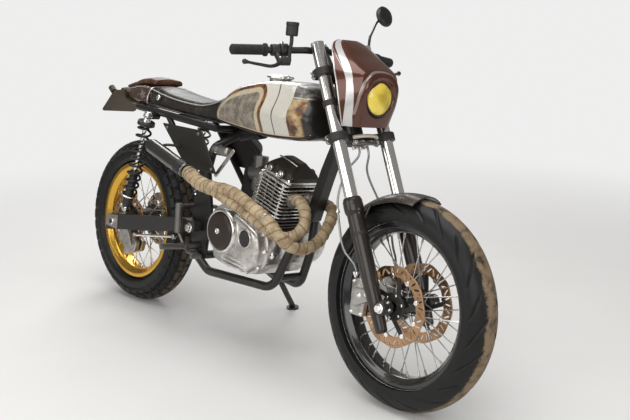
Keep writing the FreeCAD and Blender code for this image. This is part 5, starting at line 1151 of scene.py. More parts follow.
@dataclass
class Wheel:
    """One wire wheel: tyre, drop-centre rim, hub and crossed spokes. Sizes in millimetres."""

    name: str
    body: Body
    axle: Array
    radius: float
    half_width: float
    seat_radius: float
    rim_half_width: float
    flange_radius: float
    hub_half_width: float
    core_radius: float
    rim_finish: Finish
    tyre_finish: Finish
    hub_finish: Finish
    lip_finish: Finish
    lugs: bool = False
    spoke_count: int = 36
    flange_height: float = 14.0
    well_depth: float = 16.0
    wall: float = 5.0
    groove_count: int = 21
    groove_depth: float = 4.6
    lug_count: int = 38
    lug_depth: float = 7.0
    shoulder: float = 74.0

    def build(self) -> None:
        """Makes the wheel's pieces."""
        self.tyre()
        self.rim()
        self.hub()

    def section(self, count: int) -> tuple[Array, Array, Array]:
        """The tyre's section from bead to bead: radius, y, and the crown angle of each point."""
        crown = np.linspace(-104.0, 104.0, count)
        level = self.radius - self.half_width
        angle = np.radians(crown)
        radius = level + self.half_width * np.cos(angle)
        y = self.half_width * np.sin(angle)
        foot = np.array([[self.seat_radius + self.flange_height + 3.0, self.rim_half_width],
                         [self.seat_radius + 1.0, self.rim_half_width]])
        radius = np.concatenate([foot[::-1, 0], radius, foot[:, 0]])
        y = np.concatenate([-foot[::-1, 1], y, foot[:, 1]])
        crown = np.concatenate([[-150.0, -130.0], crown, [130.0, 150.0]])
        return radius, y, crown

    def tyre(self) -> None:
        """The tyre as radius(angle round, angle across) with the tread's grooves cut in."""
        rows = 672 if not self.lugs else 570
        radius, y, crown = self.section(72)
        turn = np.linspace(0, 2 * np.pi, rows, endpoint=False)
        around, across = np.meshgrid(turn, crown, indexing="ij")
        depth = self.blocks(around, across) if self.lugs else self.sipes(around, across)
        angle = np.radians(np.clip(across, -104, 104))
        reach = radius[None] - depth * np.cos(angle)
        side = y[None] - depth * np.sin(angle)
        points = np.stack([self.axle[0] + reach * np.cos(around), side,
                           self.axle[2] + reach * np.sin(around)], -1)
        uv = np.stack([around / (2 * np.pi), (across + 150.0) / 300.0], -1)
        Piece(self.name + "_tyre_skin", [self.tyre_finish]).add(
            Surface(points, wrap_u=True, uv=uv)).build(self.body, (self.name + "_tyre",), "tyre_rubber", 60.0)

    def sipes(self, around: Array, across: Array) -> Array:
        """Slanted curved grooves: a groove lies where round position equals a swept line across.

        With n grooves a side, the phase is n a / 2 pi + sweep(c), and the depth falls off with the
        phase's distance from a whole number and fades out at both ends of the groove.
        """
        depth = np.zeros_like(around)
        for side, shift in ((1, 0.0), (-1, 0.5)):
            c = across * side
            sweep = 0.011 * (c - 10.0) + 0.00009 * (c - 10.0) ** 2
            phase = self.groove_count * around / (2 * np.pi) + sweep + shift
            near = np.abs((phase + 0.5) % 1.0 - 0.5)
            longer = (np.floor(phase + 0.5).astype(int) % 2) * 26.0
            fade = np.clip((c - (38.0 - longer)) / 7.0, 0, 1) * np.clip((80.0 - c) / 9.0, 0, 1)
            depth += self.groove_depth * np.clip(1.6 - near / 0.06, 0, 1) * fade
        return depth

    def blocks(self, around: Array, across: Array) -> Array:
        """Tread blocks: rows split by grooves across, each row shifted by half a block.

        The depth is whole in the grooves and past the shoulders, and none on the blocks' faces.
        """
        edges = np.array([-self.shoulder, -50.0, -24.0, 0.0, 24.0, 50.0, self.shoulder])
        row = np.clip(np.searchsorted(edges, across) - 1, 0, len(edges) - 2)
        phase = (self.lug_count * around / (2 * np.pi) + 0.5 * (row % 2)) % 1.0
        gap = np.minimum(np.abs(across[..., None] - edges).min(axis=-1) / 3.4, 1.4)
        split = np.minimum(np.minimum(phase, 1 - phase) / 0.115, 1.4)
        raised = np.clip(gap - 0.55, 0, 0.5) * 2 * np.clip(split - 0.55, 0, 0.5) * 2
        return self.lug_depth * np.where(np.abs(across) > self.shoulder, 1.0, 1 - raised)

    def rim(self) -> None:
        """A drop-centre rim with rolled edges."""
        half, flange = self.rim_half_width, self.seat_radius + self.flange_height
        well = self.seat_radius - self.well_depth
        slope = half - self.well_depth
        edge = half + 0.4 + self.wall
        outer = [(-edge, flange - 1), (-edge + 2, flange + 0.5), (-half - 0.4, flange),
                 (-half - 0.4, self.seat_radius + 1),
                 (-slope, well), (slope, well), (half + 0.4, self.seat_radius + 1), (half + 0.4, flange),
                 (edge - 2, flange + 0.5), (edge, flange - 1)]
        inner = [(edge, self.seat_radius - 3), (edge - 5, self.seat_radius - 7), (slope + 6, well - 3.0),
                 (slope - 4, well - self.wall), (4 - slope, well - self.wall), (-slope - 6, well - 3.0),
                 (5 - edge, self.seat_radius - 7), (-edge, self.seat_radius - 3)]
        loop = rounded_loop(np.array(outer + inner), 2.0, 72)
        skin = revolve(self.axle, LEFT, loop, 112)
        skin.points = np.concatenate([skin.points, skin.points[:1]])
        skin.uv = None
        lips = [revolve(self.axle, LEFT, self.lip(side * (edge - 2.0), flange), 128, 1) for side in SIDES]
        Piece(self.name + "_rim_skin", [self.rim_finish, self.lip_finish]).add(skin, *lips).build(
            self.body, (self.name + "_rim",), "gold_rim" if self.lugs else "black_rim", 50.0)

    @staticmethod
    def lip(at: float, radius: float) -> Array:
        """A bead's round section as a closed profile."""
        turn = np.linspace(0, 2 * np.pi, 13)
        return np.stack([at + 1.9 * np.cos(turn), radius - 0.6 + 1.5 * np.sin(turn)], axis=1)

    def hub(self) -> None:
        """The turned hub with its flanges, the crossed spokes and their nipples."""
        half, flange, core = self.hub_half_width, self.flange_radius, self.core_radius
        profile = softened([(-half, 12), (-half, flange - 4), (-half + 1, flange), (-half + 5, flange),
                            (-half + 7, flange - 6), (-half + 14, core), (half - 14, core),
                            (half - 7, flange - 6),
                            (half - 5, flange), (half - 1, flange), (half, flange - 4), (half, 12)], 1.2,
                           90)
        piece = Piece(self.name + "_hub_and_spokes", [self.hub_finish, SPOKE_STEEL]).add(
            revolve(self.axle, LEFT, profile, 72))
        rim_radius = self.seat_radius - self.well_depth - self.wall - 1.0
        lead = math.acos(flange / rim_radius) * 0.55
        index = np.arange(self.spoke_count)
        side = np.where(index % 2 == 0, -1.0, 1.0)
        sense = np.where(index % 4 < 2, 1.0, -1.0)
        at = 2 * np.pi * index / self.spoke_count
        root_angle = at - sense * lead
        root_radius = flange - 5.0
        root = np.stack([root_radius * np.cos(root_angle), side * (half - 3 + sense * 2),
                         root_radius * np.sin(root_angle)], -1)
        tip = np.stack([rim_radius * np.cos(at), side * 5.0, rim_radius * np.sin(at)], -1)
        for start, end in zip(root + self.axle, tip + self.axle):
            piece.add(tube(np.stack([start, (start + end) / 2, end]), 1.9, 8, 1))
            inward = unit(start - end)
            piece.add(tube(np.stack([end, end + inward * 9.0, end + inward * 17.0]),
                           np.array([4.2, 3.6, 3.1]), 8, 1))
        piece.build(self.body, (self.name + "_hub",), "hub_black", 40.0)


@dataclass
class FuelTank:
    """The long tank: a loft of softened sections over the backbone's tunnel, with a rolled seam."""

    stations: tuple = (
        (548.0, 782, 92, 816, 108, 862, 74), (600.0, 778, 102, 826, 122, 896, 86),
        (740.0, 768, 112, 838, 142, 940, 96), (860.0, 762, 118, 842, 152, 954, 100),
        (960.0, 766, 114, 846, 148, 950, 96), (1020.0, 772, 104, 848, 136, 928, 84),
        (1056.0, 782, 90, 840, 118, 880, 80))
    softness: float = 24.0
    end_radius: float = 16.0
    tunnel_radius: float = 33.0
    backbone: tuple = (575.0, 742.0, 0.2442)
    neck: tuple = (765.0, 0.0, 940.0)

    def build(self) -> None:
        """Makes the tank's skin, its seam and the filler's neck."""
        table = np.array(self.stations)
        x, inset = rounded_ends(table[0, 0], table[-1, 0], self.end_radius, 120)
        rows = spline(table[:, 0], table[:, 1:], x)
        points = np.stack([self.section(at, row) for at, row in zip(x, rows)])
        points = pulled_in(points, inset)
        girth = np.concatenate([np.zeros((len(x), 1)),
                                np.cumsum(np.linalg.norm(np.diff(points, axis=1), axis=2), axis=1)],
                               axis=1)
        girth = np.abs(girth - girth[:, -1:] / 2)
        uv = np.stack([points[..., 0], girth], axis=-1) / 1000.0
        ends = [points[:1].mean(axis=1, keepdims=True), points[-1:].mean(axis=1, keepdims=True)]
        share = np.array([0.04, 0.5, 0.85])[:, None, None]
        rear, front = (middle + share * (ring - middle)
                       for middle, ring in zip(ends, (points[:1], points[-1:])))
        whole = np.concatenate([rear, points, front[::-1]])
        whole_uv = np.concatenate([uv[:1].repeat(3, axis=0), uv, uv[-1:].repeat(3, axis=0)])
        Piece("tank_skin", [TANK, STEEL]).add(
            Surface(whole, cap_ends=True, uv=whole_uv),
            turned(self.neck, UP, [(-20, 37), (10, 37), (14, 39), (14, 33)], 1.0, 24, 48, 1)).build(
                Body.CHASSIS, ("fuel_tank",), "tank_paint", 60.0)
        self.seam(points[6:-6])
        self.cap()

    def section(self, x: float, row: Array) -> Array:
        """One softened section; its middle is lifted over the backbone, z = axis + sqrt(r^2 - y^2)."""
        low, low_half, mid, mid_half, high, high_half = row
        corners = np.array([[0, low], [low_half, low], [mid_half, mid], [high_half, high - 5], [0, high],
                            [-high_half, high - 5], [-mid_half, mid], [-low_half, low]])
        loop = rounded_loop(corners, self.softness, 168)
        start, height, slope = self.backbone
        arch = height + slope * (x - start) + np.sqrt(np.maximum(0, self.tunnel_radius**2 - loop[:, 0]**2))
        under = (np.abs(loop[:, 0]) < self.tunnel_radius) & (loop[:, 1] < mid)
        lifted = np.where(under, np.clip(arch, loop[:, 1], high - 25), loop[:, 1])
        loop = np.stack([np.full(168, x), loop[:, 0], lifted], axis=1)
        return np.concatenate([loop, loop[:1]])

    def seam(self, points: Array) -> None:
        """The rolled seam along both lower edges, with a cream lip above it."""
        piece = Piece("tank_seam", [BLACK, Paint("seam_cream", (0.62, 0.5, 0.32), 0.4, worn=0.3)])
        for side in SIDES:
            edge = np.argmax(points[..., 1] * side * 0.7 - points[..., 2] * 0.7, axis=1)
            path = points[np.arange(len(points)), edge]
            path = rounded_route(path, 30.0, 90)
            piece.add(tube(path + LEFT * side * 1.0 - UP * 1.5, 3.6, 10, 0),
                      tube(path + LEFT * side * 2.4 + UP * 4.2, 1.9, 8, 1))
        piece.build(Body.CHASSIS, (), "tank_paint")

    def cap(self) -> None:
        """The filler cap: a domed steel lid with a knurled rim, a raised ring, its latch and hinge."""
        centre = np.array([self.neck[0], 0.0, 954.3])
        rim = softened([(0, 0), (0, 43), (2, 46), (8, 46), (10, 43), (10, 34), (13, 31), (13, 24), (10, 21),
                        (11, 0)], 0.8, 70)
        lid = revolve(centre, UP, rim, 72)
        outward = lid.points - centre
        radius = np.linalg.norm(outward[..., :2], axis=-1)
        knurl = np.where(radius > 45.0, 0.7 * np.sin(np.arange(72) * np.pi / 2)[None], 0.0)
        lid.points = lid.points + unit(outward * np.array([1, 1, 0])) * knurl[..., None]
        piece = Piece("filler_lid", [FIN_ALLOY, DARK_ALLOY]).add(lid)
        piece.add(ball_ended(centre + (-44, 0, 5), centre + (-60, 0, 4), 5.5, 16, 1),
                  ball_ended(centre + (51, -11, 6.7), centre + (51, 11, 6.7), 4.0, 16, 0),
                  ball_ended(centre + (38, 0, 5), centre + (51, 0, 6), 4.2, 12, 0))
        piece.build(Body.FILLER_CAP, ("filler_cap",), "cap_chrome", 40.0)


@dataclass
class Exhaust:
    """Two wrapped pipes that cross in front of the engine and join, and a slim muffler."""

    radius: float = 18.0
    collector_radius: float = 23.0
    pitch: float = 27.0
    lap: float = 2.2
    outer: tuple = ((930, 40, 563), (970, 43, 560), (1005, 46, 556), (1040, 40, 545), (1066, 14, 521),
                    (1081, -20, 486), (1088, -60, 450), (1087, -95, 435), (1079, -135, 432),
                    (1062, -170, 447), (1040, -188, 473), (1014, -195, 498), (981, -200, 519),
                    (914, -203, 543), (837, -204, 568), (763, -203, 576), (690, -200, 567))
    inner: tuple = ((930, -34, 563), (985, -55, 565), (1034, -75, 537), (1056, -95, 502), (1051, -120, 472),
                    (1036, -142, 460), (1009, -164, 462), (986, -180, 475), (949, -192, 496),
                    (890, -198, 515), (819, -200, 534), (756, -200, 549), (700, -200, 562))
    merged: tuple = ((708, -200, 567), (660, -200, 569), (610, -200, 576), (575, -200, 590), (546, -200, 600))
    muffler_front: tuple = (536.0, -200.0, 602.0)
    muffler_rear: tuple = (312.0, -200.0, 662.0)
    muffler_radius: float = 27.0
    hanger: tuple = ((392, -92, 640), (384, -110, 662), (372, -150, 672), (352, -178, 668), (345, -186, 660))

    def build(self) -> None:
        """Makes the pipes and the muffler."""
        pipes = Piece("wrapped_pipes", [WRAP, STEEL, DARK_ALLOY])
        pipes.add(self.wrapped(self.outer, self.radius), self.wrapped(self.inner, self.radius),
                  self.wrapped(self.merged, self.collector_radius))
        for port in (self.outer[0], self.inner[0]):
            pipes.add(revolve(port, (1, 0, 0),
                              [(-14, 10), (-14, 29), (-9, 31), (-3, 31), (0, 27), (12, 22), (14, 16)],
                              40, 2))
        for route, at in ((self.outer, 0.62), (self.inner, 0.5), (self.merged, 0.2), (self.merged, 0.93)):
            pipes.add(self.clip(route, at))
        pipes.build(Body.CHASSIS, ("exhaust_pipes",), "pipe_wrap", 50.0)
        self.muffler()

    def wrapped(self, route: tuple, radius: float) -> Surface:
        """A tube whose radius grows across each turn of the wrap.

        The radius is r + lap f^0.6, with f = (length / pitch + angle) mod 1, and slow waves on top.
        """
        rows = int(np.linalg.norm(np.diff(np.array(route, float), axis=0), axis=1).sum() / 2.6)
        path = along_path(np.array(route, float), rows)
        skin = tube(path, radius, 28)
        length, angle = skin.uv[..., 0], skin.uv[..., 1]
        turn = (length * 1000.0 / self.pitch + angle) % 1.0
        sag = 0.6 * np.sin(length * 310.0) + 0.5 * np.sin(angle * 12.56 + length * 90.0)
        rise = self.lap * turn ** 0.6 + sag
        skin.points = path[:, None] + (skin.points - path[:, None]) * (1 + rise / radius)[..., None]
        return skin

    def clip(self, route: tuple, at: float) -> Surface:
        """A steel band that ties the wrap, at a share of the route."""
        path = along_path(np.array(route, float), 400)
        middle = int(at * 399)
        near = path[max(0, middle - 2):middle + 3]
        radius = (self.collector_radius if route is self.merged else self.radius) + 3.6
        return wire(near[[0, -1]], 5, np.array([radius - 1, radius, radius, radius, radius - 1]), 36, 1)

    def muffler(self) -> None:
        """The slim can with its black end, a black band on its front and a bent hanger."""
        start, end = np.array(self.muffler_rear), np.array(self.muffler_front)
        length = float(np.linalg.norm(end - start))
        r = self.muffler_radius
        body = [(2, r - 3), (3, r - 0.6), (6, r), (length - 4, r), (length - 1, r - 1.5), (length, r - 4),
                (length, 15)]
        cap = [(20, 0), (20, 14), (-14, 15), (-16, 17), (-14, 20), (-4, 22), (2, r - 3.5), (6, r - 4)]
        band = [(length - 46, r - 1), (length - 46, r + 0.9), (length - 12, r + 0.9), (length - 12, r - 1)]
        piece = Piece("muffler_skin", [MUFFLER, SATIN]).add(
            turned(start, end - start, body, 1.5, 60, 64),
            turned(start, end - start, cap, 1.2, 60, 64, 1),
            turned(start, end - start, band, 0.6, 16, 64, 1))
        piece.add(wire(self.hanger, 40, 5.0, 14, 1))
        piece.build(Body.CHASSIS, ("muffler",), "muffler_steel", 50.0)


@dataclass
class Seat:
    """The long seat with piping, pleats and a stud, and the tail hump with its leather pad."""

    stations: tuple = (
        (113.0, 794, 95, 861, 76, 869), (180.0, 791, 98, 849, 79, 857), (270.0, 787, 100, 838, 80, 846),
        (360.0, 783, 98, 832, 79, 840), (440.0, 779, 94, 833, 75, 841), (500.0, 776, 89, 847, 69, 855),
        (546.0, 774, 83, 867, 62, 876))
    hump: tuple = (
        (111.5, 797, 97, 860, 82, 866), (60.0, 798, 93, 862, 78, 870), (0.0, 801, 84, 858, 70, 865),
        (-80.0, 818, 65, 844, 56, 849), (-164.0, 833, 34, 839, 28, 843))
    pad: tuple = (
        (108.0, 866, 66, 886, 62, 893), (60.0, 870, 69, 889, 60, 896), (0.0, 865, 64, 882, 56, 889),
        (-70.0, 850, 52, 866, 45, 871), (-140.0, 839, 36, 848, 31, 852))
    cap: float = 0.005

    def build(self) -> None:
        """Makes the seat, its trim and the hump."""
        self.cushion()
        self.trim()
        self.tail()

    @staticmethod
    def loft(stations: tuple, rows: int, columns: int = 72, softness: float = 16.0,
             ends: float = 6.0) -> Surface:
        """Softened sections from flank to crown: (x, low z, half, edge z, edge half, crown z)."""
        table = np.array(stations, float)
        table = table[np.argsort(table[:, 0])]
        x, inset = rounded_ends(table[0, 0], table[-1, 0], ends, rows)
        loops = []
        for at, (low, half, edge, edge_half, crown) in zip(x, spline(table[:, 0], table[:, 1:], x)):
            corners = np.array([[0, low], [half, low], [half + 2, low * 0.6 + edge * 0.4],
                                [edge_half, edge], [0, crown],
                                [-edge_half, edge], [-half - 2, low * 0.6 + edge * 0.4], [-half, low]])
            loop = rounded_loop(corners, softness, columns)
            loops.append(np.stack([np.full(columns, at), loop[:, 0], loop[:, 1]], axis=1))
        return Surface(pulled_in(np.stack(loops), inset), wrap_v=True, cap_ends=True)

    def cushion(self) -> None:
        """The seat's leather: swollen by simulation, then pleated across its middle.

        Each pleat is a narrow valley -d exp(-(s / w)^2), s the distance from a slanted line.
        """
        made = Piece("seat_cushion", [SEAT_HIDE]).add(self.loft(self.stations, 90)).build(
            Body.CHASSIS, ("seat",), "grey_leather", 70.0)
        swell(made, 0.006, 4.0, self.cap)
        points = mesh_points(made.data)
        local = UPRIGHT.upright(points)
        slant = local[:, 0] + (local[:, 2] - 800.0) * 0.55
        depth = sum(2.6 * np.exp(-((slant - at) / 4.5) ** 2) for at in (372.0, 399.0, 424.0, 450.0, 474.0))
        outward = np.clip((np.abs(local[:, 1]) - 30.0) / 30.0, 0, 1)
        upward = np.clip((local[:, 2] - 790.0) / 20.0, 0, 1)
        depth = depth * outward * upward
        seams = sum(1.6 * np.exp(-((local[:, 0] - at) / 3.0) ** 2) for at in (205.0, 300.0))
        depth += seams * (local[:, 2] > 820.0)
        middle = np.stack([local[:, 0], np.zeros(len(local)), np.full(len(local), 815.0)], axis=1)
        local += unit(middle - local) * depth[:, None]
        set_mesh_points(made.data, UPRIGHT.place(local))
        finer = made.modifiers.new("smooth", "SUBSURF")
        finer.levels = finer.render_levels = 1

    def edge_line(self, stations: tuple, side: int, count: int, outward: float = 0.0,
                  drop: float = 0.0) -> Array:
        """Points along the upper edge of a lofted form."""
        table = np.array(stations, float)
        table = table[np.argsort(table[:, 0])]
        x = np.linspace(table[0, 0] + 3, table[-1, 0] - 3, count)
        values = spline(table[:, 0], table[:, 1:], x)
        return np.stack([x, side * (values[:, 3] + outward), values[:, 2] - drop], axis=1)

    def trim(self) -> None:
        """Piping along both upper edges, the lower strip and the side studs."""
        piece = Piece("seat_trim",
                      [Paint("piping", (0.42, 0.41, 0.4), 0.35, metallic=0.5), STEEL, CHROME, SATIN])
        for side in SIDES:
            piece.add(tube(self.edge_line(self.stations, side, 60, 4.5, 6.5), 2.6, 10, 0))
            low = np.array(self.stations)
            strip = np.stack([low[:, 0], side * (low[:, 2] + 3.0), low[:, 1] + 3.0], axis=1)
            piece.add(wire(strip, 40, 3.0, 8, 3))
            piece.add(wire(strip[1:4] + UP * 1.0 + LEFT * side * 2.2, 30, 1.6, 8, 1))
            piece.add(turned((186, side * 99, 828), (0, side, 0.25),
                             [(-4, 0), (-4, 10), (3, 11), (6, 9), (8, 0)], 0.8, 30, 32, 2))
        piece.build(Body.CHASSIS, (), "grey_leather", 50.0)

    def tail(self) -> None:
        """The hump: worn metal sides with a bright rim, and a leather pad whose front end stands free."""
        body = self.loft(self.hump, 60, softness=14.0, ends=3.0)
        piece = Piece("hump_skin", [HUMP, FIN_ALLOY]).add(body)
        ring = body.points[-8]
        if ring[0, 2] >= ring[:, 2].mean():
            ring = np.roll(ring, len(ring) // 2, axis=0)
        arch = ring[12:-12]
        piece.add(tube(arch, 3.4, 12, 1, flatten=0.6))
        for side in SIDES:
            piece.add(tube(self.edge_line(self.hump, side, 50, 1.5, 2.0), 3.2, 10, 1))
        piece.build(Body.CHASSIS, ("seat_hump",), "hump_paint", 60.0)
        made = Piece("hump_pad", [PAD_HIDE]).add(self.loft(self.pad, 60, 72, 7.0)).build(
            Body.CHASSIS, (), "hump_paint", 60.0)
        swell(made, 0.005, 4.0, 0.004)
        finer = made.modifiers.new("smooth", "SUBSURF")
        finer.levels = finer.render_levels = 1


@dataclass
class Fairing:
    """The small headlamp fairing with an arched raised panel round the lens, and the headlamp."""

    stations: tuple = (
        (842.0, 1196, 104, 1226, 60), (926.0, 1186, 121, 1244, 76), (980.0, 1172, 125, 1247, 74),
        (1012.0, 1156, 122, 1238, 68), (1034.0, 1144, 116, 1206, 62), (1058.0, 1124, 104, 1166, 54),
        (1086.0, 1094, 80, 1124, 42), (1098.0, 1084, 62, 1104, 34), (1104.0, 1080, 44, 1092, 26))
    lens_centre: tuple = (1245.0, 0.0, 936.0)
    lens_radius: float = 56.0
    panel: tuple = (84.0, 920.0, 96.0)
    panel_power: float = 2.6
    panel_rise: float = 6.0
    recess_depth: float = 9.0
    recess_slope: float = 7.0
    nose_from: float = 1200.0
    bottom: float = 842.0
    top: float = 1104.0

    def build(self) -> None:
        """Makes the shell with its raised panel and the recess round the lamp, and the lamp."""
        z = np.linspace(self.bottom, self.top, 90)
        points = self.sections(z, 128)
        wide, level, high = self.panel
        y = points[..., 1]
        rise = np.clip((points[..., 2] - level) / high, 0, None)
        inside = 1.0 - np.sqrt((np.abs(y) / wide) ** self.panel_power + rise**self.panel_power)
        nose = points[..., 0] > self.nose_from
        points[..., 0] += self.panel_rise * np.clip(inside / 0.05, 0, 1) * nose
        away = np.hypot(y, points[..., 2] - self.lens_centre[2])
        nose = points[..., 0] > self.nose_from
        recess = 1 - np.clip((away - self.lens_radius) / self.recess_slope, 0, 1)
        points[..., 0] -= self.recess_depth * recess * nose
        uv = np.stack(np.meshgrid(z / 1000.0, np.linspace(-1, 1, 128), indexing="ij"), -1)
        Piece("fairing_shell", [FAIRING]).add(Surface(points, uv=uv)).build(
            Body.STEERING, ("fairing",), "fairing_paint", 60.0, wall=3.0)
        self.lamp()

    def sections(self, z: Array, count: int) -> Array:
        """Level sections from the near rear edge round the nose to the far one.

        Each is a softened polyline through the rear edge, the shoulder and the nose.
        """
        table = np.array(self.stations)
        rows = spline(table[:, 0], table[:, 1:], z)
        loops = []
        for height, (x_rear, half_rear, x_front, half_front) in zip(z, rows):
            line = np.array([[x_rear - 4, -half_rear], [x_front - 3, -half_front - 2],
                             [x_front + 1, -half_front * 0.5],
                             [x_front + 2, 0], [x_front + 1, half_front * 0.5],
                             [x_front - 3, half_front + 2],
                             [x_rear - 4, half_rear]])
            loops.append(rounded_route(np.concatenate([line, np.full((7, 1), height)], axis=1), 15.0, count))
        return np.stack(loops)

    def lamp(self) -> None:
        """The lens in its dark recessed ring, the bowl behind it and its two fork brackets."""
        r = self.lens_radius
        centre = np.array(self.lens_centre)
        ring = softened([(-16, r - 1), (-16, r + 3), (-2, r + 3.5), (0, r + 1), (-1, r - 2), (-6, r - 3)],
                        0.8, 28)
        lens = [(-6, r - 1), (-3, r - 2), (1, r - 8), (4, r * 0.6), (6, r * 0.3), (6.5, 0)]
        bowl = softened([(-92, 0), (-92, 20), (-70, 36), (-34, 45), (-14, 48)], 6.0, 30)
        piece = Piece("headlamp_unit", [LENS, SATIN, DARK_ALLOY])
        piece.add(turned(centre, (1, 0, 0.02), lens, 1.0, 50, 72), revolve(centre, (1, 0, 0.02), ring, 72, 1),
                  revolve(centre, (1, 0, 0.02), bowl, 64, 2))
        for side in SIDES:
            collar = fork_point(655.8, 29.6, side * 105.0)
            piece.add(turned(collar, FORK_UP, [(-9, 21.5), (-9, 25), (9, 25), (9, 21.5)], 0.6, 24, 40, 1))
            piece.add(wire([collar + FORK_AHEAD * 12.0 - LEFT * side * 20.0,
                            centre - (52.0, -side * 60.0, 6.0), centre - (44.0, -side * 34.0, 0.0)], 20,
                           6.0, 12, 1, flatten=0.6))
        piece.build(Body.STEERING, ("headlamp",), "lamp_glass", 50.0)


@dataclass
class Engine:
    """Finned barrel and head, head cover, and the covers on the right side."""

    tilt: float = 15.0
    base: tuple = (822.0, 0.0, 470.0)
    fin_length: float = 160.0
    fin_half_width: float = 90.0
    fin_pitch: float = 12.5
    fin_count: int = 13
    clutch: tuple = (723.0, 424.0)
    small_cap: tuple = (845.0, 420.0)
    cover_outline: tuple = ((652, 380), (690, 330), (760, 296), (846, 292), (906, 330), (922, 400),
                            (902, 450), (800, 490), (723, 506), (660, 480))

    def build(self) -> None:
        """Makes the fins, the head's cover and the covers' details."""
        self.fins()
        self.head_cover()
        self.covers()
        self.plumbing()

    def tilted(self, ahead: Array | float, across: Array | float, high: Array | float) -> Array:
        """A point in the leaning cylinder's own axes."""
        angle = math.radians(self.tilt)
        ahead, across, high = np.broadcast_arrays(*(np.asarray(v, float) for v in (ahead, across, high)))
        return np.stack([self.base[0] + ahead * math.cos(angle) + high * math.sin(angle), across,
                         self.base[2] - ahead * math.sin(angle) + high * math.cos(angle)], axis=-1)

    def axes(self) -> tuple[Array, Array]:
        """The leaning cylinder's upward and forward directions."""
        return self.tilted(0, 0, 1) - self.tilted(0, 0, 0), self.tilted(1, 0, 0) - self.tilted(0, 0, 0)

    def fins(self) -> None:
        """Thin plates with bright rims over a dark core, tied by studs; the lowest three are darker."""
        piece = Piece("cylinder_fins", [FIN_ALLOY, ENGINE_BLACK, DARK_ALLOY])
        half, wide = self.fin_length / 2, self.fin_half_width
        normal, along = self.axes()
        for level in range(self.fin_count):
            shrink = 5.0 if level in (0, self.fin_count - 1) else 0.0
            corners = [(-half + shrink, -wide + 14), (-half + 14, -wide + shrink),
                       (half - 14, -wide + shrink),
                       (half - shrink, -wide + 14), (half - shrink, wide - 14), (half - 14, wide - shrink),
                       (-half + 14, wide - shrink), (-half + shrink, wide - 14)]
            plate = pillow(rounded_loop(corners, 12.0, 72), self.tilted(0, 0, 9.5 + level * self.fin_pitch),
                           normal,
                           along, 4.6, 1.5, 2 if level < 3 else 0)
            ring = np.repeat(np.arange(len(plate.points) - 1), 72)
            plate.finish = np.where(ring > 6, 1, plate.finish)
            piece.add(plate)
        core = rounded_loop([(-half + 20, -wide + 20), (half - 20, -wide + 20), (half - 20, wide - 20),
                             (-half + 20, wide - 20)], 20.0, 64)
        piece.add(pillow(core, self.tilted(0, 0, 0), normal, along, self.fin_count * self.fin_pitch + 4,
                         3.0, 1))
        top = self.fin_count * self.fin_pitch + 3
        for ahead in (-58, -20, 20, 58):
            for side in SIDES:
                piece.add(ball_ended(self.tilted(ahead, side * (wide - 13), 10),
                                     self.tilted(ahead, side * (wide - 13), top),
                                     4.5, 12, 2 if abs(ahead) < 30 else 0))
        piece.build(Body.CHASSIS, ("cylinder",), "fin_alloy", 40.0)

    def head_cover(self) -> None:
        """The dark valve cover: a flange, a softened dome with worn patches, plugs and bolts.

        A bright rod along the dome's near top edge is a painted highlight.
        """
        normal, along = self.axes()
        base = self.fin_count * self.fin_pitch + 4.6
        piece = Piece("head_cover_skin", [COVER_BLACK, FIN_ALLOY, CHROME, SATIN])
        flange = rounded_loop([(-74, -70), (74, -70), (74, 70), (-74, 70)], 16.0, 72)
        piece.add(pillow(flange, self.tilted(0, 0, base), normal, along, 9.0, 1.5, 1))
        steps = np.array([(7.0, 71, 67), (20, 70, 66), (27, 67, 63), (38, 60, 52), (48, 52, 38),
                          (58, 43, 26), (62, 40, 22)])
        high = np.concatenate([np.linspace(7, 60, 40), [61.5, 62.3, 62.6, 62.6]])
        sizes = spline(steps[:, 0], steps[:, 1:], np.minimum(high, 62.0))
        sizes[-4:] *= np.array([0.99, 0.95, 0.85, 0.05])[:, None]
        rings = []
        for level, (length, width) in zip(high, sizes):
            loop = rounded_loop([(-length, -width), (length, -width), (length, width), (-length, width)],
                                14.0, 120)
            rings.append(self.tilted(loop[:, 0], loop[:, 1], base + level))
        piece.add(Surface(np.stack(rings), wrap_v=True, cap_ends=True))
        for ahead, across in ((-62, -62), (62, -62), (-62, 62), (62, 62), (0, -66), (0, 66)):
            piece.add(*hexagon(self.tilted(ahead, across, base + 8), normal, 6.5, 7.0, 2))
        for side in SIDES:
            for ahead, size in ((24.0, 16.0), (-34.0, 13.0)):
                at = self.tilted(ahead, side * 58.0, base + 20.0)
                piece.add(turned(at, LEFT * side, [(0, size + 2), (12, size + 1), (15, size - 2), (15, 0)],
                                 1.0, 30, 40, 3))
                piece.add(*hexagon(at + LEFT * side * 14.5, LEFT * side, size * 0.62, 6.0, 2))
        # Painted highlight: a bright rod along the near top edge of the dome.
        piece.add(tube(self.tilted([-46, -20, 20, 46], [-30, -34, -34, -30],
                                   [base + 58, base + 62, base + 62, base + 58]),
                       3.0, 10, 1))
        piece.build(Body.CHASSIS, ("head_cover",), "black_engine", 40.0)

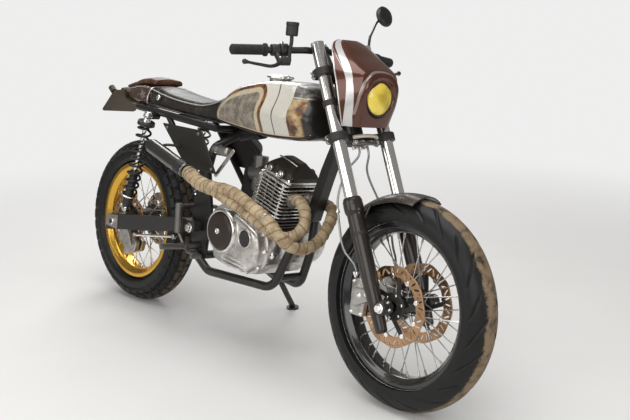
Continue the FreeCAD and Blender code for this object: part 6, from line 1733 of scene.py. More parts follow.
    def covers(self) -> None:
        """The right cover with its clutch cap, oil cap, cast ribs and bolts, and the left generator cover."""
        piece = Piece("engine_cover_skins", [CAST, FIN_ALLOY, CAP_BROWN, CHROME, ENGINE_BLACK])
        outline = side_outline(self.cover_outline, 24.0, 128)
        piece.add(side_cover(outline, RIGHT_SIDE, 112.3, 8.0, 2.0, 0))
        middle = outline.mean(axis=0)
        inner = middle + (outline - middle) * 0.93
        piece.add(side_cover(inner, RIGHT_SIDE, 118.0, 42.0, 16.0, 0, 3.0))
        centre = np.array([self.clutch[0], -130.0, self.clutch[1]])
        drum = softened([(-16, 82), (20, 79), (38, 77), (45, 74), (47, 69), (45.5, 66)], 2.0, 42)
        cap = softened([(45, 66.5), (48, 65), (52, 61), (53.5, 56), (54, 20), (54.5, 14), (54.5, 0)], 1.2, 42)
        piece.add(revolve(centre, -LEFT, drum, 72, 1), revolve(centre, -LEFT, cap, 72, 2))
        piece.add(turned(centre - LEFT * 54, -LEFT, [(0, 11), (5, 10), (6, 7), (4, 5), (4, 0)], 0.6, 30, 32,
                         3))
        small = np.array([self.small_cap[0], -150.0, self.small_cap[1]])
        piece.add(turned(small, -LEFT, [(-10, 36), (14, 34), (18, 31), (16, 28), (14, 27)], 1.4, 28, 64, 0),
                  turned(small, -LEFT, [(12, 28), (17, 27), (18, 24), (16, 16), (16, 0)], 1.0, 28, 64, 4))
        for z in (346, 332, 318):
            piece.add(wire([(738, -160, z + 2), (790, -164, z - 4), (842, -160, z - 10)], 16, 4.4, 12, 1,
                           flatten=0.7))
        for at in np.linspace(0, 1, 11, endpoint=False):
            point = outline[int(at * 128)]
            point = point + unit(middle - point) * 8.0
            piece.add(turned((point[0], -114, point[1]), -LEFT, [(0, 9), (14, 8.5), (16, 7), (16, 0)], 0.8,
                             20, 24, 0))
            piece.add(*hexagon(np.array([point[0], -129.5, point[1]]), -LEFT, 5.5, 5.0, 3))
        left = np.array([830.0, 112.3, 400.0])
        piece.add(turned(left, LEFT, [(0, 84), (30, 82), (42, 74), (46, 60), (47, 42), (54, 40), (54, 0)],
                         3.0, 48, 72, 0))
        for turn in np.arange(6) * np.pi / 3:
            piece.add(*hexagon(left + (72 * math.cos(turn), 34.0, 72 * math.sin(turn)), LEFT, 5.5, 8.0, 3))
        piece.build(Body.CHASSIS, ("engine_covers",), "cast_alloy", 40.0)

    def plumbing(self) -> None:
        """Oil line unions and the drain at the front of the cases, and the gearbox's small parts."""
        piece = Piece("engine_unions", [FIN_ALLOY, CHROME, ENGINE_BLACK])
        for x, y, z, size in ((905, -92, 372, 15), (912, -70, 424, 13), (880, -104, 336, 14),
                              (620, -104, 352, 13), (606, -100, 392, 11)):
            piece.add(turned((x, y, z), (0.35, -1, 0), [(-14, size), (4, size), (8, size - 3), (8, 0)], 1.2,
                             30, 32, 0))
            piece.add(*hexagon(np.array([x + 2.5, y - 8.0, z]), unit(np.array([0.35, -1, 0])), size * 0.6,
                               7.0, 1))
        piece.build(Body.CHASSIS, (), "cast_alloy", 40.0)


@dataclass
class Fork:
    """Lower legs, fork clamps, the bracket on the lower clamp and the brake hoses."""

    ahead: float = 29.6
    half_spacing: float = 105.0
    clamps: tuple = (545.0, 758.0)
    thickness: float = 26.0

    def build(self) -> None:
        """Makes the fork's pieces."""
        self.sliders()
        for name, height, reach in (("lower", self.clamps[0], 30.0), ("upper", self.clamps[1], 28.0)):
            self.clamp(name, height, reach)
        self.hoses()

    def sliders(self) -> None:
        """Satin legs with a stepped collar, a dust seal, the axle lug and its pinch bolts."""
        piece = Piece("fork_lower_legs", [SLIDER, RUBBER, CHROME, SATIN])
        profile = softened([(-72, 0), (-72, 15), (-67, 18.5), (0, 22), (70, 24.5), (120, 26), (298, 26),
                            (305, 30.5), (330, 31), (333, 29.6), (336, 31), (341, 31), (343, 29),
                            (343, 24)], 2.0, 84)
        seal = softened([(342, 24), (342, 28), (348, 27.5), (351, 24), (351, 21.2)], 0.8, 24)
        for side in SIDES:
            foot = fork_point(0.0, self.ahead, side * self.half_spacing)
            piece.add(revolve(foot, FORK_UP, profile, 48), revolve(foot, FORK_UP, seal, 48, 1))
            axle = FRONT_AXLE + LEFT * side * self.half_spacing
            lug = softened([(-21, 10), (-21, 21), (-18, 23), (18, 23), (21, 21), (21, 10)], 1.0, 28)
            piece.add(revolve(axle, LEFT, lug, 48),
                      rod(axle, foot + FORK_UP * 10.0, 15.0, 24, 0))
            piece.add(*hexagon(axle + LEFT * side * 20.0, LEFT * side, 13.0, 11.0, 2))
            for drop in (-11.0, 11.0):
                piece.add(*hexagon(axle + FORK_AHEAD * 21.0 + FORK_UP * drop, FORK_AHEAD, 4.0, 5.0, 2))
            band = fork_point(236.0, self.ahead, side * self.half_spacing)
            piece.add(turned(band, FORK_UP, [(-5, 25.6), (-5, 27.4), (5, 27.4), (5, 25.6)], 0.6, 20, 48, 3))
        piece.add(rod(FRONT_AXLE - LEFT * 118, FRONT_AXLE + LEFT * 118, 10.0, 24, 2))
        piece.build(Body.STEERING, ("fork_sliders",), "slider_paint", 40.0)

    def clamp(self, name: str, height: float, reach: float) -> None:
        """One clamp: a waisted bridge, split grips round the tubes with bolts, and what it carries."""
        piece = Piece(name + "_fork_clamp", [SATIN, CHROME, CREAM_METAL, DARK_ALLOY])
        ahead, half = self.ahead, self.half_spacing
        corners = [(-26, -30), (ahead - 18, -half), (ahead + 20, -half), (reach, -46), (reach, 46),
                   (ahead + 20, half),
                   (ahead - 18, half), (-26, 30)]
        base = fork_point(height - self.thickness / 2, 0, 0)
        outline = rounded_loop(corners, 14.0, 72)
        piece.add(pillow(outline, base, FORK_UP, FORK_AHEAD, self.thickness, 5.0))
        piece.add(pillow(outline, base + FORK_UP * 5, -FORK_UP, FORK_AHEAD, 5.0, 4.0))
        grip = softened([(-14, 21.3), (-14, 29), (-11, 31.5), (11, 31.5), (14, 29), (14, 21.3)], 1.5, 36)
        for side in SIDES:
            leg = fork_point(height, ahead, side * half)
            piece.add(revolve(leg, FORK_UP, grip, 64))
            for rise in (-7.0, 7.0):
                start = leg - FORK_AHEAD * 26.0 + FORK_UP * rise + LEFT * side * 4.0
                piece.add(*hexagon(start + LEFT * side * 16.0, LEFT * side, 5.5, 8.0, 1))
                piece.add(rod(start - LEFT * side * 14.0, start + LEFT * side * 17.0, 8.5, 20, 0))
        if height == self.clamps[0]:
            self.hose_bracket(piece, height)
        else:
            self.risers(piece, height)
        replaced = ("triple_clamps",) if height == self.clamps[0] else ()
        piece.build(Body.STEERING, replaced, "black_clamp", 40.0)

    @staticmethod
    def hose_bracket(piece: Piece, height: float) -> None:
        """The two bars in front of the lower clamp, their bolts and the hoses' unions."""
        for drop, out in ((-3.0, 47.0), (-26.0, 40.0)):
            bar = np.array([fork_point(height + drop, out - 6, -52), fork_point(height + drop, out, -44),
                            fork_point(height + drop, out, 44), fork_point(height + drop, out - 6, 52)])
            piece.add(wire(bar, 40, 8.0, 16, 2 if drop > -10 else 3, flatten=0.75))
        for across in (-46, -18, 18, 46):
            piece.add(*hexagon(fork_point(height - 20, 38, across), FORK_AHEAD, 7.0, 12.0, 1))
        for across in (-20, 20):
            low, high = (fork_point(height - drop, 8, across) for drop in (32, 10))
            piece.add(ball_ended(low, high, 9.0, 16, 1))

    @staticmethod
    def risers(piece: Piece, height: float) -> None:
        """The steering stem's nut, and the posts and saddles that hold the handlebar."""
        piece.add(*hexagon(fork_point(height + 12, 0, 0), FORK_UP, 17.0, 10.0, 1))
        centre = Controls.centre()
        for side in SIDES:
            foot, head = fork_point(height, 10.0, side * 45.0), centre + LEFT * side * 45.0
            piece.add(rod(foot, head, 13.5, 24, 0))
            saddle = softened([(-12, 11.2), (-12, 18), (-10, 19.5), (10, 19.5), (12, 18), (12, 11.2)],
                              0.8, 28)
            piece.add(revolve(head, LEFT, saddle, 40))
            for lean in (-1, 1):
                at = head + FORK_AHEAD * lean * 14.0 + FORK_UP * 14.0
                piece.add(*hexagon(at, FORK_UP, 4.5, 7.0, 1))

    def hoses(self) -> None:
        """Braided brake hoses from the lower clamp to the calipers, with their unions."""
        piece = Piece("brake_hoses", [BRAID, CHROME])
        for side in SIDES:
            low = self.clamps[0]
            top = fork_point(low - self.thickness / 2 - 0.3, 24.0, side * 20.0)
            route = np.array([top, top - FORK_UP * 34.0, fork_point(low - 90, -22, side * 44),
                              fork_point(low - 170, -46, side * 86), fork_point(290, -40, side * 112),
                              fork_point(200, -46, side * 108), FRONT_AXLE + (-150, side * 92, 96),
                              FRONT_AXLE + (-142, side * 84, 66)])
            path = along_path(route, 120)
            piece.add(tube(path, 3.7, 12))
            piece.add(ball_ended(path[0], path[3], 6.0, 12, 1), ball_ended(path[-4], path[-1], 6.0, 12, 1))
            piece.add(ball_ended(path[62], path[65], 6.5, 12, 1))
        piece.build(Body.STEERING, ("front_brake_hoses",), "hose_black", 50.0)


@dataclass
class Controls:
    """Grips, levers, reservoir, switches and the mirror on the handlebar."""

    bore: float = 11.3
    half_width: float = 354.0
    bend_y: float = 120.0
    end_back: float = 84.0
    end_drop: float = 18.0
    grip_length: float = 120.0

    @staticmethod
    def centre() -> Array:
        """The middle of the handlebar."""
        return fork_point(758.0 + 90.6, -10.5, 0.0)

    def on_bar(self, side: int, from_end: float) -> tuple[Array, Array]:
        """A point on the straight end of the bar and the direction towards its tip."""
        inner = self.centre() + (-18.0, side * (self.bend_y + 42.0), -4.0)
        end = self.centre() + (-self.end_back, side * self.half_width, -self.end_drop)
        along = unit(end - inner)
        return end - along * from_end, along

    def build(self) -> None:
        """Makes the controls' pieces."""
        self.grips()
        self.lever(RIGHT_SIDE, "brake_lever_set", "brake_control")
        self.lever(LEFT_SIDE, "clutch_lever_set", "clutch_control")
        self.mirror()

    def grips(self) -> None:
        """Ribbed rubber grips, r = 15.6 + 1.2 min(1, max(0, 2 sin)), with a flange and a round end."""
        piece = Piece("ribbed_grips", [RUBBER])
        for side in SIDES:
            start, along = self.on_bar(side, self.grip_length - 3.0)
            at = np.linspace(0, self.grip_length - 3.0, 140)
            ribs = 15.6 + 1.2 * np.clip(np.sin(at * 2 * np.pi / 6.5) * 2.0, 0, 1)
            taper = 5.0 * np.clip((at - 113.0) / 5.0, 0, 1) ** 2
            ribs = np.where(at < 9.0, 20.5, np.where(at < 12.0, 17.0, ribs)) - taper
            profile = np.concatenate([[[0.0, self.bore]], np.stack([at, ribs], 1),
                                      [[self.grip_length - 0.5, 8.0], [self.grip_length + 1.0, 0.0]]])
            piece.add(revolve(start, along, profile, 36))
        piece.build(Body.STEERING, ("grips",), "grip_rubber", 40.0)

    def lever(self, side: int, name: str, node: str) -> None:
        """A tapered lever in its perch with a switch box, and the brake's fluid reservoir."""
        piece = Piece(name, [SATIN, CHROME, BLACK])
        centre, along = self.on_bar(side, self.grip_length + 26.0)
        ahead = np.array([math.cos(RAKE), 0.0, -math.sin(RAKE)])
        collar = softened([(-14, self.bore), (-14, 17), (-11, 19), (11, 19), (14, 17), (14, self.bore)],
                          1.0, 28)
        pivot = centre + ahead * 34.0 - UP * 18.0
        piece.add(revolve(centre, along, collar, 40),
                  tube(np.stack([centre, (centre + pivot) / 2, pivot]), 10.5, 20))
        piece.add(turned(pivot, UP, [(-10, 0), (-10, 9), (-8, 12), (8, 12), (10, 9), (10, 0)], 1.0, 28, 32))
        piece.add(*hexagon(pivot + UP * 9.0, UP, 6.0, 5.0, 1))
        tip = self.on_bar(side, 12.0)[0] + ahead * 62.0 - UP * 6.0
        knee = pivot + along * 40.0 + ahead * 26.0 - UP * 2.0
        blade = along_path(np.array([pivot, (pivot + knee) / 2 + ahead * 5.0, knee,
                                     (knee + tip) / 2 + ahead * 4.0, tip]), 50)
        width = np.interp(np.linspace(0, 1, 50), [0, 0.2, 0.5, 0.9, 0.94, 1.0], [9, 7.5, 6.5, 5.5, 7.5, 8.2])
        piece.add(tube(blade, width, 16, 2, flatten=0.8),
                  revolve(tip, unit(blade[-1] - blade[-2]), ball(8.4), 24, 2))
        switch = self.on_bar(side, self.grip_length + 52.0)[0]
        piece.add(turned(switch, along,
                         [(-16, self.bore), (-16, 18), (-13, 21), (9, 21), (12, 18), (12, self.bore)], 1.5,
                         28, 32))
        piece.add(ball_ended(switch + UP * 16 - FORWARD * 6, switch + UP * 26 - FORWARD * 9, 6.0, 16, 1))
        if side == RIGHT_SIDE:
            neck = pivot - along * 30.0
            piece.add(rod(pivot, neck, 13.5, 24),
                      wire([neck, neck + UP * 30 - ahead * 3, neck + UP * 60 + ahead * 2, neck + UP * 84],
                           24, 6.0, 16))
            pot = softened([(78, 0), (78, 17), (82, 19.5), (108, 19.5), (109, 18.5), (111, 20.5),
                            (120, 20.5), (122, 18), (122, 0)], 1.0, 42)
            piece.add(revolve(neck, UP, pot, 48))
            for turn in (0.6, 3.74):
                piece.add(turned(neck + (11 * math.cos(turn), 11 * math.sin(turn), 121.5), UP,
                                 [(0, 3), (1.4, 2.6), (1.4, 0)], 0.4, 12, 16, 1))
        piece.build(Body.STEERING, (node,), "black_control", 40.0)

    def mirror(self) -> None:
        """A round mirror on a bent stalk: a softened shell, a rim and the glass."""
        piece = Piece("round_mirror", [BLACK, MIRROR_GLASS, SATIN])
        foot, along = self.on_bar(LEFT_SIDE, self.grip_length + 60.0)
        centre = foot + (-116.0, 174.8, 146.0)
        collar = softened([(-9, self.bore), (-9, 16), (-7, 18), (7, 18), (9, 16), (9, self.bore)], 1.0, 28)
        back = unit(np.array([0.93, 0.0, 0.37]))
        stalk = rounded_route(np.array([foot + UP * 13.0, foot + UP * 68.0, centre - LEFT * 32.0 - UP * 22.0,
                                        centre - LEFT * 14.0 - UP * 4.0 + back * 9.0]), 22.0, 60)
        shell = softened([(0, 36), (2, 38), (7, 37.5), (14, 30), (17, 18), (18, 0)], 2.0, 36)
        piece.add(revolve(foot, along, collar, 40, 2), tube(stalk, 4.6, 14),
                  revolve(centre, back, shell, 72),
                  revolve(centre, back, [(0.5, 0), (0.2, 30), (0, 36)], 64, 1))
        piece.add(ball_ended(foot + UP * 8.0, foot + UP * 20.0, 8.0, 20, 2))
        piece.build(Body.STEERING, ("mirror",), "mirror_black", 40.0)


@dataclass
class Brakes:
    """Pierced discs with wavy edges on dark carriers, and knobbly silver calipers."""

    front_radius: float = 126.0
    front_inner: float = 92.0
    front_offset: float = 62.0
    rear_radius: float = 110.0
    rear_inner: float = 78.0
    rear_offset: float = 74.0
    thickness: float = 5.0
    waves: int = 9
    wave_depth: float = 4.0
    slot_half_width: float = 2.4
    arm_count: int = 5
    arm_lean: float = 12.0
    bolt_count: int = 6
    caliper_outline: tuple = ((-30, -62), (26, -62), (34, 40), (4, 62), (-30, 50))
    rear_outline: tuple = ((20, 190), (88, 214), (100, 252), (60, 272), (0, 238))

    def build(self) -> None:
        """Makes both wheels' discs and calipers."""
        front = Piece("front_brake_discs", [BRONZE, SATIN, CHROME])
        for side in SIDES:
            self.disc(front, FRONT_AXLE, self.front_radius, self.front_inner, side * self.front_offset, 37.0)
        front.build(Body.FRONT_WHEEL, ("front_discs",), "disc_bronze", 40.0)
        rear = Piece("rear_brake_disc", [BRONZE, SATIN, CHROME])
        self.disc(rear, REAR_AXLE, self.rear_radius, self.rear_inner, -self.rear_offset, 45.0)
        rear.build(Body.REAR_WHEEL, ("rear_disc",), "disc_steel", 40.0)
        self.front_calipers()
        self.rear_caliper()

    def disc(self, piece: Piece, axle: Array, radius: float, inner: float, y: float, hub: float) -> None:
        """One ring with slots and holes, its carrier and the buttons that join them.

        The edge is r = R - d / 2 + d / 2 cos(n a).
        """
        turn = np.linspace(0, 2 * np.pi, 270, endpoint=False)
        reach = radius - self.wave_depth / 2 * (1 - np.cos(self.waves * turn))
        inner_reach = inner - 1.5 + 1.5 * np.cos(self.waves * turn[::3])
        centre = axle[[0, 2]]
        ring = np.stack([np.cos(turn), np.sin(turn)], axis=1)
        holes = [centre + ring[::3] * inner_reach[:, None]]
        middle = (radius + inner) / 2
        for index in range(4 * self.waves):
            at = 2 * np.pi * index / (4 * self.waves)
            lean = -0.05 + 0.1 * ((index % 4) / 3)
            ends = [centre + (middle + rise) * polar(at + slip)
                    for rise, slip in ((-8.0, -lean), (7.0, lean))]
            along = unit(ends[1] - ends[0])
            across = np.array([-along[1], along[0]])
            loop = [end + self.slot_half_width * (math.cos(t) * across + math.sin(t) * along)
                    for end, low in ((ends[1], 0.0), (ends[0], math.pi))
                    for t in np.linspace(low, low + math.pi, 6)]
            holes.append(np.array(loop))
        piece.add(cut_plate(centre + ring * reach[:, None], holes, y, self.thickness, 0.6))
        for index in range(self.arm_count):
            angle = 2 * np.pi * index / self.arm_count
            lean = math.radians(self.arm_lean)
            foot = centre + 36.0 * polar(angle - lean)
            head = centre + (inner + 1.0) * polar(angle + lean)
            along = unit(head - foot)
            across = np.array([-along[1], along[0]]) * 7.0
            corners = np.array([foot - across, head - across, head + across, foot + across])
            piece.add(side_cover(rounded_loop(corners, 5.0, 48), 1, y - 2.4, 4.8, 1.2, 1))
        half = self.thickness / 2
        low, high = sorted((y - half * math.copysign(1, y), math.copysign(hub, y)))
        step = softened([(-half - 1.5, 16), (-half - 1.5, 40), (-half, 43), (half, 43), (half + 1.5, 40),
                         (half + 1.5, 16)], 1.0, 40)
        piece.add(revolve(axle + LEFT * y, LEFT, step, 72, 1),
                  revolve(axle + LEFT * low, LEFT, [(0, 14), (0, 29), (high - low, 29), (high - low, 14)],
                          48, 1))
        outward = math.copysign(1, y)
        for index in range(self.waves):
            at = 2 * np.pi * (index + 0.5) / self.waves
            place = axle + np.array([math.cos(at) * (inner + 1), y, math.sin(at) * (inner + 1)])
            piece.add(turned(place, LEFT, [(-4, 0), (-4, 7), (-2, 8), (2, 8), (4, 7), (4, 0)], 0.6, 24, 24,
                             2))
        for index in range(self.bolt_count):
            at = 2 * np.pi * index / self.bolt_count + 0.3
            place = axle + np.array([math.cos(at) * 35, y + outward * 3.4, math.sin(at) * 35])
            piece.add(*hexagon(place, LEFT * outward, 4.0, 3.0, 2))

    def front_calipers(self) -> None:
        """Two halves astride the disc, joined behind it, with piston bosses, bolts and a hanger."""
        piece = Piece("front_caliper_castings", [CALIPER, CHROME, SATIN])
        centre = FRONT_AXLE + (-132.0, 0.0, 2.0)
        body = side_outline(around(centre, self.caliper_outline), 9.0)
        for side in SIDES:
            out = self.front_offset
            piece.add(side_cover(body, side, out - 26.0, 20.0, 4.0, 0),
                      side_cover(body, side, out + 6.0, 16.0, 5.0, 0, 2.0))
            bridge = side_outline(around(centre, ((-30, -46), (-10, -46), (-10, 42), (-30, 44))), 5.0)
            piece.add(side_cover(bridge, side, out - 22.0, 44.0, 3.0, 0))
            for x, z, size in ((-4, 24, 15), (-4, -16, 17)):
                at = centre + (x, side * (out + 19.0), z)
                piece.add(turned(at, LEFT * side,
                                 [(-4, size + 3), (4, size + 1), (6, size - 2), (4.5, size - 5), (4.5, 0)],
                                 1.0, 28, 40, 0))
            for x, z in ((-22, 44), (18, -52), (-22, -52), (22, 34)):
                piece.add(*hexagon(centre + (x, side * (out + 21.0), z), LEFT * side, 5.0, 4.5, 1))
            piece.add(ball_ended(centre + (-29, side * (out + 8), 52),
                                 centre + (-34, side * (out + 14), 70), 5.0, 16, 1))
            hanger = side_outline(around(centre, ((0, 30), (70, 34), (70, 4), (0, -30))), 6.0)
            piece.add(side_cover(hanger, side, 80.0, 22.0, 3.0, 0))
            for x, z in ((22, 10), (52, 19)):
                piece.add(*hexagon(centre + (x, side * 102.0, z), LEFT * side, 6.0, 5.0, 1))
        piece.build(Body.STEERING, ("front_calipers",), "caliper_alloy", 40.0)

    def rear_caliper(self) -> None:
        """The small caliper that hangs under the swingarm's right leg."""
        piece = Piece("rear_caliper_casting", [CALIPER, CHROME])
        body = side_outline(list(self.rear_outline), 7.0)
        out = self.rear_offset
        piece.add(side_cover(body, RIGHT_SIDE, out - 24.0, 18.0, 3.0, 0),
                  side_cover(body, RIGHT_SIDE, out + 6.0, 17.0, 4.0, 0))
        for x, z, size in ((36, 226, 13), (68, 238, 13)):
            piece.add(turned((x, -out - 20, z), -LEFT, [(-3, size + 2), (3, size), (4.5, 0)], 0.8, 30, 32, 0))
        eye = turned(REAR_AXLE - LEFT * (out + 4), -LEFT, [(0, 13), (0, 25), (31, 25), (32, 22), (32, 13)],
                     1.0, 30, 40)
        arm = side_outline([(-20, 330), (-2, 236), (84, 236), (24, 336)], 8.0)
        piece.add(eye, side_cover(arm, RIGHT_SIDE, out + 20.0, 14.0, 2.0, 0))
        piece.build(Body.CHASSIS, ("rear_caliper",), "caliper_alloy", 40.0)


@dataclass
class Shocks:
    """Dampers with threaded collars, and round-wire springs."""

    top: tuple = (185.0, 0.0, 760.0)
    bottom: tuple = (77.0, 0.0, 388.0)
    half_spacing: float = 140.0
    spring_radius: float = 30.0
    wire: float = 4.5
    turns: int = 9
    spring_top: float = 38.8
    spring_foot: float = 60.8
    body_length: float = 160.0

    def build(self) -> None:
        """Makes both shocks' bodies and springs."""
        bodies, springs = Piece("shock_dampers", [CHROME, SATIN, RUBBER]), Piece("shock_coils", [GLOSS])
        for side in SIDES:
            top = np.array(self.top) + LEFT * side * self.half_spacing
            bottom = np.array(self.bottom) + LEFT * side * self.half_spacing
            length = float(np.linalg.norm(bottom - top))
            down = unit(bottom - top)
            lower = length - self.spring_foot
            seat = softened([(-6, 8), (-6, 31), (-4, 34), (0, 34), (1, 31), (1, 6)], 0.8, 30)
            bodies.add(turned(top, down, [(0, 10), (18, 14), (31, 16), (32, 30), (36, 33), (38, 33),
                                          (38, 8), (length - self.body_length, 8)], 1.0, 42, 48, 0))
            bodies.add(turned(top, down, [(24, 10), (24, 32.5), (38.6, 34), (38.6, 9)], 0.8, 30, 48, 1))
            bodies.add(revolve(top + down * (lower + 6), down, seat, 48, 0))
            thread = np.linspace(length - self.body_length, lower, 70)
            ridge = 16.0 + 0.7 * np.sin(np.arange(70) * 2.2)
            bodies.add(revolve(top, down, np.concatenate([[[thread[0], 6]], np.stack([thread, ridge], 1)]),
                               32, 1))
            bodies.add(turned(top, down, [(lower + 5, 17), (lower + 18, 19), (length - 20, 19),
                                          (length - 8, 14), (length, 9)], 1.5, 28, 32, 1))
            for eye in (top, bottom):
                ring = softened([(-10.5, 9), (-10.5, 14), (-9, 15), (9, 15), (10.5, 14), (10.5, 9)], 0.8, 30)
                bodies.add(revolve(eye, LEFT, ring, 32, 0),
                           revolve(eye, LEFT, [(-10.6, 4), (-10.6, 9.6), (10.6, 9.6), (10.6, 4)], 24, 2))
                bodies.add(*hexagon(eye + LEFT * side * 11.0, LEFT * side, 8.0, 7.0, 0))
            start, end = self.spring_top + self.wire + 0.4, lower - self.wire - 0.4
            across = unit(np.cross(down, LEFT))
            turn = np.linspace(0, 2 * np.pi * self.turns, self.turns * 30)
            run = start + (end - start) * turn / turn[-1]
            ring = np.cos(turn)[:, None] * across + np.sin(turn)[:, None] * np.cross(down, across)
            path = top + run[:, None] * down + (self.spring_radius - self.wire) * ring
            springs.add(tube(path, self.wire, 12))
        bodies.build(Body.CHASSIS, ("shock_bodies",), "shock_metal", 40.0)
        springs.build(Body.CHASSIS, ("shock_springs",), "spring_steel", 60.0)


@dataclass
class Bodywork:
    """The side covers, and small fittings on the right side of the chassis."""

    panel_outline: tuple = ((256, 742), (500, 742), (604, 600), (424, 600))

    def build(self) -> None:
        """Makes the side covers and the small fittings."""
        covers = Piece("side_cover_skins", [PANEL, STEEL])
        for side in SIDES:
            covers.add(side_cover(side_outline(list(self.panel_outline), 10.0), side, 118.3, 5.0, 2.0))
            for x, z in ((290, 728), (486, 728), (578, 614), (436, 612)):
                covers.add(*hexagon(np.array([x, side * 123.3, z]), LEFT * side, 5.0, 4.0, 1))
        covers.build(Body.CHASSIS, ("side_panels",), "panel_paint", 40.0)
        links = Piece("right_side_links", [CHROME, SATIN, STEEL])
        links.add(wire([(170, -152, 300), (300, -154, 322), (425, -152, 343)], 30, 5.0, 14, 0))
        for x, z in ((170, 300), (425, 343)):
            links.add(ball_ended((x, -160, z), (x, -144, z), 9.0, 20, 2))
        for side in SIDES:
            for x, z in ((0.0, REAR_AXLE_HEIGHT), (505.0, 392.0)):
                links.add(*hexagon(np.array([x, side * 147.0, z]), LEFT * side, 15.0, 10.0, 0))
            links.add(side_cover(side_outline([(-46, 300), (-46, 345), (34, 352), (34, 296)], 8.0), side,
                                 145.0, 4.0, 1.0, 2))
        start, end = np.array([556.0, -100.0, 683.0]), np.array([646.0, -100.0, 683.0])
        can = softened([(0, 0), (0, 13), (3, 17), (10, 17.5), (80, 17.5), (87, 16), (90, 12), (90, 0)], 1.2,
                       36)
        links.add(revolve(start, end - start, can, 40, 2),
                  revolve(start + (26, 0, 0), FORWARD, [(0, 16), (0, 18.6), (8, 18.6), (8, 16)], 40, 0))
        bar = side_outline([(592, 596), (604, 588), (700, 694), (688, 702)], 4.0)
        links.add(side_cover(bar, RIGHT_SIDE, 118.0, 4.0, 1.0, 0))
        links.build(Body.CHASSIS, (), "shock_metal", 40.0)


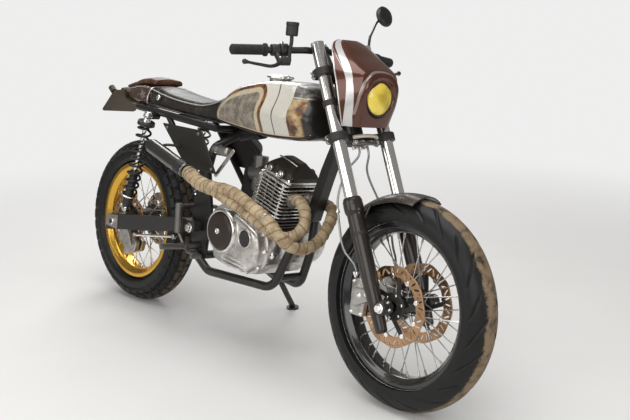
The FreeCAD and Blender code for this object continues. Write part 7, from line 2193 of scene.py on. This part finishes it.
@dataclass
class Stage:
    """Pale floor and backdrop, soft lamps and the camera at the photograph's viewing angle."""

    camera_place: tuple = (3.5111, -2.1746, 1.3967)
    camera_target: tuple = (1.0856, 0.0, 0.5639)
    camera_roll: float = -0.6701
    lens: float = 59.857
    panels: tuple = (
        ("overhead_panel", (0.2, -0.6, 3.6), (3.4, 2.6), 84.0),
        ("side_panel", (2.6, -3.4, 2.2), (3.4, 2.4), 62.0),
        ("left_panel", (-0.9, -3.6, 1.5), (2.2, 2.0), 26.0),
        ("back_panel", (-2.4, 1.6, 2.6), (1.6, 2.0), 48.0),
        ("front_fill", (4.2, 0.6, 1.4), (1.8, 1.4), 26.0))
    lamp_target: tuple = (0.1, -0.1, 0.5)
    world_color: tuple = (1.0, 0.97, 0.93, 1.0)
    world_strength: float = 0.24

    def build(self) -> None:
        """Makes the stage."""
        self.backdrop()
        self.lamps()
        self.camera()

    def camera(self) -> None:
        """The camera: where the photograph was taken from, turned as it was."""
        shift = UPRIGHT.place(np.zeros(3))
        data = bpy.data.cameras.new("camera")
        data.lens = self.lens
        data.sensor_width = 36.0
        data.clip_end = 100.0
        made = bpy.data.objects.new("camera", data)
        bpy.context.scene.collection.objects.link(made)
        place = np.array(self.camera_place) + shift
        target = np.array(self.camera_target) + shift
        look = unit(target - place)
        right = unit(np.cross(look, UP))
        upward = np.cross(right, look)
        roll = math.radians(self.camera_roll)
        turned_right = math.cos(roll) * right + math.sin(roll) * upward
        turned_up = -math.sin(roll) * right + math.cos(roll) * upward
        matrix = np.eye(4)
        matrix[:3, 0], matrix[:3, 1], matrix[:3, 2], matrix[:3, 3] = turned_right, turned_up, -look, place
        made.matrix_world = Matrix(matrix.tolist())
        bpy.context.scene.camera = made

    def backdrop(self) -> None:
        """A floor that sweeps up into a wall: height = r (1 - cos t) in the bend."""
        turn = np.linspace(0, np.pi / 2, 24)
        run = np.concatenate([[-14.0], -1.5 * np.ones(1), np.array([6.0]) + 3.0 * np.sin(turn), [9.0]])
        height = np.concatenate([[0.0], [0.0], 3.0 * (1 - np.cos(turn)), [14.0]])
        yaw = math.radians(42.0)
        away = np.array([-math.cos(yaw), math.sin(yaw), 0.0])
        across = np.array([math.sin(yaw), math.cos(yaw), 0.0])
        wide = np.linspace(-16, 16, 2)
        points = run[:, None, None] * away + height[:, None, None] * UP + wide[None, :, None] * across
        mesh = bpy.data.meshes.new("studio_floor")
        surface = Surface(points)
        mesh.from_pydata(points.reshape(-1, 3), [], surface.faces().tolist())
        mesh.polygons.foreach_set("use_smooth", [True] * len(mesh.polygons))
        shader = Shader("studio_paper")
        grain = shader.noise(shader.node("ShaderNodeTexCoord", output="Object"), 3.0)
        paper = shader.finish(shader.mix(grain, (0.76, 0.755, 0.745), (0.8, 0.795, 0.785)), 0.9)
        self.paler(shader)
        mesh.materials.append(paper)
        made = bpy.data.objects.new("studio_floor", mesh)
        bpy.context.scene.collection.objects.link(made)

    @staticmethod
    def paler(shader: Shader) -> None:
        """Lets the paper fade to an even pale tone away from the machine, as the camera sees it."""
        tree = shader.tree
        lit = shader.output.inputs["Surface"].links[0].from_socket
        rays = tree.nodes.new("ShaderNodeLightPath")
        through = Link(shader, rays.outputs["Is Transmission Ray"])
        seen = Link(shader, rays.outputs["Is Camera Ray"]).math("MAXIMUM", through)
        away = shader.node("ShaderNodeVectorMath", {"operation": "LENGTH"},
                           {0: shader.node("ShaderNodeTexCoord", output="Object")}, output="Value")
        pale = shader.node("ShaderNodeEmission", {}, {"Color": (0.86, 0.86, 0.855), "Strength": 1.0})
        both = shader.node("ShaderNodeMixShader", {},
                           {0: seen * away.step(1.3, 3.6), 1: Link(shader, lit), 2: pale})
        tree.links.new(both.socket, shader.output.inputs["Surface"])

    def lamps(self) -> None:
        """A large overhead panel, a side panel, a low front fill and a dim world."""
        for name, place, size, power in self.panels:
            data = bpy.data.lights.new(name, "AREA")
            data.shape = "RECTANGLE"
            data.size, data.size_y = size
            data.energy = power
            made = bpy.data.objects.new(name, data)
            made.location = place
            aim = Vector(self.lamp_target) - Vector(place)
            made.rotation_euler = aim.to_track_quat("-Z", "Y").to_euler()
            bpy.context.scene.collection.objects.link(made)
        world = bpy.data.worlds.new("studio")
        bpy.context.scene.world = world
        world.use_nodes = True
        glow = world.node_tree.nodes["Background"]
        glow.inputs["Color"].default_value = self.world_color
        glow.inputs["Strength"].default_value = self.world_strength
        bpy.context.scene.view_settings.view_transform = "Standard"


# The CAD nodes that show as they are, and their finishes.
NODE_FINISHES = {
    "main_frame": BLACK, "rear_subframe": BLACK, "engine_cases": CAST, "carburettor": DARK_ALLOY,
    "tail_plate": PLATE, "swingarm": SATIN, "foot_controls": DARK_ALLOY, "drive_chain": STEEL,
    "side_stand": BLACK,
    "fork_tubes": CHROME, "handlebar": BLACK, "front_fender": FENDER, "rear_sprocket": STEEL,
}


def main() -> None:
    """Builds the stage and every sub-assembly."""
    logging.basicConfig(level=logging.INFO, format="%(name)s: %(message)s")
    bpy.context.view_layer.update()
    Stage().build()
    for node, finish in NODE_FINISHES.items():
        dress(node, finish)
    Wheel("front", Body.FRONT_WHEEL, FRONT_AXLE, radius=328.0, half_width=58.0, seat_radius=241.5,
          rim_half_width=34.0, flange_radius=36.0, hub_half_width=36.0, core_radius=24.0,
          rim_finish=RIM_BLACK,
          tyre_finish=FRONT_RUBBER, hub_finish=SATIN, lip_finish=SPOKE_STEEL).build()
    Wheel("rear", Body.REAR_WHEEL, REAR_AXLE, radius=322.0, half_width=64.0, seat_radius=216.0,
          rim_half_width=38.0, flange_radius=62.0, hub_half_width=44.0, core_radius=45.0, rim_finish=GOLD,
          tyre_finish=REAR_RUBBER, hub_finish=SATIN, lip_finish=GOLD, lugs=True).build()
    for assembly in (FuelTank, Exhaust, Seat, Fairing, Engine, Fork, Controls, Brakes, Shocks, Bodywork):
        assembly().build()


if __name__ == "__main__":
    main()
